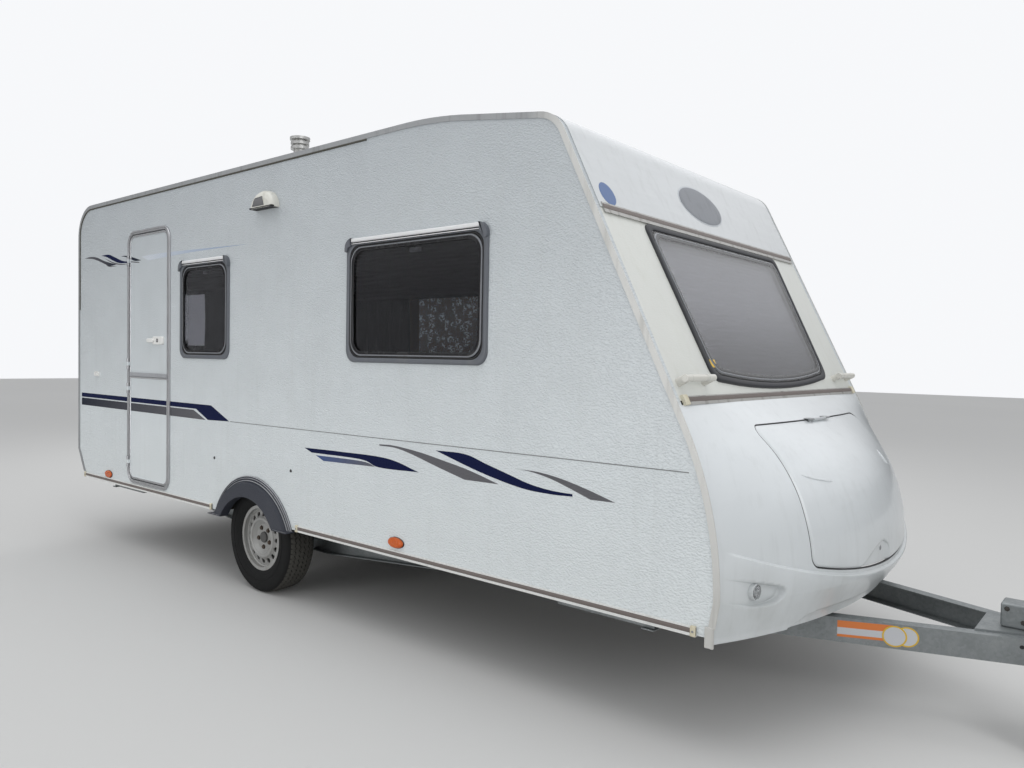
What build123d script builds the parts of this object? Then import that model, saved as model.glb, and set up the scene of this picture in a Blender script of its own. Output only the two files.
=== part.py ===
from build123d import *

import os
from math import cos, hypot, radians, sin, sqrt

# Single-axle travel caravan, standing on its two road wheels and its jockey wheel.
# Millimetres. X runs forward to the coupling, Y to the left and Z up from the ground.
# The entrance door is on the right side, at -Y.

# Overall body. A reach is a distance ahead of the middle of the wheel arch.
ARCH_X = -904
BODY_WIDTH = 2100
ROOF_Z = 2550
SKIRT_Z = 440
WALL = 30
REAR_REACH = 2510
REAR_CORNER_RADIUS = 230
REAR_CHAMFER_LENGTH = 130
REAR_CHAMFER_HEIGHT = 210
BROW_REACH = 2223
ROOF_FLAT_END = BROW_REACH - 923
ROOF_DIP_REACH = BROW_REACH - 473
ROOF_DIP_DROP = 38
BROW_DROP = 111
BROW_RADIUS = 160
SLOPE_FOOT_REACH = 2838
SLOPE_FOOT_Z = 1200
NOSE_REACH = SLOPE_FOOT_REACH + 147
NOSE_Z = 571
FRONT_FOOT_REACH = NOSE_REACH - 23
EDGE_GAP = 0.3

# Panel joints on the sloping front
BROW_TRIM_Z = 2040
BROW_TRIM_HEIGHT = 42
SILL_TRIM_Z = 1284
SILL_TRIM_HEIGHT = 32
TRIM_PROUD = 8
MOULDING_THICKNESS = 8
POCKET_DEPTH = 5

# Floor, wheel boxes and gas locker
FLOOR_THICKNESS = 40
WHEEL_BOX_HALF_LENGTH = 390
WHEEL_BOX_TOP_Z = 705
WHEEL_BOX_INNER_Y = 700
WHEEL_BOX_SKIN = 10
BULKHEAD_REACH = SLOPE_FOOT_REACH - 218
BULKHEAD_THICKNESS = 20

# Entrance door, in two leaves
DOOR_REAR_REACH = -1640
DOOR_FRONT_REACH = -1010
DOOR_BOTTOM_Z = 478
DOOR_TOP_Z = 2290
DOOR_CORNER_RADIUS = 95
DOOR_SPLIT_Z = 1255
DOOR_FRAME_WIDTH = 26
DOOR_FRAME_PROUD = 7
LEAF_GAP = 6
HINGE_RADIUS = 7
HINGE_PIN_RADIUS = 3.5
HINGE_CLEARANCE = 0.2
HINGE_KNUCKLE = 26

# Side windows: frame proud of the wall, pane in the frame
FRAME_PROUD = 11
FRAME_WIDTH = 34
FRAME_RADIUS = 62
PANE_THICKNESS = 20
PANE_PROUD = 7

# Side windows' drip strips
STRIP_HEIGHT = 26
STRIP_PROUD = 20
STRIP_CORNER = 42

# Wheel, tyre and arch
AXLE_X = ARCH_X + 25
TYRE_RADIUS = 325
TYRE_WIDTH = 185
RIM_RADIUS = 195
WHEEL_OUTER_Y = 1028
SPAT_Z = 249
SPAT_OUTER_RADIUS = 448
SPAT_INNER_RADIUS = 328
SPAT_PROUD = 52
SPAT_FOOT_Z = 428
SPAT_SKIN = 5
SPAT_RIM = 40
SPAT_FOOT_LAP = 10

# Chassis and drawbar
RAIL_Y = 700
RAIL_HEIGHT = 95
RAIL_DEEP_HEIGHT = 208
RAIL_DEEP_SPAN = (-280, 330)
RAIL_TAPER_SPAN = (-1300, 1660)
RAIL_FLANGE = 42
RAIL_THICKNESS = 4
RAIL_REAR_REACH = -REAR_REACH + 260
RAIL_FRONT_REACH = BULKHEAD_REACH - 100
DRAWBAR_TOP_Z = 403
DRAWBAR_HEIGHT = 100
DRAWBAR_FLANGE = 55
DRAWBAR_FRONT_REACH = NOSE_REACH + 1025
DRAWBAR_FRONT_Y = 58
DRAWBAR_LAP = 300
OVERRUN_Z = 445
OVERRUN_RADIUS = 32
AXLE_TUBE_REACH = 195
AXLE_TUBE_Z = 300
AXLE_TUBE_SIZE = 90
COUPLING_REACH = DRAWBAR_FRONT_REACH + 320
BALL_RADIUS = 25
BALL_CLEARANCE = 0.3

# Jockey wheel
JOCKEY_REACH = DRAWBAR_FRONT_REACH - 45
JOCKEY_Y = -190
JOCKEY_TUBE_RADIUS = 30
JOCKEY_TUBE_WALL = 3
JOCKEY_WHEEL_RADIUS = 100
JOCKEY_WHEEL_WIDTH = 50
JOCKEY_TRAIL = 45

# Corner steadies
STEADY_LENGTH = 470
STEADY_WIDTH = 52
STEADY_REAR_REACH = -REAR_REACH + 680
STEADY_FRONT_REACH = BULKHEAD_REACH - 470
STEADY_PIVOT_Z = 367

HALF = BODY_WIDTH / 2
INNER_HALF = HALF - WALL
FLOOR_TOP_Z = SKIRT_Z + FLOOR_THICKNESS


def along(reach):
    """X of a place given by its distance ahead of the wheel arch's middle."""
    return ARCH_X + reach


def block(x_span, y_span, z_span, mode=Mode.ADD):
    """Add a box that fills three spans, each a pair of coordinates."""
    centre = [(low + high) / 2 for low, high in (x_span, y_span, z_span)]
    size = [abs(high - low) for low, high in (x_span, y_span, z_span)]
    with Locations(tuple(centre)):
        Box(*size, mode=mode)


def rod(start, end, radius, mode=Mode.ADD):
    """Add a round bar between two points."""
    first, last = Vector(*start), Vector(*end)
    plane = Plane(origin=first, z_dir=last - first)
    with BuildSketch(plane) as section:
        Circle(radius)
    extrude(section.sketch, amount=(last - first).length, mode=mode)


def save(part, name):
    """Label a finished piece and write it."""
    part.label = name
    export_step(part, f"parts/{name}.step")


os.makedirs("parts", exist_ok=True)

# The body's outline from the side: flat roof that dips forward, a tight brow, a sloping
# window panel, and a nose that turns down to the skirt.
REAR_X = along(-REAR_REACH)
ROOF_DIP_Z = ROOF_Z - ROOF_DIP_DROP
BROW_Z = ROOF_Z - BROW_DROP
SLOPE = (along(SLOPE_FOOT_REACH) - along(BROW_REACH), SLOPE_FOOT_Z - BROW_Z)
CORNER = {
    "rear_top": (REAR_X, ROOF_Z),
    "brow": (along(BROW_REACH), BROW_Z),
}
with BuildSketch(Plane.XZ) as outline:
    with BuildLine():
        Polyline(
            (along(ROOF_FLAT_END), ROOF_Z),
            CORNER["rear_top"],
            (REAR_X, SKIRT_Z + REAR_CHAMFER_HEIGHT),
            (REAR_X + REAR_CHAMFER_LENGTH, SKIRT_Z),
            (along(FRONT_FOOT_REACH), SKIRT_Z),
            (along(NOSE_REACH), NOSE_Z),
        )
        TangentArc(
            (along(NOSE_REACH), NOSE_Z),
            (along(SLOPE_FOOT_REACH), SLOPE_FOOT_Z),
            tangent=(0, 1),
        )
        Line((along(SLOPE_FOOT_REACH), SLOPE_FOOT_Z), CORNER["brow"])
        Line(CORNER["brow"], (along(ROOF_DIP_REACH), ROOF_DIP_Z))
        TangentArc(
            (along(ROOF_FLAT_END), ROOF_Z), (along(ROOF_DIP_REACH), ROOF_DIP_Z), tangent=(1, 0)
        )
    make_face()
    for name, radius in (("rear_top", REAR_CORNER_RADIUS), ("brow", BROW_RADIUS)):
        spot = outline.vertices().sort_by_distance(CORNER[name])[0]
        fillet(spot, radius)
OUTLINE = outline.sketch_local


def outline_at(y, inset=0):
    """The side outline on a plane at one Y, drawn in by an inset or out by a negative one."""
    with BuildSketch(Plane.XZ.offset(-y)) as section:
        add(OUTLINE)
        if inset:
            offset(amount=-inset, kind=Kind.INTERSECTION)
    return section.sketch


def slab(y_low, y_high, inset=0, mode=Mode.ADD):
    """The side outline made solid between two values of Y."""
    extrude(outline_at(y_high, inset), amount=y_high - y_low, mode=mode)


def ring(y_low, y_high, outset=0, inset=WALL):
    """The band between the outline moved out and moved in, between two values of Y."""
    slab(y_low, y_high, -outset)
    slab(y_low - 1, y_high + 1, inset, mode=Mode.SUBTRACT)


def front_x(z):
    """X of the side outline's front edge at one height, above the nose."""
    if z >= SLOPE_FOOT_Z:
        share = (z - SLOPE_FOOT_Z) / (BROW_Z - SLOPE_FOOT_Z)
        return along(SLOPE_FOOT_REACH + share * (BROW_REACH - SLOPE_FOOT_REACH))
    if z >= NOSE_Z:
        rise, back = SLOPE_FOOT_Z - NOSE_Z, NOSE_REACH - SLOPE_FOOT_REACH
        radius = (rise**2 + back**2) / (2 * back)
        return along(NOSE_REACH - radius + sqrt(radius**2 - (z - NOSE_Z) ** 2))
    share = (z - SKIRT_Z) / (NOSE_Z - SKIRT_Z)
    return along(FRONT_FOOT_REACH + share * (NOSE_REACH - FRONT_FOOT_REACH))


BOX = 4000  # longer than the body in each cut below


def rounded(plane, width, height, radius):
    """A rounded rectangle drawn on a plane."""
    with BuildSketch(plane) as section:
        RectangleRounded(width, height, radius)
    return section.sketch


# Windows, with columns: name, side of the caravan, rear edge, front edge, bottom, top
WINDOWS = [
    ("kitchen", -1, -872, -265, 1390, 2020),
    ("lounge_right", -1, 880, 1865, 1394, 2020),
    ("lounge_left", 1, 880, 1865, 1394, 2020),
    ("bed_left", 1, -2240, -1480, 1450, 2020),
]


def side_plane(side, y, x, z):
    """A plane that looks out of one side of the body, with its own X towards the front."""
    return Plane(origin=(x, side * y, z), x_dir=(1, 0, 0), z_dir=(0, side, 0))


def window_face(window, y, grow=0):
    """The outline of a side window on the plane at one distance from the middle."""
    _, side, rear, front, bottom, top = window
    plane = side_plane(side, y, along((rear + front) / 2), (bottom + top) / 2)
    width, height = front - rear + 2 * grow, top - bottom + 2 * grow
    return rounded(plane, width, height, FRAME_RADIUS + grow)


def door_face(y, shrink=0, bottom=DOOR_BOTTOM_Z, top=DOOR_TOP_Z):
    """The door's outline on the right side, drawn in evenly."""
    width = DOOR_FRONT_REACH - DOOR_REAR_REACH - 2 * shrink
    plane = side_plane(-1, y, along((DOOR_REAR_REACH + DOOR_FRONT_REACH) / 2), (bottom + top) / 2)
    return rounded(plane, width, top - bottom - 2 * shrink, DOOR_CORNER_RADIUS - shrink)


# Side walls: the whole outline, one wall thick, with the wheel arch and windows cut
ARCH_CUT_RADIUS = SPAT_OUTER_RADIUS - 20
for side, name in ((-1, "right"), (1, "left")):
    with BuildPart() as wall:
        slab(*sorted((side * INNER_HALF, side * HALF)))
        for window in WINDOWS:
            if window[1] == side:
                cut = window_face(window, HALF + 1, -FRAME_WIDTH / 2)
                extrude(cut, amount=-WALL - 2, mode=Mode.SUBTRACT)
        if side < 0:
            extrude(door_face(HALF + 1, DOOR_FRAME_WIDTH / 2), amount=-WALL - 2, mode=Mode.SUBTRACT)
        rod((ARCH_X, 0, SPAT_Z), (ARCH_X, side * (HALF + 1), SPAT_Z), ARCH_CUT_RADIUS, Mode.SUBTRACT)
    save(wall.part, f"side_wall_{name}")

# Roof, between the side walls, from the rear corner to the brow, with the rooflight's opening
ROOFLIGHT_REACH = 350
ROOFLIGHT_SIZE = 400
ROOFLIGHT_HEIGHT = 70
SPAN = (-INNER_HALF + EDGE_GAP, INNER_HALF - EDGE_GAP)
ROOF_REAR_X = REAR_X + REAR_CORNER_RADIUS
ROOF_FRONT_X = along(BROW_REACH) - 90
ROOF_UNDER_Z = BROW_Z - 2 * WALL
LIGHT_SPAN_X = (along(ROOFLIGHT_REACH) - ROOFLIGHT_SIZE / 2, along(ROOFLIGHT_REACH) + ROOFLIGHT_SIZE / 2)
LIGHT_SPAN_Y = (-ROOFLIGHT_SIZE / 2, ROOFLIGHT_SIZE / 2)
with BuildPart() as roof:
    ring(*SPAN)
    block((REAR_X - BOX, ROOF_REAR_X), (-BOX, BOX), (-BOX, BOX), Mode.SUBTRACT)
    block((ROOF_FRONT_X, BOX), (-BOX, BOX), (-BOX, BOX), Mode.SUBTRACT)
    block((-BOX, BOX), (-BOX, BOX), (-BOX, ROOF_UNDER_Z), Mode.SUBTRACT)
    block(LIGHT_SPAN_X, LIGHT_SPAN_Y, (ROOF_Z - 2 * WALL, ROOF_Z + WALL), Mode.SUBTRACT)
save(roof.part, "roof")

# Rear wall, with the top corner's bend, the chamfer at its foot and a window
REAR_WINDOW_WIDTH = 1150
REAR_WINDOW_BOTTOM_Z = 1470
REAR_WINDOW_TOP_Z = 1990
FLOOR_REAR_X = REAR_X + REAR_CHAMFER_LENGTH + WALL


def rear_face(x, grow=0):
    """The rear window's outline on a plane across the caravan."""
    middle = (REAR_WINDOW_BOTTOM_Z + REAR_WINDOW_TOP_Z) / 2
    plane = Plane(origin=(x, 0, middle), x_dir=(0, -1, 0), z_dir=(-1, 0, 0))
    height = REAR_WINDOW_TOP_Z - REAR_WINDOW_BOTTOM_Z
    return rounded(plane, REAR_WINDOW_WIDTH + 2 * grow, height + 2 * grow, FRAME_RADIUS + grow)


with BuildPart() as rear_wall:
    ring(*SPAN)
    block((ROOF_REAR_X - EDGE_GAP, BOX), (-BOX, BOX), (-BOX, BOX), Mode.SUBTRACT)
    block((FLOOR_REAR_X - EDGE_GAP, BOX), (-BOX, BOX), (-BOX, FLOOR_TOP_Z), Mode.SUBTRACT)
    extrude(rear_face(REAR_X - 1, -FRAME_WIDTH / 2), amount=-WALL - 2, mode=Mode.SUBTRACT)
save(rear_wall.part, "rear_wall")

# Floor, under everything between the walls, with a raised box over each wheel
with BuildPart() as floor:
    block((FLOOR_REAR_X, along(FRONT_FOOT_REACH) - 2), SPAN, (SKIRT_Z, FLOOR_TOP_Z))
    for side in (-1, 1):
        half = WHEEL_BOX_HALF_LENGTH
        across = (side * WHEEL_BOX_INNER_Y, side * SPAN[1])
        block((AXLE_X - half, AXLE_X + half), across, (SKIRT_Z, WHEEL_BOX_TOP_Z))
        half -= WHEEL_BOX_SKIN
        within = (side * (WHEEL_BOX_INNER_Y + WHEEL_BOX_SKIN), side * (HALF + 1))
        under = (SKIRT_Z - 1, WHEEL_BOX_TOP_Z - WHEEL_BOX_SKIN)
        block((AXLE_X - half, AXLE_X + half), within, under, Mode.SUBTRACT)
save(floor.part, "floor")

# Front: a moulded brow, a sloping panel that holds the window, and the trims over their joints
BROW_OUTSET = 4
with BuildPart() as brow:
    ring(*SPAN, outset=BROW_OUTSET)
    block((-BOX, ROOF_FRONT_X + EDGE_GAP), (-BOX, BOX), (-BOX, BOX), Mode.SUBTRACT)
    block((-BOX, BOX), (-BOX, BOX), (-BOX, BROW_TRIM_Z + EDGE_GAP), Mode.SUBTRACT)
save(brow.part, "brow_moulding")

# The front window's outline, half of it: half widths at the top and low down, and the heights
FRONT_WINDOW_TOP_Z = 2014
FRONT_WINDOW_TOP_HALF = 712
FRONT_WINDOW_LOW_HALF = 678
FRONT_WINDOW_SIDE_Z = 1352
FRONT_WINDOW_BOTTOM_Z = 1311
FRONT_WINDOW_TOP_RADIUS = 30
FRONT_WINDOW_LOW_RADIUS = 85
SLOPE_LENGTH = hypot(*SLOPE)
SLOPE_NORMAL = Vector(-SLOPE[1], 0, SLOPE[0]) / SLOPE_LENGTH
SLOPE_RISE = -SLOPE[1] / SLOPE_LENGTH
SLOPE_MIDDLE_Z = (BROW_TRIM_Z + SILL_TRIM_Z) / 2


def slope_plane(proud):
    """A plane over the sloping front, with its X to the left and its Y up the slope."""
    middle = Vector(front_x(SLOPE_MIDDLE_Z), 0, SLOPE_MIDDLE_Z) + SLOPE_NORMAL * proud
    return Plane(origin=middle, x_dir=(0, 1, 0), z_dir=SLOPE_NORMAL)


def up_slope(z):
    """Distance up the slope from its middle to a height."""
    return (z - SLOPE_MIDDLE_Z) / SLOPE_RISE


def front_face(proud, shrink=0):
    """The front window's outline on a plane over the slope, drawn in evenly."""
    top, side, low = (up_slope(z) for z in (FRONT_WINDOW_TOP_Z, FRONT_WINDOW_SIDE_Z, FRONT_WINDOW_BOTTOM_Z))
    wide, narrow = FRONT_WINDOW_TOP_HALF, FRONT_WINDOW_LOW_HALF
    with BuildSketch(slope_plane(proud)) as section:
        with BuildLine():
            Polyline((narrow, side), (wide, top), (-wide, top), (-narrow, side))
            ThreePointArc((-narrow, side), (0, low), (narrow, side))
        make_face()
        fillet(section.vertices().sort_by(Axis.Y)[:2], FRONT_WINDOW_LOW_RADIUS)
        fillet(section.vertices().sort_by(Axis.Y)[-2:], FRONT_WINDOW_TOP_RADIUS)
        if shrink:
            offset(amount=-shrink, kind=Kind.INTERSECTION)
    return section.sketch


with BuildPart() as front_panel:
    ring(*SPAN)
    block((-BOX, BOX), (-BOX, BOX), (BROW_TRIM_Z - EDGE_GAP, BOX), Mode.SUBTRACT)
    block((-BOX, BOX), (-BOX, BOX), (-BOX, SILL_TRIM_Z), Mode.SUBTRACT)
    block((-BOX, along(ROOF_FLAT_END)), (-BOX, BOX), (-BOX, BOX), Mode.SUBTRACT)
    extrude(front_face(1, FRAME_WIDTH / 2), amount=-WALL - 2, mode=Mode.SUBTRACT)
save(front_panel.part, "front_window_panel")

TRIM_HALF = 1005
with BuildPart() as trims:
    ring(-TRIM_HALF, TRIM_HALF, TRIM_PROUD, 0)
    block((-BOX, along(ROOF_DIP_REACH)), (-BOX, BOX), (-BOX, BOX), Mode.SUBTRACT)
    low, high = BROW_TRIM_Z - BROW_TRIM_HEIGHT / 2, BROW_TRIM_Z + BROW_TRIM_HEIGHT / 2
    block((-BOX, BOX), (-BOX, BOX), (high, BOX), Mode.SUBTRACT)
    block((-BOX, BOX), (-BOX, BOX), (SILL_TRIM_Z + SILL_TRIM_HEIGHT / 2, low), Mode.SUBTRACT)
    block((-BOX, BOX), (-BOX, BOX), (-BOX, SILL_TRIM_Z - SILL_TRIM_HEIGHT / 2), Mode.SUBTRACT)
    with BuildPart(mode=Mode.PRIVATE) as under_brow:
        slab(-TRIM_HALF - 1, TRIM_HALF + 1, -BROW_OUTSET)
        block((-BOX, BOX), (-BOX, BOX), (-BOX, BROW_TRIM_Z), Mode.SUBTRACT)
    add(under_brow.part, mode=Mode.SUBTRACT)
save(trims.part, "front_trims")

# Nose moulding over the gas locker: sections across it bow forward from the walls' front edges.
# Columns: height, how far the middle bows forward
NOSE_SECTIONS = [
    (1268, 12),
    (1176, 100),
    (1080, 190),
    (963, 250),
    (822, 280),
    (650, 290),
    (540, 282),
    (420, 240),
]
NOSE_TOP_Z, NOSE_BOTTOM_Z = NOSE_SECTIONS[0][0], NOSE_SECTIONS[-1][0]


def nose_x(y, z, proud=0):
    """X of the nose moulding's surface at one Y and height."""
    rows = NOSE_SECTIONS
    above, below = next((a, b) for a, b in zip(rows, rows[1:]) if a[0] >= z >= b[0])
    share = (z - below[0]) / (above[0] - below[0])
    bow = below[1] + share * (above[1] - below[1]) + proud
    return front_x(max(z, SKIRT_Z)) + bow * (1 - (y / HALF) ** 2)


def nose_solid(inset):
    """The nose from its sections, as one solid, drawn in at the sides and the front."""
    with BuildPart() as solid:
        for z, bow in NOSE_SECTIONS:
            x, half = front_x(max(z, SKIRT_Z)) - inset, HALF - max(inset, 0)
            with BuildSketch(Plane.XY.offset(z)):
                with BuildLine():
                    ThreePointArc((x, -half), (x + bow, 0), (x, half))
                    back = along(BULKHEAD_REACH)
                    Polyline((x, half), (back, half), (back, -half), (x, -half))
                make_face()
        loft()
    return solid.part


def nose_pocket(section):
    """A shallow pocket of one outline, let into the front of the nose."""
    with BuildPart(mode=Mode.PRIVATE) as pocket:
        extrude(section, amount=BOX)
        add(nose_solid(POCKET_DEPTH), mode=Mode.SUBTRACT)
    return pocket.part


LAMP_POCKET_SPAN = (775, 1000)
LAMP_POCKET_Z = (543, 660)
LAMP_POCKET_END = (546, 607)
FOOT_POCKET_HALF = 700
FOOT_POCKET_SHOULDER = 560
FOOT_POCKET_Z = 472
BEAD_PROUD = 5
BEAD_SIDE = (1000, 745)
BEAD_MIDDLE_Z = 570
BEAD_HEIGHT = 12
LID_TOP_Z = 1176
LID_SIDE_Z = 664
LID_BOTTOM_Z = 594
LID_HALF = 640
LID_RADIUS = 45
LID_GAP = 5
LID_PROUD = 4


def lid_cut(grow):
    """The locker lid's outline, run through the nose along X."""
    with BuildSketch(Plane.YZ) as section:
        with BuildLine():
            Polyline(
                (LID_HALF, LID_SIDE_Z), (LID_HALF, LID_TOP_Z), (-LID_HALF, LID_TOP_Z), (-LID_HALF, LID_SIDE_Z)
            )
            ThreePointArc((-LID_HALF, LID_SIDE_Z), (0, LID_BOTTOM_Z), (LID_HALF, LID_SIDE_Z))
        make_face()
        fillet(section.vertices(), LID_RADIUS)
        if grow:
            offset(amount=grow)
    return extrude(section.sketch, amount=BOX, mode=Mode.PRIVATE)


LOCK_Y = -100
LOCK_Z = 655
LOCK_RADIUS = 12
LOCK_PROUD = 5
LID_HINGE_RADIUS = 5
LID_HINGE_PIN = 2.5
LID_HINGE_HALF = 130
LID_KNUCKLE_HALF = 75
LID_HINGE_Z = LID_TOP_Z + LID_GAP
LID_HINGE_X = nose_x(0, LID_TOP_Z) + LID_PROUD + LID_HINGE_RADIUS + 2
NOSE_OUTER = nose_solid(0)
NOSE_INNER = nose_solid(MOULDING_THICKNESS)
with BuildPart() as nose:
    add(NOSE_OUTER)
    with BuildPart(mode=Mode.PRIVATE) as hollow:
        add(NOSE_INNER)
        block((-BOX, BOX), (-BOX, BOX), (-BOX, NOSE_BOTTOM_Z + MOULDING_THICKNESS), Mode.SUBTRACT)
        block((-BOX, BOX), (-BOX, BOX), (NOSE_TOP_Z - MOULDING_THICKNESS, BOX), Mode.SUBTRACT)
    add(hollow.part, mode=Mode.SUBTRACT)
    with BuildPart(mode=Mode.PRIVATE) as bead:
        with BuildSketch(Plane.YZ) as band:
            with BuildLine():
                ends = [(side * BEAD_SIDE[0], BEAD_SIDE[1]) for side in (-1, 1)]
                lifted = [(y, z + BEAD_HEIGHT) for y, z in ends]
                ThreePointArc(ends[0], (0, BEAD_MIDDLE_Z), ends[1])
                Line(ends[1], lifted[1])
                ThreePointArc(lifted[1], (0, BEAD_MIDDLE_Z + BEAD_HEIGHT), lifted[0])
                Line(lifted[0], ends[0])
            make_face()
        extrude(band.sketch, amount=BOX)
        add(nose_solid(-BEAD_PROUD), mode=Mode.INTERSECT)
        add(NOSE_INNER, mode=Mode.SUBTRACT)
    add(bead.part)
    for side in (-1, 1):
        with BuildSketch(Plane.YZ) as lamp_pocket:
            with BuildLine():
                Polyline(
                    (side * LAMP_POCKET_SPAN[0], LAMP_POCKET_END[0]),
                    (side * LAMP_POCKET_SPAN[1], LAMP_POCKET_Z[0] + 22),
                    (side * LAMP_POCKET_SPAN[1], LAMP_POCKET_Z[1]),
                    (side * LAMP_POCKET_SPAN[0], LAMP_POCKET_END[1]),
                    close=True,
                )
            make_face()
            fillet(lamp_pocket.vertices().sort_by(lambda v: abs(v.X))[:2], 28)
        add(nose_pocket(lamp_pocket.sketch), mode=Mode.SUBTRACT)
    with BuildSketch(Plane.YZ) as foot_pocket:
        with BuildLine():
            Polyline(
                (-FOOT_POCKET_HALF, NOSE_BOTTOM_Z - 1),
                (-FOOT_POCKET_SHOULDER, FOOT_POCKET_Z),
                (FOOT_POCKET_SHOULDER, FOOT_POCKET_Z),
                (FOOT_POCKET_HALF, NOSE_BOTTOM_Z - 1),
                close=True,
            )
        make_face()
        fillet(foot_pocket.vertices().sort_by(Axis.Y)[-2:], 60)
    add(nose_pocket(foot_pocket.sketch), mode=Mode.SUBTRACT)
    slab(-HALF - 1, HALF + 1, -EDGE_GAP, Mode.SUBTRACT)
    block((-BOX, along(FRONT_FOOT_REACH)), (-BOX, BOX), (-BOX, SKIRT_Z + 1), Mode.SUBTRACT)
    add(lid_cut(LID_GAP), mode=Mode.SUBTRACT)
    for side in (-1, 1):
        ends = (side * (LID_KNUCKLE_HALF + HINGE_CLEARANCE), side * LID_HINGE_HALF)
        rod((LID_HINGE_X, ends[0], LID_HINGE_Z), (LID_HINGE_X, ends[1], LID_HINGE_Z), LID_HINGE_RADIUS)
        back = nose_x(LID_HINGE_HALF, LID_HINGE_Z + 12) - 4
        block((back, LID_HINGE_X), ends, (LID_HINGE_Z + 1, LID_HINGE_Z + LID_HINGE_RADIUS))
        block((back, LID_HINGE_X - 8), ends, (LID_HINGE_Z + 1, LID_HINGE_Z + 12))
    rod((LID_HINGE_X, -LID_HINGE_HALF, LID_HINGE_Z), (LID_HINGE_X, LID_HINGE_HALF, LID_HINGE_Z), LID_HINGE_PIN)
save(nose.part, "nose_moulding")

with BuildPart() as lid:
    add(nose_solid(-LID_PROUD))
    add(nose_solid(MOULDING_THICKNESS - LID_PROUD), mode=Mode.SUBTRACT)
    add(lid_cut(0), mode=Mode.INTERSECT)
    lock = (nose_x(LOCK_Y, LOCK_Z), LOCK_Y, LOCK_Z)
    rod(lock, (lock[0] + LID_PROUD + LOCK_PROUD, LOCK_Y, LOCK_Z), LOCK_RADIUS)
    knuckle = (LID_KNUCKLE_HALF - HINGE_CLEARANCE, -LID_KNUCKLE_HALF + HINGE_CLEARANCE)
    rod((LID_HINGE_X, knuckle[0], LID_HINGE_Z), (LID_HINGE_X, knuckle[1], LID_HINGE_Z), LID_HINGE_RADIUS)
    back = nose_x(LID_KNUCKLE_HALF, LID_TOP_Z)
    block((back, LID_HINGE_X), knuckle, (LID_HINGE_Z - 10, LID_HINGE_Z - 1.5))
    rod(
        (LID_HINGE_X, knuckle[0] + 1, LID_HINGE_Z),
        (LID_HINGE_X, knuckle[1] - 1, LID_HINGE_Z),
        LID_HINGE_PIN + HINGE_CLEARANCE,
        Mode.SUBTRACT,
    )
save(lid.part, "locker_lid")


# Bulkhead and shelf that close the gas locker off from the cabin
LOCKER_BACK_X = along(BULKHEAD_REACH)
with BuildPart() as bulkhead:
    block((LOCKER_BACK_X, LOCKER_BACK_X + BULKHEAD_THICKNESS), SPAN, (FLOOR_TOP_Z, NOSE_TOP_Z))
    block(
        (LOCKER_BACK_X, front_x(NOSE_TOP_Z) - EDGE_GAP),
        SPAN,
        (NOSE_TOP_Z - BULKHEAD_THICKNESS, NOSE_TOP_Z),
    )
save(bulkhead.part, "locker_bulkhead")

# Window frames, each a proud ring with a sleeve through its wall
SEAL = 0.3
with BuildPart() as frames:
    for window in WINDOWS:
        side, proud = window[1], HALF + FRAME_PROUD
        extrude(window_face(window, proud), amount=-FRAME_PROUD)
        extrude(window_face(window, HALF, -FRAME_WIDTH / 2 - SEAL), amount=-WALL)
        cut = window_face(window, proud + 1, -FRAME_WIDTH)
        extrude(cut, amount=-WALL - FRAME_PROUD - 2, mode=Mode.SUBTRACT)
    extrude(rear_face(REAR_X - FRAME_PROUD), amount=-FRAME_PROUD)
    extrude(rear_face(REAR_X, -FRAME_WIDTH / 2 - SEAL), amount=-WALL)
    cut = rear_face(REAR_X - FRAME_PROUD - 1, -FRAME_WIDTH)
    extrude(cut, amount=-WALL - FRAME_PROUD - 2, mode=Mode.SUBTRACT)
    extrude(front_face(FRAME_PROUD), amount=-FRAME_PROUD)
    extrude(front_face(0, FRAME_WIDTH / 2 + SEAL), amount=-WALL)
    extrude(front_face(FRAME_PROUD + 1, FRAME_WIDTH), amount=-WALL - FRAME_PROUD - 2, mode=Mode.SUBTRACT)
save(frames.part, "window_frames")

with BuildPart() as panes:
    for window in WINDOWS:
        extrude(window_face(window, HALF + PANE_PROUD, -FRAME_WIDTH - SEAL), amount=-PANE_THICKNESS)
    extrude(rear_face(REAR_X - PANE_PROUD, -FRAME_WIDTH - SEAL), amount=-PANE_THICKNESS)
    extrude(front_face(PANE_PROUD, FRAME_WIDTH + SEAL), amount=-PANE_THICKNESS)
save(panes.part, "window_panes")

# Drip strips over the side windows, each between two corner pieces
with BuildPart() as strips:
    for _, side, rear, front, _, top in WINDOWS:
        across = (side * (HALF + FRAME_PROUD), side * (HALF + STRIP_PROUD))
        span = (along(rear) + STRIP_CORNER, along(front) - STRIP_CORNER)
        block(span, across, (top - STRIP_HEIGHT, top - 4))
        block(span, (side * HALF, side * (HALF + STRIP_PROUD)), (top + 0.2, top + 10))
        block(span, across, (top - 4, top + 10))
save(strips.part, "window_drip_strips")

# Entrance door: a frame round the opening and two leaves hinged on its rear edge
LEAF_INSET = DOOR_FRAME_WIDTH + LEAF_GAP
LEAF_EDGE = 14
LEAF_EDGE_PROUD = 4
HINGE_X = along(DOOR_REAR_REACH) + DOOR_FRAME_WIDTH + LEAF_GAP / 2
HINGE_Y = -(HALF + DOOR_FRAME_PROUD + HINGE_RADIUS + 1)
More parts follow.
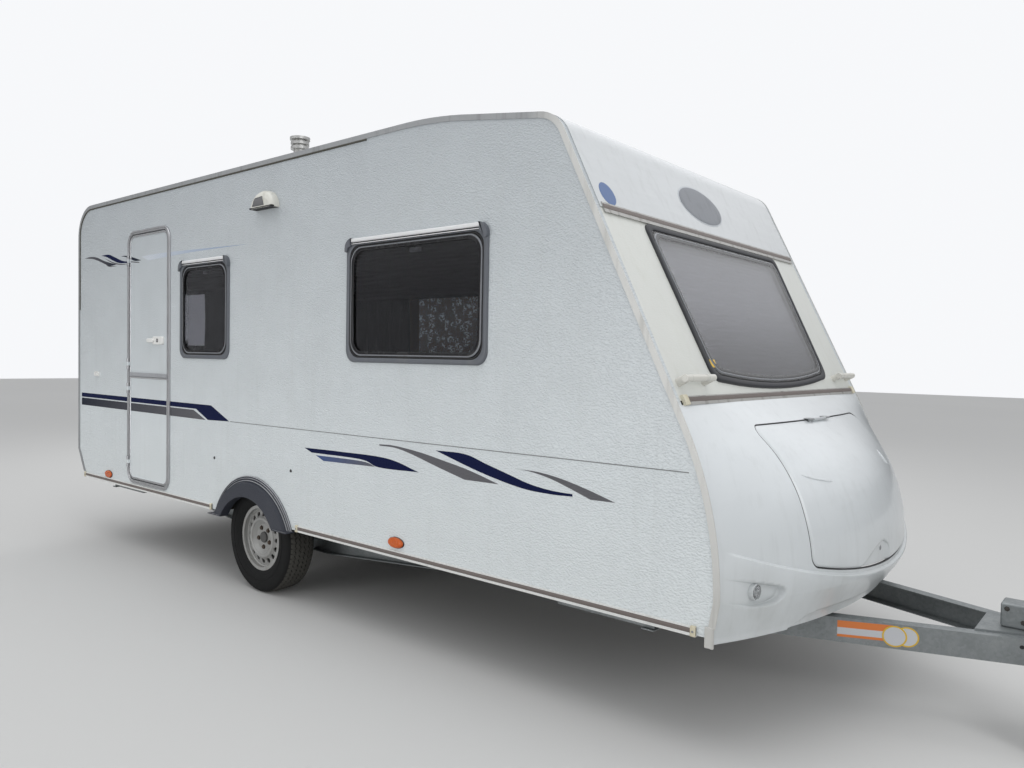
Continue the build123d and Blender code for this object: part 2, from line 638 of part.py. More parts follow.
# Hinge heights, with the leaf that each carries
DOOR_HINGES = [("upper", 2080), ("upper", 1340), ("lower", 1163), ("lower", 631)]
with BuildPart() as door_frame:
    extrude(door_face(HALF + DOOR_FRAME_PROUD), amount=-DOOR_FRAME_PROUD)
    extrude(door_face(HALF, DOOR_FRAME_WIDTH / 2 + SEAL), amount=-WALL)
    extrude(
        door_face(HALF + DOOR_FRAME_PROUD + 1, DOOR_FRAME_WIDTH),
        amount=-WALL - DOOR_FRAME_PROUD - 2,
        mode=Mode.SUBTRACT,
    )
    for _, z in DOOR_HINGES:
        for low in (-1.5 * HINGE_KNUCKLE, 0.5 * HINGE_KNUCKLE + HINGE_CLEARANCE):
            end = low + HINGE_KNUCKLE - HINGE_CLEARANCE
            rod((HINGE_X, HINGE_Y, z + low), (HINGE_X, HINGE_Y, z + end), HINGE_RADIUS)
            block(
                (HINGE_X - HINGE_RADIUS - 8, HINGE_X),
                (-HALF - DOOR_FRAME_PROUD, HINGE_Y - HINGE_RADIUS / 2),
                (z + low, z + end),
            )
        rod(
            (HINGE_X, HINGE_Y, z - HINGE_KNUCKLE),
            (HINGE_X, HINGE_Y, z + HINGE_KNUCKLE),
            HINGE_PIN_RADIUS,
        )
save(door_frame.part, "door_frame")

HANDLE_REAR_REACH = -1285
HANDLE_FRONT_REACH = -1120
HANDLE_LOW_Z = 1477
HANDLE_HIGH_Z = 1539
HANDLE_PROUD = 14
LEVER_PROUD = 40
LEAVES = [
    ("upper", DOOR_SPLIT_Z + LEAF_GAP / 2, DOOR_TOP_Z),
    ("lower", DOOR_BOTTOM_Z, DOOR_SPLIT_Z - LEAF_GAP / 2),
]
for leaf_name, leaf_low, leaf_high in LEAVES:
    with BuildPart() as leaf:
        extrude(door_face(HALF + LEAF_EDGE_PROUD, LEAF_INSET), amount=-WALL - LEAF_EDGE_PROUD)
        with BuildPart(mode=Mode.PRIVATE) as recess:
            extrude(door_face(HALF + LEAF_EDGE_PROUD + 1, LEAF_INSET + LEAF_EDGE), amount=-LEAF_EDGE_PROUD - 1)
            block((-BOX, BOX), (-BOX, BOX), (leaf_high - LEAF_EDGE, BOX), Mode.SUBTRACT)
            block((-BOX, BOX), (-BOX, BOX), (-BOX, leaf_low + LEAF_EDGE), Mode.SUBTRACT)
        add(recess.part, mode=Mode.SUBTRACT)
        block((-BOX, BOX), (-BOX, BOX), (leaf_high, BOX), Mode.SUBTRACT)
        block((-BOX, BOX), (-BOX, BOX), (-BOX, leaf_low), Mode.SUBTRACT)
        for hinge_leaf, z in DOOR_HINGES:
            if hinge_leaf == leaf_name:
                low, high = z - HINGE_KNUCKLE / 2 + HINGE_CLEARANCE, z + HINGE_KNUCKLE / 2 - HINGE_CLEARANCE
                rod((HINGE_X, HINGE_Y, low), (HINGE_X, HINGE_Y, high), HINGE_RADIUS)
                block(
                    (HINGE_X, HINGE_X + HINGE_RADIUS + 8),
                    (-HALF, HINGE_Y - HINGE_RADIUS / 2),
                    (low, high),
                )
                rod(
                    (HINGE_X, HINGE_Y, low - 1),
                    (HINGE_X, HINGE_Y, high + 1),
                    HINGE_PIN_RADIUS + HINGE_CLEARANCE,
                    Mode.SUBTRACT,
                )
    save(leaf.part, f"door_{leaf_name}")

with BuildPart() as handle:
    rear, front = along(HANDLE_REAR_REACH), along(HANDLE_FRONT_REACH)
    middle_z = (HANDLE_LOW_Z + HANDLE_HIGH_Z) / 2
    plate = side_plane(-1, HALF, front - 50, middle_z)
    extrude(rounded(plate, 100, HANDLE_HIGH_Z - HANDLE_LOW_Z, 18), amount=HANDLE_PROUD)
    rod((front - 62, -HALF, middle_z), (front - 62, -HALF - LEVER_PROUD, middle_z), 15)
    lever = side_plane(-1, HALF + LEVER_PROUD - 12, (rear + front - 50) / 2, middle_z)
    extrude(rounded(lever, front - 50 - rear, 26, 11), amount=12)
save(handle.part, "door_handle")

# Edge rails: an angle along each side wall's edge, one leg on the wall and one on the roof
RAIL_LEG = 22
RAIL_SKIN = 4
ROOF_LEG = 26
with BuildPart() as edge_rails:
    ring(-HALF - RAIL_SKIN, HALF + RAIL_SKIN, RAIL_SKIN, RAIL_LEG)
    slab(-HALF, HALF, 0, mode=Mode.SUBTRACT)
    block((-BOX, BOX), (-HALF + ROOF_LEG, HALF - ROOF_LEG), (-BOX, BOX), Mode.SUBTRACT)
    block((-BOX, BOX), (-BOX, BOX), (-BOX, SKIRT_Z + RAIL_LEG + 14), Mode.SUBTRACT)
    block((ROOF_FRONT_X, BOX), (-HALF, HALF), (-BOX, BROW_Z + 60), Mode.SUBTRACT)
save(edge_rails.part, "edge_rails")

# Skirt rails along the foot of each side wall, with a cap at each end
SKIRT_HEIGHT = 36
SKIRT_PROUD = 9
SKIRT_CAP = 22
SKIRT_RUNS = [
    (-REAR_REACH + REAR_CHAMFER_LENGTH, -SPAT_OUTER_RADIUS - 2),
    (SPAT_OUTER_RADIUS + 2, FRONT_FOOT_REACH - 60),
]
with BuildPart() as skirts:
    for side in (-1, 1):
        for rear, front in SKIRT_RUNS:
            face_y, out_y = side * HALF, side * (HALF + SKIRT_PROUD)
            block((along(rear), along(front)), (face_y, out_y), (SKIRT_Z - 4, SKIRT_Z - 4 + SKIRT_HEIGHT))
            slot = (SKIRT_Z + SKIRT_HEIGHT * 0.2, SKIRT_Z + SKIRT_HEIGHT * 0.7)
            groove = (along(rear) + SKIRT_CAP, along(front) - SKIRT_CAP)
            block(groove, (out_y - side * 3, out_y + side), slot, Mode.SUBTRACT)
save(skirts.part, "skirt_rails")

# Wheel arch spats: half rings that swell outward to a lip, each on two flat feet
with BuildPart() as spats:
    for side in (-1, 1):
        with BuildSketch(Plane.YZ.offset(ARCH_X)) as profile:
            with BuildLine():
                Polyline(
                    (side * (HALF - SPAT_SKIN), SPAT_Z + SPAT_INNER_RADIUS),
                    (side * (HALF + SPAT_PROUD), SPAT_Z + SPAT_INNER_RADIUS),
                    (side * (HALF + SPAT_PROUD), SPAT_Z + SPAT_INNER_RADIUS + 10),
                    (side * (HALF + SPAT_PROUD - 14), SPAT_Z + SPAT_OUTER_RADIUS - SPAT_RIM),
                    (side * (HALF + 16), SPAT_Z + SPAT_OUTER_RADIUS - SPAT_RIM + 6),
                    (side * (HALF + 16), SPAT_Z + SPAT_OUTER_RADIUS - SPAT_RIM + 14),
                    (side * (HALF + 10), SPAT_Z + SPAT_OUTER_RADIUS - SPAT_RIM + 16),
                    (side * (HALF + 8), SPAT_Z + SPAT_OUTER_RADIUS),
                    (side * HALF, SPAT_Z + SPAT_OUTER_RADIUS),
                    (side * HALF, SPAT_Z + ARCH_CUT_RADIUS - 2),
                    (side * (HALF + SPAT_PROUD - 14 - SPAT_SKIN), SPAT_Z + SPAT_OUTER_RADIUS - SPAT_RIM - 8),
                    (side * (HALF + SPAT_PROUD - SPAT_SKIN), SPAT_Z + SPAT_INNER_RADIUS + SPAT_SKIN),
                    (side * (HALF - SPAT_SKIN), SPAT_Z + SPAT_INNER_RADIUS + SPAT_SKIN),
                    close=True,
                )
            make_face()
        revolve(profile.sketch, axis=Axis((ARCH_X, 0, SPAT_Z), (0, 1, 0)), revolution_arc=360)
    block((-BOX, BOX), (-BOX, BOX), (-BOX, SPAT_FOOT_Z), Mode.SUBTRACT)
    drop = SPAT_FOOT_Z - SPAT_Z
    foot = sqrt(SPAT_INNER_RADIUS**2 - drop**2), sqrt(SPAT_OUTER_RADIUS**2 - drop**2) + SPAT_FOOT_LAP
    for side in (-1, 1):
        for end in (-1, 1):
            block(
                (ARCH_X + end * foot[0], ARCH_X + end * foot[1]),
                (side * (HALF - SPAT_SKIN), side * (HALF + SPAT_PROUD)),
                (SPAT_FOOT_Z - SPAT_SKIN, SPAT_FOOT_Z + 1),
            )
save(spats.part, "wheel_spats")

# Lamps and small fittings on the walls
MARKER_LENGTH = 115
MARKER_HEIGHT = 56
MARKER_PROUD = 15
MARKERS = [(-1954, 495), (1284, 511)]
with BuildPart() as side_markers:
    for side in (-1, 1):
        for reach, z in MARKERS:
            lift = SKIRT_Z + SKIRT_HEIGHT - 4 + MARKER_HEIGHT / 2
            with BuildSketch(side_plane(side, HALF, along(reach), max(z, lift))) as oval:
                Ellipse(MARKER_LENGTH / 2, MARKER_HEIGHT / 2)
            extrude(oval.sketch, amount=MARKER_PROUD)
    outer = side_markers.faces().filter_by(Axis.Y).filter_by(lambda f: abs(f.center().Y) > HALF + 1)
    fillet(outer.edges(), MARKER_PROUD / 2)
save(side_markers.part, "side_marker_lamps")

FRONT_LAMP_Y = 900
FRONT_LAMP_Z = 599
FRONT_LAMP_RADIUS = 32
FRONT_LAMP_PROUD = 12
with BuildPart() as front_lamps:
    for side in (-1, 1):
        x = nose_x(FRONT_LAMP_Y, FRONT_LAMP_Z)
        ends = (x - FRONT_LAMP_RADIUS, x + FRONT_LAMP_PROUD)
        y = side * FRONT_LAMP_Y
        rod((ends[0], y, FRONT_LAMP_Z), (ends[1], y, FRONT_LAMP_Z), FRONT_LAMP_RADIUS)
    fillet(front_lamps.edges().filter_by(GeomType.CIRCLE).group_by(Axis.X)[-1], FRONT_LAMP_PROUD / 2)
    add(nose_solid(POCKET_DEPTH), mode=Mode.SUBTRACT)
save(front_lamps.part, "front_marker_lamps")

AWNING_LAMP_REACH = 142
AWNING_LAMP_LENGTH = 230
AWNING_LAMP_LOW_Z = 2267
AWNING_LAMP_HEIGHT = 104
AWNING_LAMP_PROUD = 55
with BuildPart() as awning_lamp:
    with BuildSketch(side_plane(-1, HALF, along(AWNING_LAMP_REACH), AWNING_LAMP_LOW_Z)) as dome:
        with BuildLine():
            Line((-AWNING_LAMP_LENGTH / 2, 0), (AWNING_LAMP_LENGTH / 2, 0))
            ThreePointArc(
                (AWNING_LAMP_LENGTH / 2, 0), (0, AWNING_LAMP_HEIGHT), (-AWNING_LAMP_LENGTH / 2, 0)
            )
        make_face()
    extrude(dome.sketch, amount=AWNING_LAMP_PROUD, taper=18)
save(awning_lamp.part, "awning_lamp")

# Service hatches and refrigerator vents on the left wall, with columns: rear edge, front edge,
# bottom, top, slots
HATCHES = [
    (-820, -480, 560, 900, 0),
    (-150, 270, 760, 980, 6),
    (-150, 270, 1330, 1550, 6),
    (560, 760, 700, 880, 0),
]
HATCH_PROUD = 12
SLOT_HEIGHT = 12
SLOT_INSET = 30
with BuildPart() as hatches:
    for rear, front, bottom, top, slots in HATCHES:
        plane = side_plane(1, HALF, along((rear + front) / 2), (bottom + top) / 2)
        extrude(rounded(plane, front - rear, top - bottom, 18), amount=HATCH_PROUD)
        for number in range(slots):
            z = bottom + (number + 1) * (top - bottom) / (slots + 1)
            across = (HALF + HATCH_PROUD / 2, HALF + HATCH_PROUD + 1)
            span = (along(rear + SLOT_INSET), along(front - SLOT_INSET))
            block(span, across, (z - SLOT_HEIGHT / 2, z + SLOT_HEIGHT / 2), Mode.SUBTRACT)
save(hatches.part, "service_hatches")

# Catch on the wall that holds the door leaf open
CATCH_REACH = -2160
CATCH_Z = 1253
with BuildPart() as catch:
    base = (along(CATCH_REACH - 32), along(CATCH_REACH + 32))
    block(base, (-HALF - 9, -HALF), (CATCH_Z - 18, CATCH_Z + 18))
    tongue = (along(CATCH_REACH - 12), along(CATCH_REACH + 14))
    block(tongue, (-HALF - 24, -HALF - 8), (CATCH_Z - 12, CATCH_Z + 12))
save(catch.part, "door_catch")

GRAB_REACH_UP = 1349
GRAB_HALF_LENGTH = 120
GRAB_Y = 878
GRAB_STANDOFF = 42
with BuildPart() as grabs:
    for side in (-1, 1):
        foot = Vector(front_x(GRAB_REACH_UP), side * GRAB_Y, GRAB_REACH_UP)
        along_bar = Vector(0, GRAB_HALF_LENGTH, 0)
        out = SLOPE_NORMAL * GRAB_STANDOFF
        rod(foot - along_bar + out, foot + along_bar + out, 14)
        for end in (-0.85, 0.85):
            rod(foot + along_bar * end, foot + along_bar * end + out, 17)
        for end in (-1, 1):
            tip = Vector(REAR_X, side * GRAB_Y, 1100)
            rod(tip + Vector(0, 0, end * 100), tip + Vector(-GRAB_STANDOFF, 0, end * 100), 14)
        rod(
            (REAR_X - GRAB_STANDOFF, side * GRAB_Y, 985),
            (REAR_X - GRAB_STANDOFF, side * GRAB_Y, 1215),
            12,
        )
save(grabs.part, "grab_handles")

# Rear lamp panel, with a lamp cluster at each end and a bare number plate recess between them
PANEL_DEPTH = 26
PANEL_HEIGHT = 150
PANEL_LOW_Z = 665
CLUSTER_LENGTH = 330
CLUSTER_HEIGHT = 92
with BuildPart() as rear_panel:
    block((REAR_X - PANEL_DEPTH, REAR_X), (-HALF + 40, HALF - 40), (PANEL_LOW_Z, PANEL_LOW_Z + PANEL_HEIGHT))
    fillet(rear_panel.edges().filter_by(Axis.Y).group_by(Axis.X)[0], 18)
    block(
        (REAR_X - PANEL_DEPTH - 1, REAR_X - PANEL_DEPTH + 8),
        (-275, 275),
        (PANEL_LOW_Z + 15, PANEL_LOW_Z + PANEL_HEIGHT - 15),
        Mode.SUBTRACT,
    )
save(rear_panel.part, "rear_lamp_panel")

with BuildPart() as rear_lamps:
    for side in (-1, 1):
        middle_y = side * (HALF - 90 - CLUSTER_LENGTH / 2)
        plane = Plane(
            origin=(REAR_X - PANEL_DEPTH, middle_y, PANEL_LOW_Z + PANEL_HEIGHT / 2),
            x_dir=(0, -1, 0),
            z_dir=(-1, 0, 0),
        )
        extrude(rounded(plane, CLUSTER_LENGTH, CLUSTER_HEIGHT, 20), amount=22)
save(rear_lamps.part, "rear_lamps")

# On the roof: the rooflight's dome and the heater's flue cap
with BuildPart() as rooflight:
    margin = 25
    block(
        (LIGHT_SPAN_X[0] - margin, LIGHT_SPAN_X[1] + margin),
        (LIGHT_SPAN_Y[0] - margin, LIGHT_SPAN_Y[1] + margin),
        (ROOF_Z, ROOF_Z + ROOFLIGHT_HEIGHT),
    )
    fillet(rooflight.edges().filter_by(Axis.Z), 40)
    fillet(rooflight.faces().sort_by(Axis.Z)[-1].edges(), 30)
save(rooflight.part, "rooflight")

FLUE_REACH = 90
FLUE_Y = -800
FLUE_RADIUS = 38
FLUE_CAP_RADIUS = 60
FLUE_CAP_TOP = 190
FLUE_RINGS = 3
FLUE_RING_PITCH = 28
with BuildPart() as flue:
    foot = (along(FLUE_REACH), FLUE_Y, ROOF_Z)
    rod(foot, (foot[0], foot[1], ROOF_Z + FLUE_CAP_TOP - 10), FLUE_RADIUS)
    rod(foot, (foot[0], foot[1], ROOF_Z + 12), 1.5 * FLUE_CAP_RADIUS)
    for level in range(FLUE_RINGS):
        top = ROOF_Z + FLUE_CAP_TOP - level * FLUE_RING_PITCH
        rod((foot[0], foot[1], top - 16), (foot[0], foot[1], top), FLUE_CAP_RADIUS - 5 * min(level, 1))
save(flue.part, "flue_cap")

# Chassis: two long rails under the floor, and two beams that run in to the coupling
def channel(path_start, path_end, top_z, height, flange, thickness, way):
    """A channel beam between two plan points, its flanges turned to the left or the right."""
    start, end = Vector(*path_start, top_z), Vector(*path_end, top_z)
    across = Vector(0, 0, 1).cross(end - start) * way
    plane = Plane(origin=start, x_dir=across, z_dir=end - start)
    up = 1 if plane.y_dir.Z > 0 else -1
    with BuildSketch(plane) as section:
        with BuildLine():
            Polyline(
                (0, 0),
                (flange, 0),
                (flange, -up * thickness),
                (thickness, -up * thickness),
                (thickness, -up * (height - thickness)),
                (flange, -up * (height - thickness)),
                (flange, -up * height),
                (0, -up * height),
                close=True,
            )
        make_face()
    extrude(section.sketch, amount=(end - start).length)


DRAWBAR_SPREAD = 0.363  # how far each beam runs inward for each millimetre forward
DRAWBAR_LAP_Y = RAIL_Y - EDGE_GAP
DRAWBAR_REAR_REACH = DRAWBAR_FRONT_REACH - (DRAWBAR_LAP_Y - DRAWBAR_FRONT_Y) / DRAWBAR_SPREAD


def rail_body(y_low, y_high, inset, past, mode=Mode.ADD):
    """A chassis rail's side outline, deepest at the axle, made solid between two values of Y."""
    top, slim, deep = SKIRT_Z - inset, SKIRT_Z - RAIL_HEIGHT + inset, SKIRT_Z - RAIL_DEEP_HEIGHT + inset
    rear, front = along(RAIL_REAR_REACH) - past, along(RAIL_FRONT_REACH) + past
    with BuildSketch(Plane.XZ.offset(-y_high)) as section:
        with BuildLine():
            Polyline(
                (rear, top),
                (front, top),
                (front, slim),
                (along(RAIL_TAPER_SPAN[1]), slim),
                (along(RAIL_DEEP_SPAN[1]), deep),
                (along(RAIL_DEEP_SPAN[0]), deep),
                (along(RAIL_TAPER_SPAN[0]), slim),
                (rear, slim),
                close=True,
            )
        make_face()
    extrude(section.sketch, amount=y_high - y_low, mode=mode)


def axle_section(y, grow):
    """The axle tube's hexagon on a plane at one Y, made larger all round."""
    with BuildSketch(Plane.XZ.offset(-y)) as hexagon:
        with Locations((along(AXLE_TUBE_REACH), AXLE_TUBE_Z)):
            RegularPolygon(AXLE_TUBE_SIZE / 2 + grow, 6)
    return hexagon.sketch


with BuildPart() as rails:
    for side in (-1, 1):
        rail_body(*sorted((side * RAIL_Y, side * (RAIL_Y + RAIL_FLANGE))), 0, 0)
        hollow = sorted((side * (RAIL_Y + RAIL_THICKNESS), side * (RAIL_Y + RAIL_FLANGE + 1)))
        rail_body(*hollow, RAIL_THICKNESS, 1, Mode.SUBTRACT)
    extrude(axle_section(BOX / 2, EDGE_GAP), amount=BOX, mode=Mode.SUBTRACT)
save(rails.part, "chassis_rails")

with BuildPart() as beams:
    for side in (-1, 1):
        bend = (along(DRAWBAR_REAR_REACH), side * DRAWBAR_LAP_Y)
        ends = ((bend[0] - DRAWBAR_LAP, bend[1]), (along(DRAWBAR_FRONT_REACH), side * DRAWBAR_FRONT_Y))
        for start, end in ((ends[0], bend), (bend, ends[1])):
            channel(start, end, DRAWBAR_TOP_Z, DRAWBAR_HEIGHT, DRAWBAR_FLANGE, RAIL_THICKNESS, -side)
save(beams.part, "drawbar_beams")


def drawbar_y(reach):
    """Distance of a drawbar beam's web from the middle at one reach."""
    return DRAWBAR_FRONT_Y + (DRAWBAR_FRONT_REACH - reach) * DRAWBAR_SPREAD


# Axle: a tube through the rails, ahead of the wheels, with a trailing arm at each end
ARM_INNER_Y = 760
AXLE_TUBE_WALL = 6
ARM_THICKNESS = 34
ARM_END_RADIUS = 52
STUB_RADIUS = 20
HUB_FACE_Y = 972
DRUM_RADIUS = 115
DRUM_INNER_Y = ARM_INNER_Y + ARM_THICKNESS + 6
DRUM_DEPTH = 75
DRUM_NECK_RADIUS = 80
CAP_LENGTH = 20
with BuildPart() as axle:
    extrude(axle_section(ARM_INNER_Y, 0), amount=2 * ARM_INNER_Y)
    extrude(axle_section(ARM_INNER_Y, -AXLE_TUBE_WALL), amount=2 * ARM_INNER_Y, mode=Mode.SUBTRACT)
    for side in (-1, 1):
        plate = (side * (RAIL_Y - EDGE_GAP), side * (RAIL_Y - 10))
        x = along(AXLE_TUBE_REACH)
        block((x - 110, x + 110), plate, (AXLE_TUBE_Z + 25, SKIRT_Z - 20))
save(axle.part, "axle_tube")

with BuildPart() as arms:
    root, tip = (along(AXLE_TUBE_REACH), AXLE_TUBE_Z), (AXLE_X, TYRE_RADIUS)
    for side in (-1, 1):
        near, far = side * ARM_INNER_Y, side * (ARM_INNER_Y + ARM_THICKNESS)
        rod((root[0], near, root[1]), (root[0], far, root[1]), ARM_END_RADIUS)
        rod((tip[0], near, tip[1]), (tip[0], far, tip[1]), ARM_END_RADIUS)
        block((tip[0], root[0]), (near, far), (AXLE_TUBE_Z - 28, TYRE_RADIUS + 28))
        rod((tip[0], far, tip[1]), (tip[0], side * (HUB_FACE_Y - 12), tip[1]), STUB_RADIUS)
save(arms.part, "trailing_arms")

# Wheels: tyre, steel wheel with a ring of round holes, and brake drum on its stub axle
TYRE_MIDDLE_Y = WHEEL_OUTER_Y - TYRE_WIDTH / 2
RIM_WIDTH = 150
RIM_SKIN = 5
BARREL_RADIUS = RIM_RADIUS - 14
RIM_STEP_RADIUS = BARREL_RADIUS - 14
RING_RADIUS = 112
DISH_RADIUS = 80
RIM_HOLES = 16
RIM_HOLE_RADIUS = 15
RIM_HOLE_CIRCLE = 142
BOLTS = 5
BOLT_CIRCLE = 60
BOLT_TURN = 48
CAP_RADIUS = 32
BOLT_RADIUS = 10
BOLT_LENGTH = 14
DISC_Y = HUB_FACE_Y + 16
RING_LIFT = 10
STUB_CLEARANCE = 0.05
for side, name in ((-1, "right"), (1, "left")):
    wheel_axis = Axis((AXLE_X, 0, TYRE_RADIUS), (0, 1, 0))
    wheel_plane = Plane(origin=(AXLE_X, 0, TYRE_RADIUS), x_dir=(0, side, 0), z_dir=(side, 0, 0))
    middle = TYRE_MIDDLE_Y
    with BuildPart() as tyre:
        half, seat = TYRE_WIDTH / 2, BARREL_RADIUS + SEAL
        with BuildSketch(wheel_plane) as section:
            with BuildLine():
                Line((middle - RIM_WIDTH / 2 + 8, seat), (middle + RIM_WIDTH / 2 - 8, seat))
                Line((middle + RIM_WIDTH / 2 - 8, seat), (middle + RIM_WIDTH / 2 - 8, RIM_RADIUS + 6))
                ThreePointArc(
                    (middle + RIM_WIDTH / 2 - 8, RIM_RADIUS + 6),
                    (middle + half, TYRE_RADIUS - 70),
                    (middle + half - 16, TYRE_RADIUS - 14),
                )
                ThreePointArc(
                    (middle + half - 16, TYRE_RADIUS - 14),
                    (middle + half - 20, TYRE_RADIUS - 6),
                    (middle + half - 30, TYRE_RADIUS - 2),
                )
                ThreePointArc(
                    (middle + half - 30, TYRE_RADIUS - 2),
                    (middle, TYRE_RADIUS),
                    (middle - half + 30, TYRE_RADIUS - 2),
                )
                ThreePointArc(
                    (middle - half + 30, TYRE_RADIUS - 2),
                    (middle - half + 20, TYRE_RADIUS - 6),
                    (middle - half + 16, TYRE_RADIUS - 14),
                )
                ThreePointArc(
                    (middle - half + 16, TYRE_RADIUS - 14),
                    (middle - half, TYRE_RADIUS - 70),
                    (middle - RIM_WIDTH / 2 + 8, RIM_RADIUS + 6),
                )
                Line((middle - RIM_WIDTH / 2 + 8, RIM_RADIUS + 6), (middle - RIM_WIDTH / 2 + 8, seat))
            make_face()
        revolve(section.sketch, axis=wheel_axis)
    save(tyre.part, f"tyre_{name}")
    with BuildPart() as rim:
        outer, inner = middle + RIM_WIDTH / 2, middle - RIM_WIDTH / 2
        with BuildSketch(wheel_plane) as section:
            with BuildLine():
                Polyline(
                    (DISC_Y + RING_LIFT, RING_RADIUS + 12),
                    (DISC_Y, RING_RADIUS + 24),
                    (DISC_Y - 6, RIM_STEP_RADIUS),
                    (outer - 26, RIM_STEP_RADIUS),
                    (outer - 22, BARREL_RADIUS - RIM_SKIN),
                    (outer, BARREL_RADIUS - RIM_SKIN),
                    (outer, RIM_RADIUS),
                    (outer - RIM_SKIN, RIM_RADIUS),
                    (outer - RIM_SKIN, BARREL_RADIUS),
                    (inner + RIM_SKIN, BARREL_RADIUS),
                    (inner + RIM_SKIN, RIM_RADIUS),
                    (inner, RIM_RADIUS),
                    (inner, BARREL_RADIUS - RIM_SKIN),
                    (DISC_Y - 14, BARREL_RADIUS - RIM_SKIN),
                    (DISC_Y - RIM_SKIN - 2, RING_RADIUS + 22),
                    (DISC_Y + RING_LIFT - RIM_SKIN, RING_RADIUS + 8),
                    (DISC_Y + RING_LIFT - RIM_SKIN, RING_RADIUS - 10),
                    (HUB_FACE_Y, DISH_RADIUS + 4),
                    (HUB_FACE_Y, CAP_RADIUS + 1),
                    (HUB_FACE_Y + RIM_SKIN + 3, CAP_RADIUS + 1),
                    (HUB_FACE_Y + RIM_SKIN + 3, DISH_RADIUS),
                    (DISC_Y + RING_LIFT, RING_RADIUS - 12),
                )
                ThreePointArc(
                    (DISC_Y + RING_LIFT, RING_RADIUS - 12),
                    (DISC_Y + RING_LIFT + 8, RING_RADIUS),
                    (DISC_Y + RING_LIFT, RING_RADIUS + 12),
                )
            make_face()
        revolve(section.sketch, axis=wheel_axis)
        for number in range(RIM_HOLES):
            turn = radians(360 / RIM_HOLES * number)
            x = AXLE_X + RIM_HOLE_CIRCLE * cos(turn)
            z = TYRE_RADIUS + RIM_HOLE_CIRCLE * sin(turn)
            rod((x, side * HUB_FACE_Y, z), (x, side * (DISC_Y + 20), z), RIM_HOLE_RADIUS, Mode.SUBTRACT)
        for number in range(BOLTS):
            turn = radians(BOLT_TURN + 360 / BOLTS * number)
            x, z = AXLE_X + BOLT_CIRCLE * cos(turn), TYRE_RADIUS + BOLT_CIRCLE * sin(turn)
            rod((x, side * (HUB_FACE_Y + 4), z), (x, side * (HUB_FACE_Y + BOLT_LENGTH), z), BOLT_RADIUS)
    save(rim.part, f"wheel_rim_{name}")
    with BuildPart() as drum:
        steps = (DRUM_INNER_Y, DRUM_INNER_Y + DRUM_DEPTH, HUB_FACE_Y - SEAL, HUB_FACE_Y + CAP_LENGTH)
        rod_y = [side * y for y in steps]
        centre = (AXLE_X, TYRE_RADIUS)
        rod((centre[0], rod_y[0], centre[1]), (centre[0], rod_y[1], centre[1]), DRUM_RADIUS)
        rod((centre[0], rod_y[1], centre[1]), (centre[0], rod_y[2], centre[1]), DRUM_NECK_RADIUS)
        rod((centre[0], rod_y[2], centre[1]), (centre[0], rod_y[3], centre[1]), CAP_RADIUS)
        fillet(drum.edges().filter_by(GeomType.CIRCLE).group_by(Axis.Y)[0 if side < 0 else -1], 8)
        rod(
            (centre[0], rod_y[0] - side, centre[1]),
            (centre[0], side * (HUB_FACE_Y - 10), centre[1]),
            STUB_RADIUS + STUB_CLEARANCE,
            Mode.SUBTRACT,
        )
    save(drum.part, f"brake_drum_{name}")

# Overrun unit on the drawbar's nose, with the coupling head on its shaft
OVERRUN_REAR_REACH = DRAWBAR_FRONT_REACH - 290
OVERRUN_FRONT_REACH = DRAWBAR_FRONT_REACH + 170
SADDLE_REACH = (DRAWBAR_FRONT_REACH - 380, DRAWBAR_FRONT_REACH - 60)
SADDLE_INSET = 48
BELLOWS_LENGTH = 80
SADDLE_THICKNESS = 8
with BuildPart() as overrun:
    reach = (OVERRUN_REAR_REACH, OVERRUN_FRONT_REACH)
    rod((along(reach[0]), 0, OVERRUN_Z), (along(reach[1]), 0, OVERRUN_Z), OVERRUN_RADIUS)
    for place in (OVERRUN_REAR_REACH + 60, DRAWBAR_FRONT_REACH - 90):
        block(
            (along(place - 5), along(place + 5)),
            (-OVERRUN_RADIUS, OVERRUN_RADIUS),
            (DRAWBAR_TOP_Z, OVERRUN_Z),
        )
    with BuildSketch(Plane.XY.offset(DRAWBAR_TOP_Z)) as saddle:
        with BuildLine():
            rear_y, front_y = (drawbar_y(place) - SADDLE_INSET for place in SADDLE_REACH)
            saddle_rear, saddle_front = (along(place) for place in SADDLE_REACH)
            Polyline(
                (saddle_rear, -rear_y),
                (saddle_front, -front_y),
                (saddle_front, front_y),
                (saddle_rear, rear_y),
                close=True,
            )
        make_face()
    extrude(saddle.sketch, amount=SADDLE_THICKNESS)
    for number in range(5):
        start = OVERRUN_FRONT_REACH + number * BELLOWS_LENGTH / 5
        radius = OVERRUN_RADIUS + 8 - 2 * number
        rod((along(start), 0, OVERRUN_Z), (along(start + 9), 0, OVERRUN_Z), radius)
        rod((along(start), 0, OVERRUN_Z), (along(start + BELLOWS_LENGTH / 5), 0, OVERRUN_Z), radius - 8)
save(overrun.part, "overrun_unit")

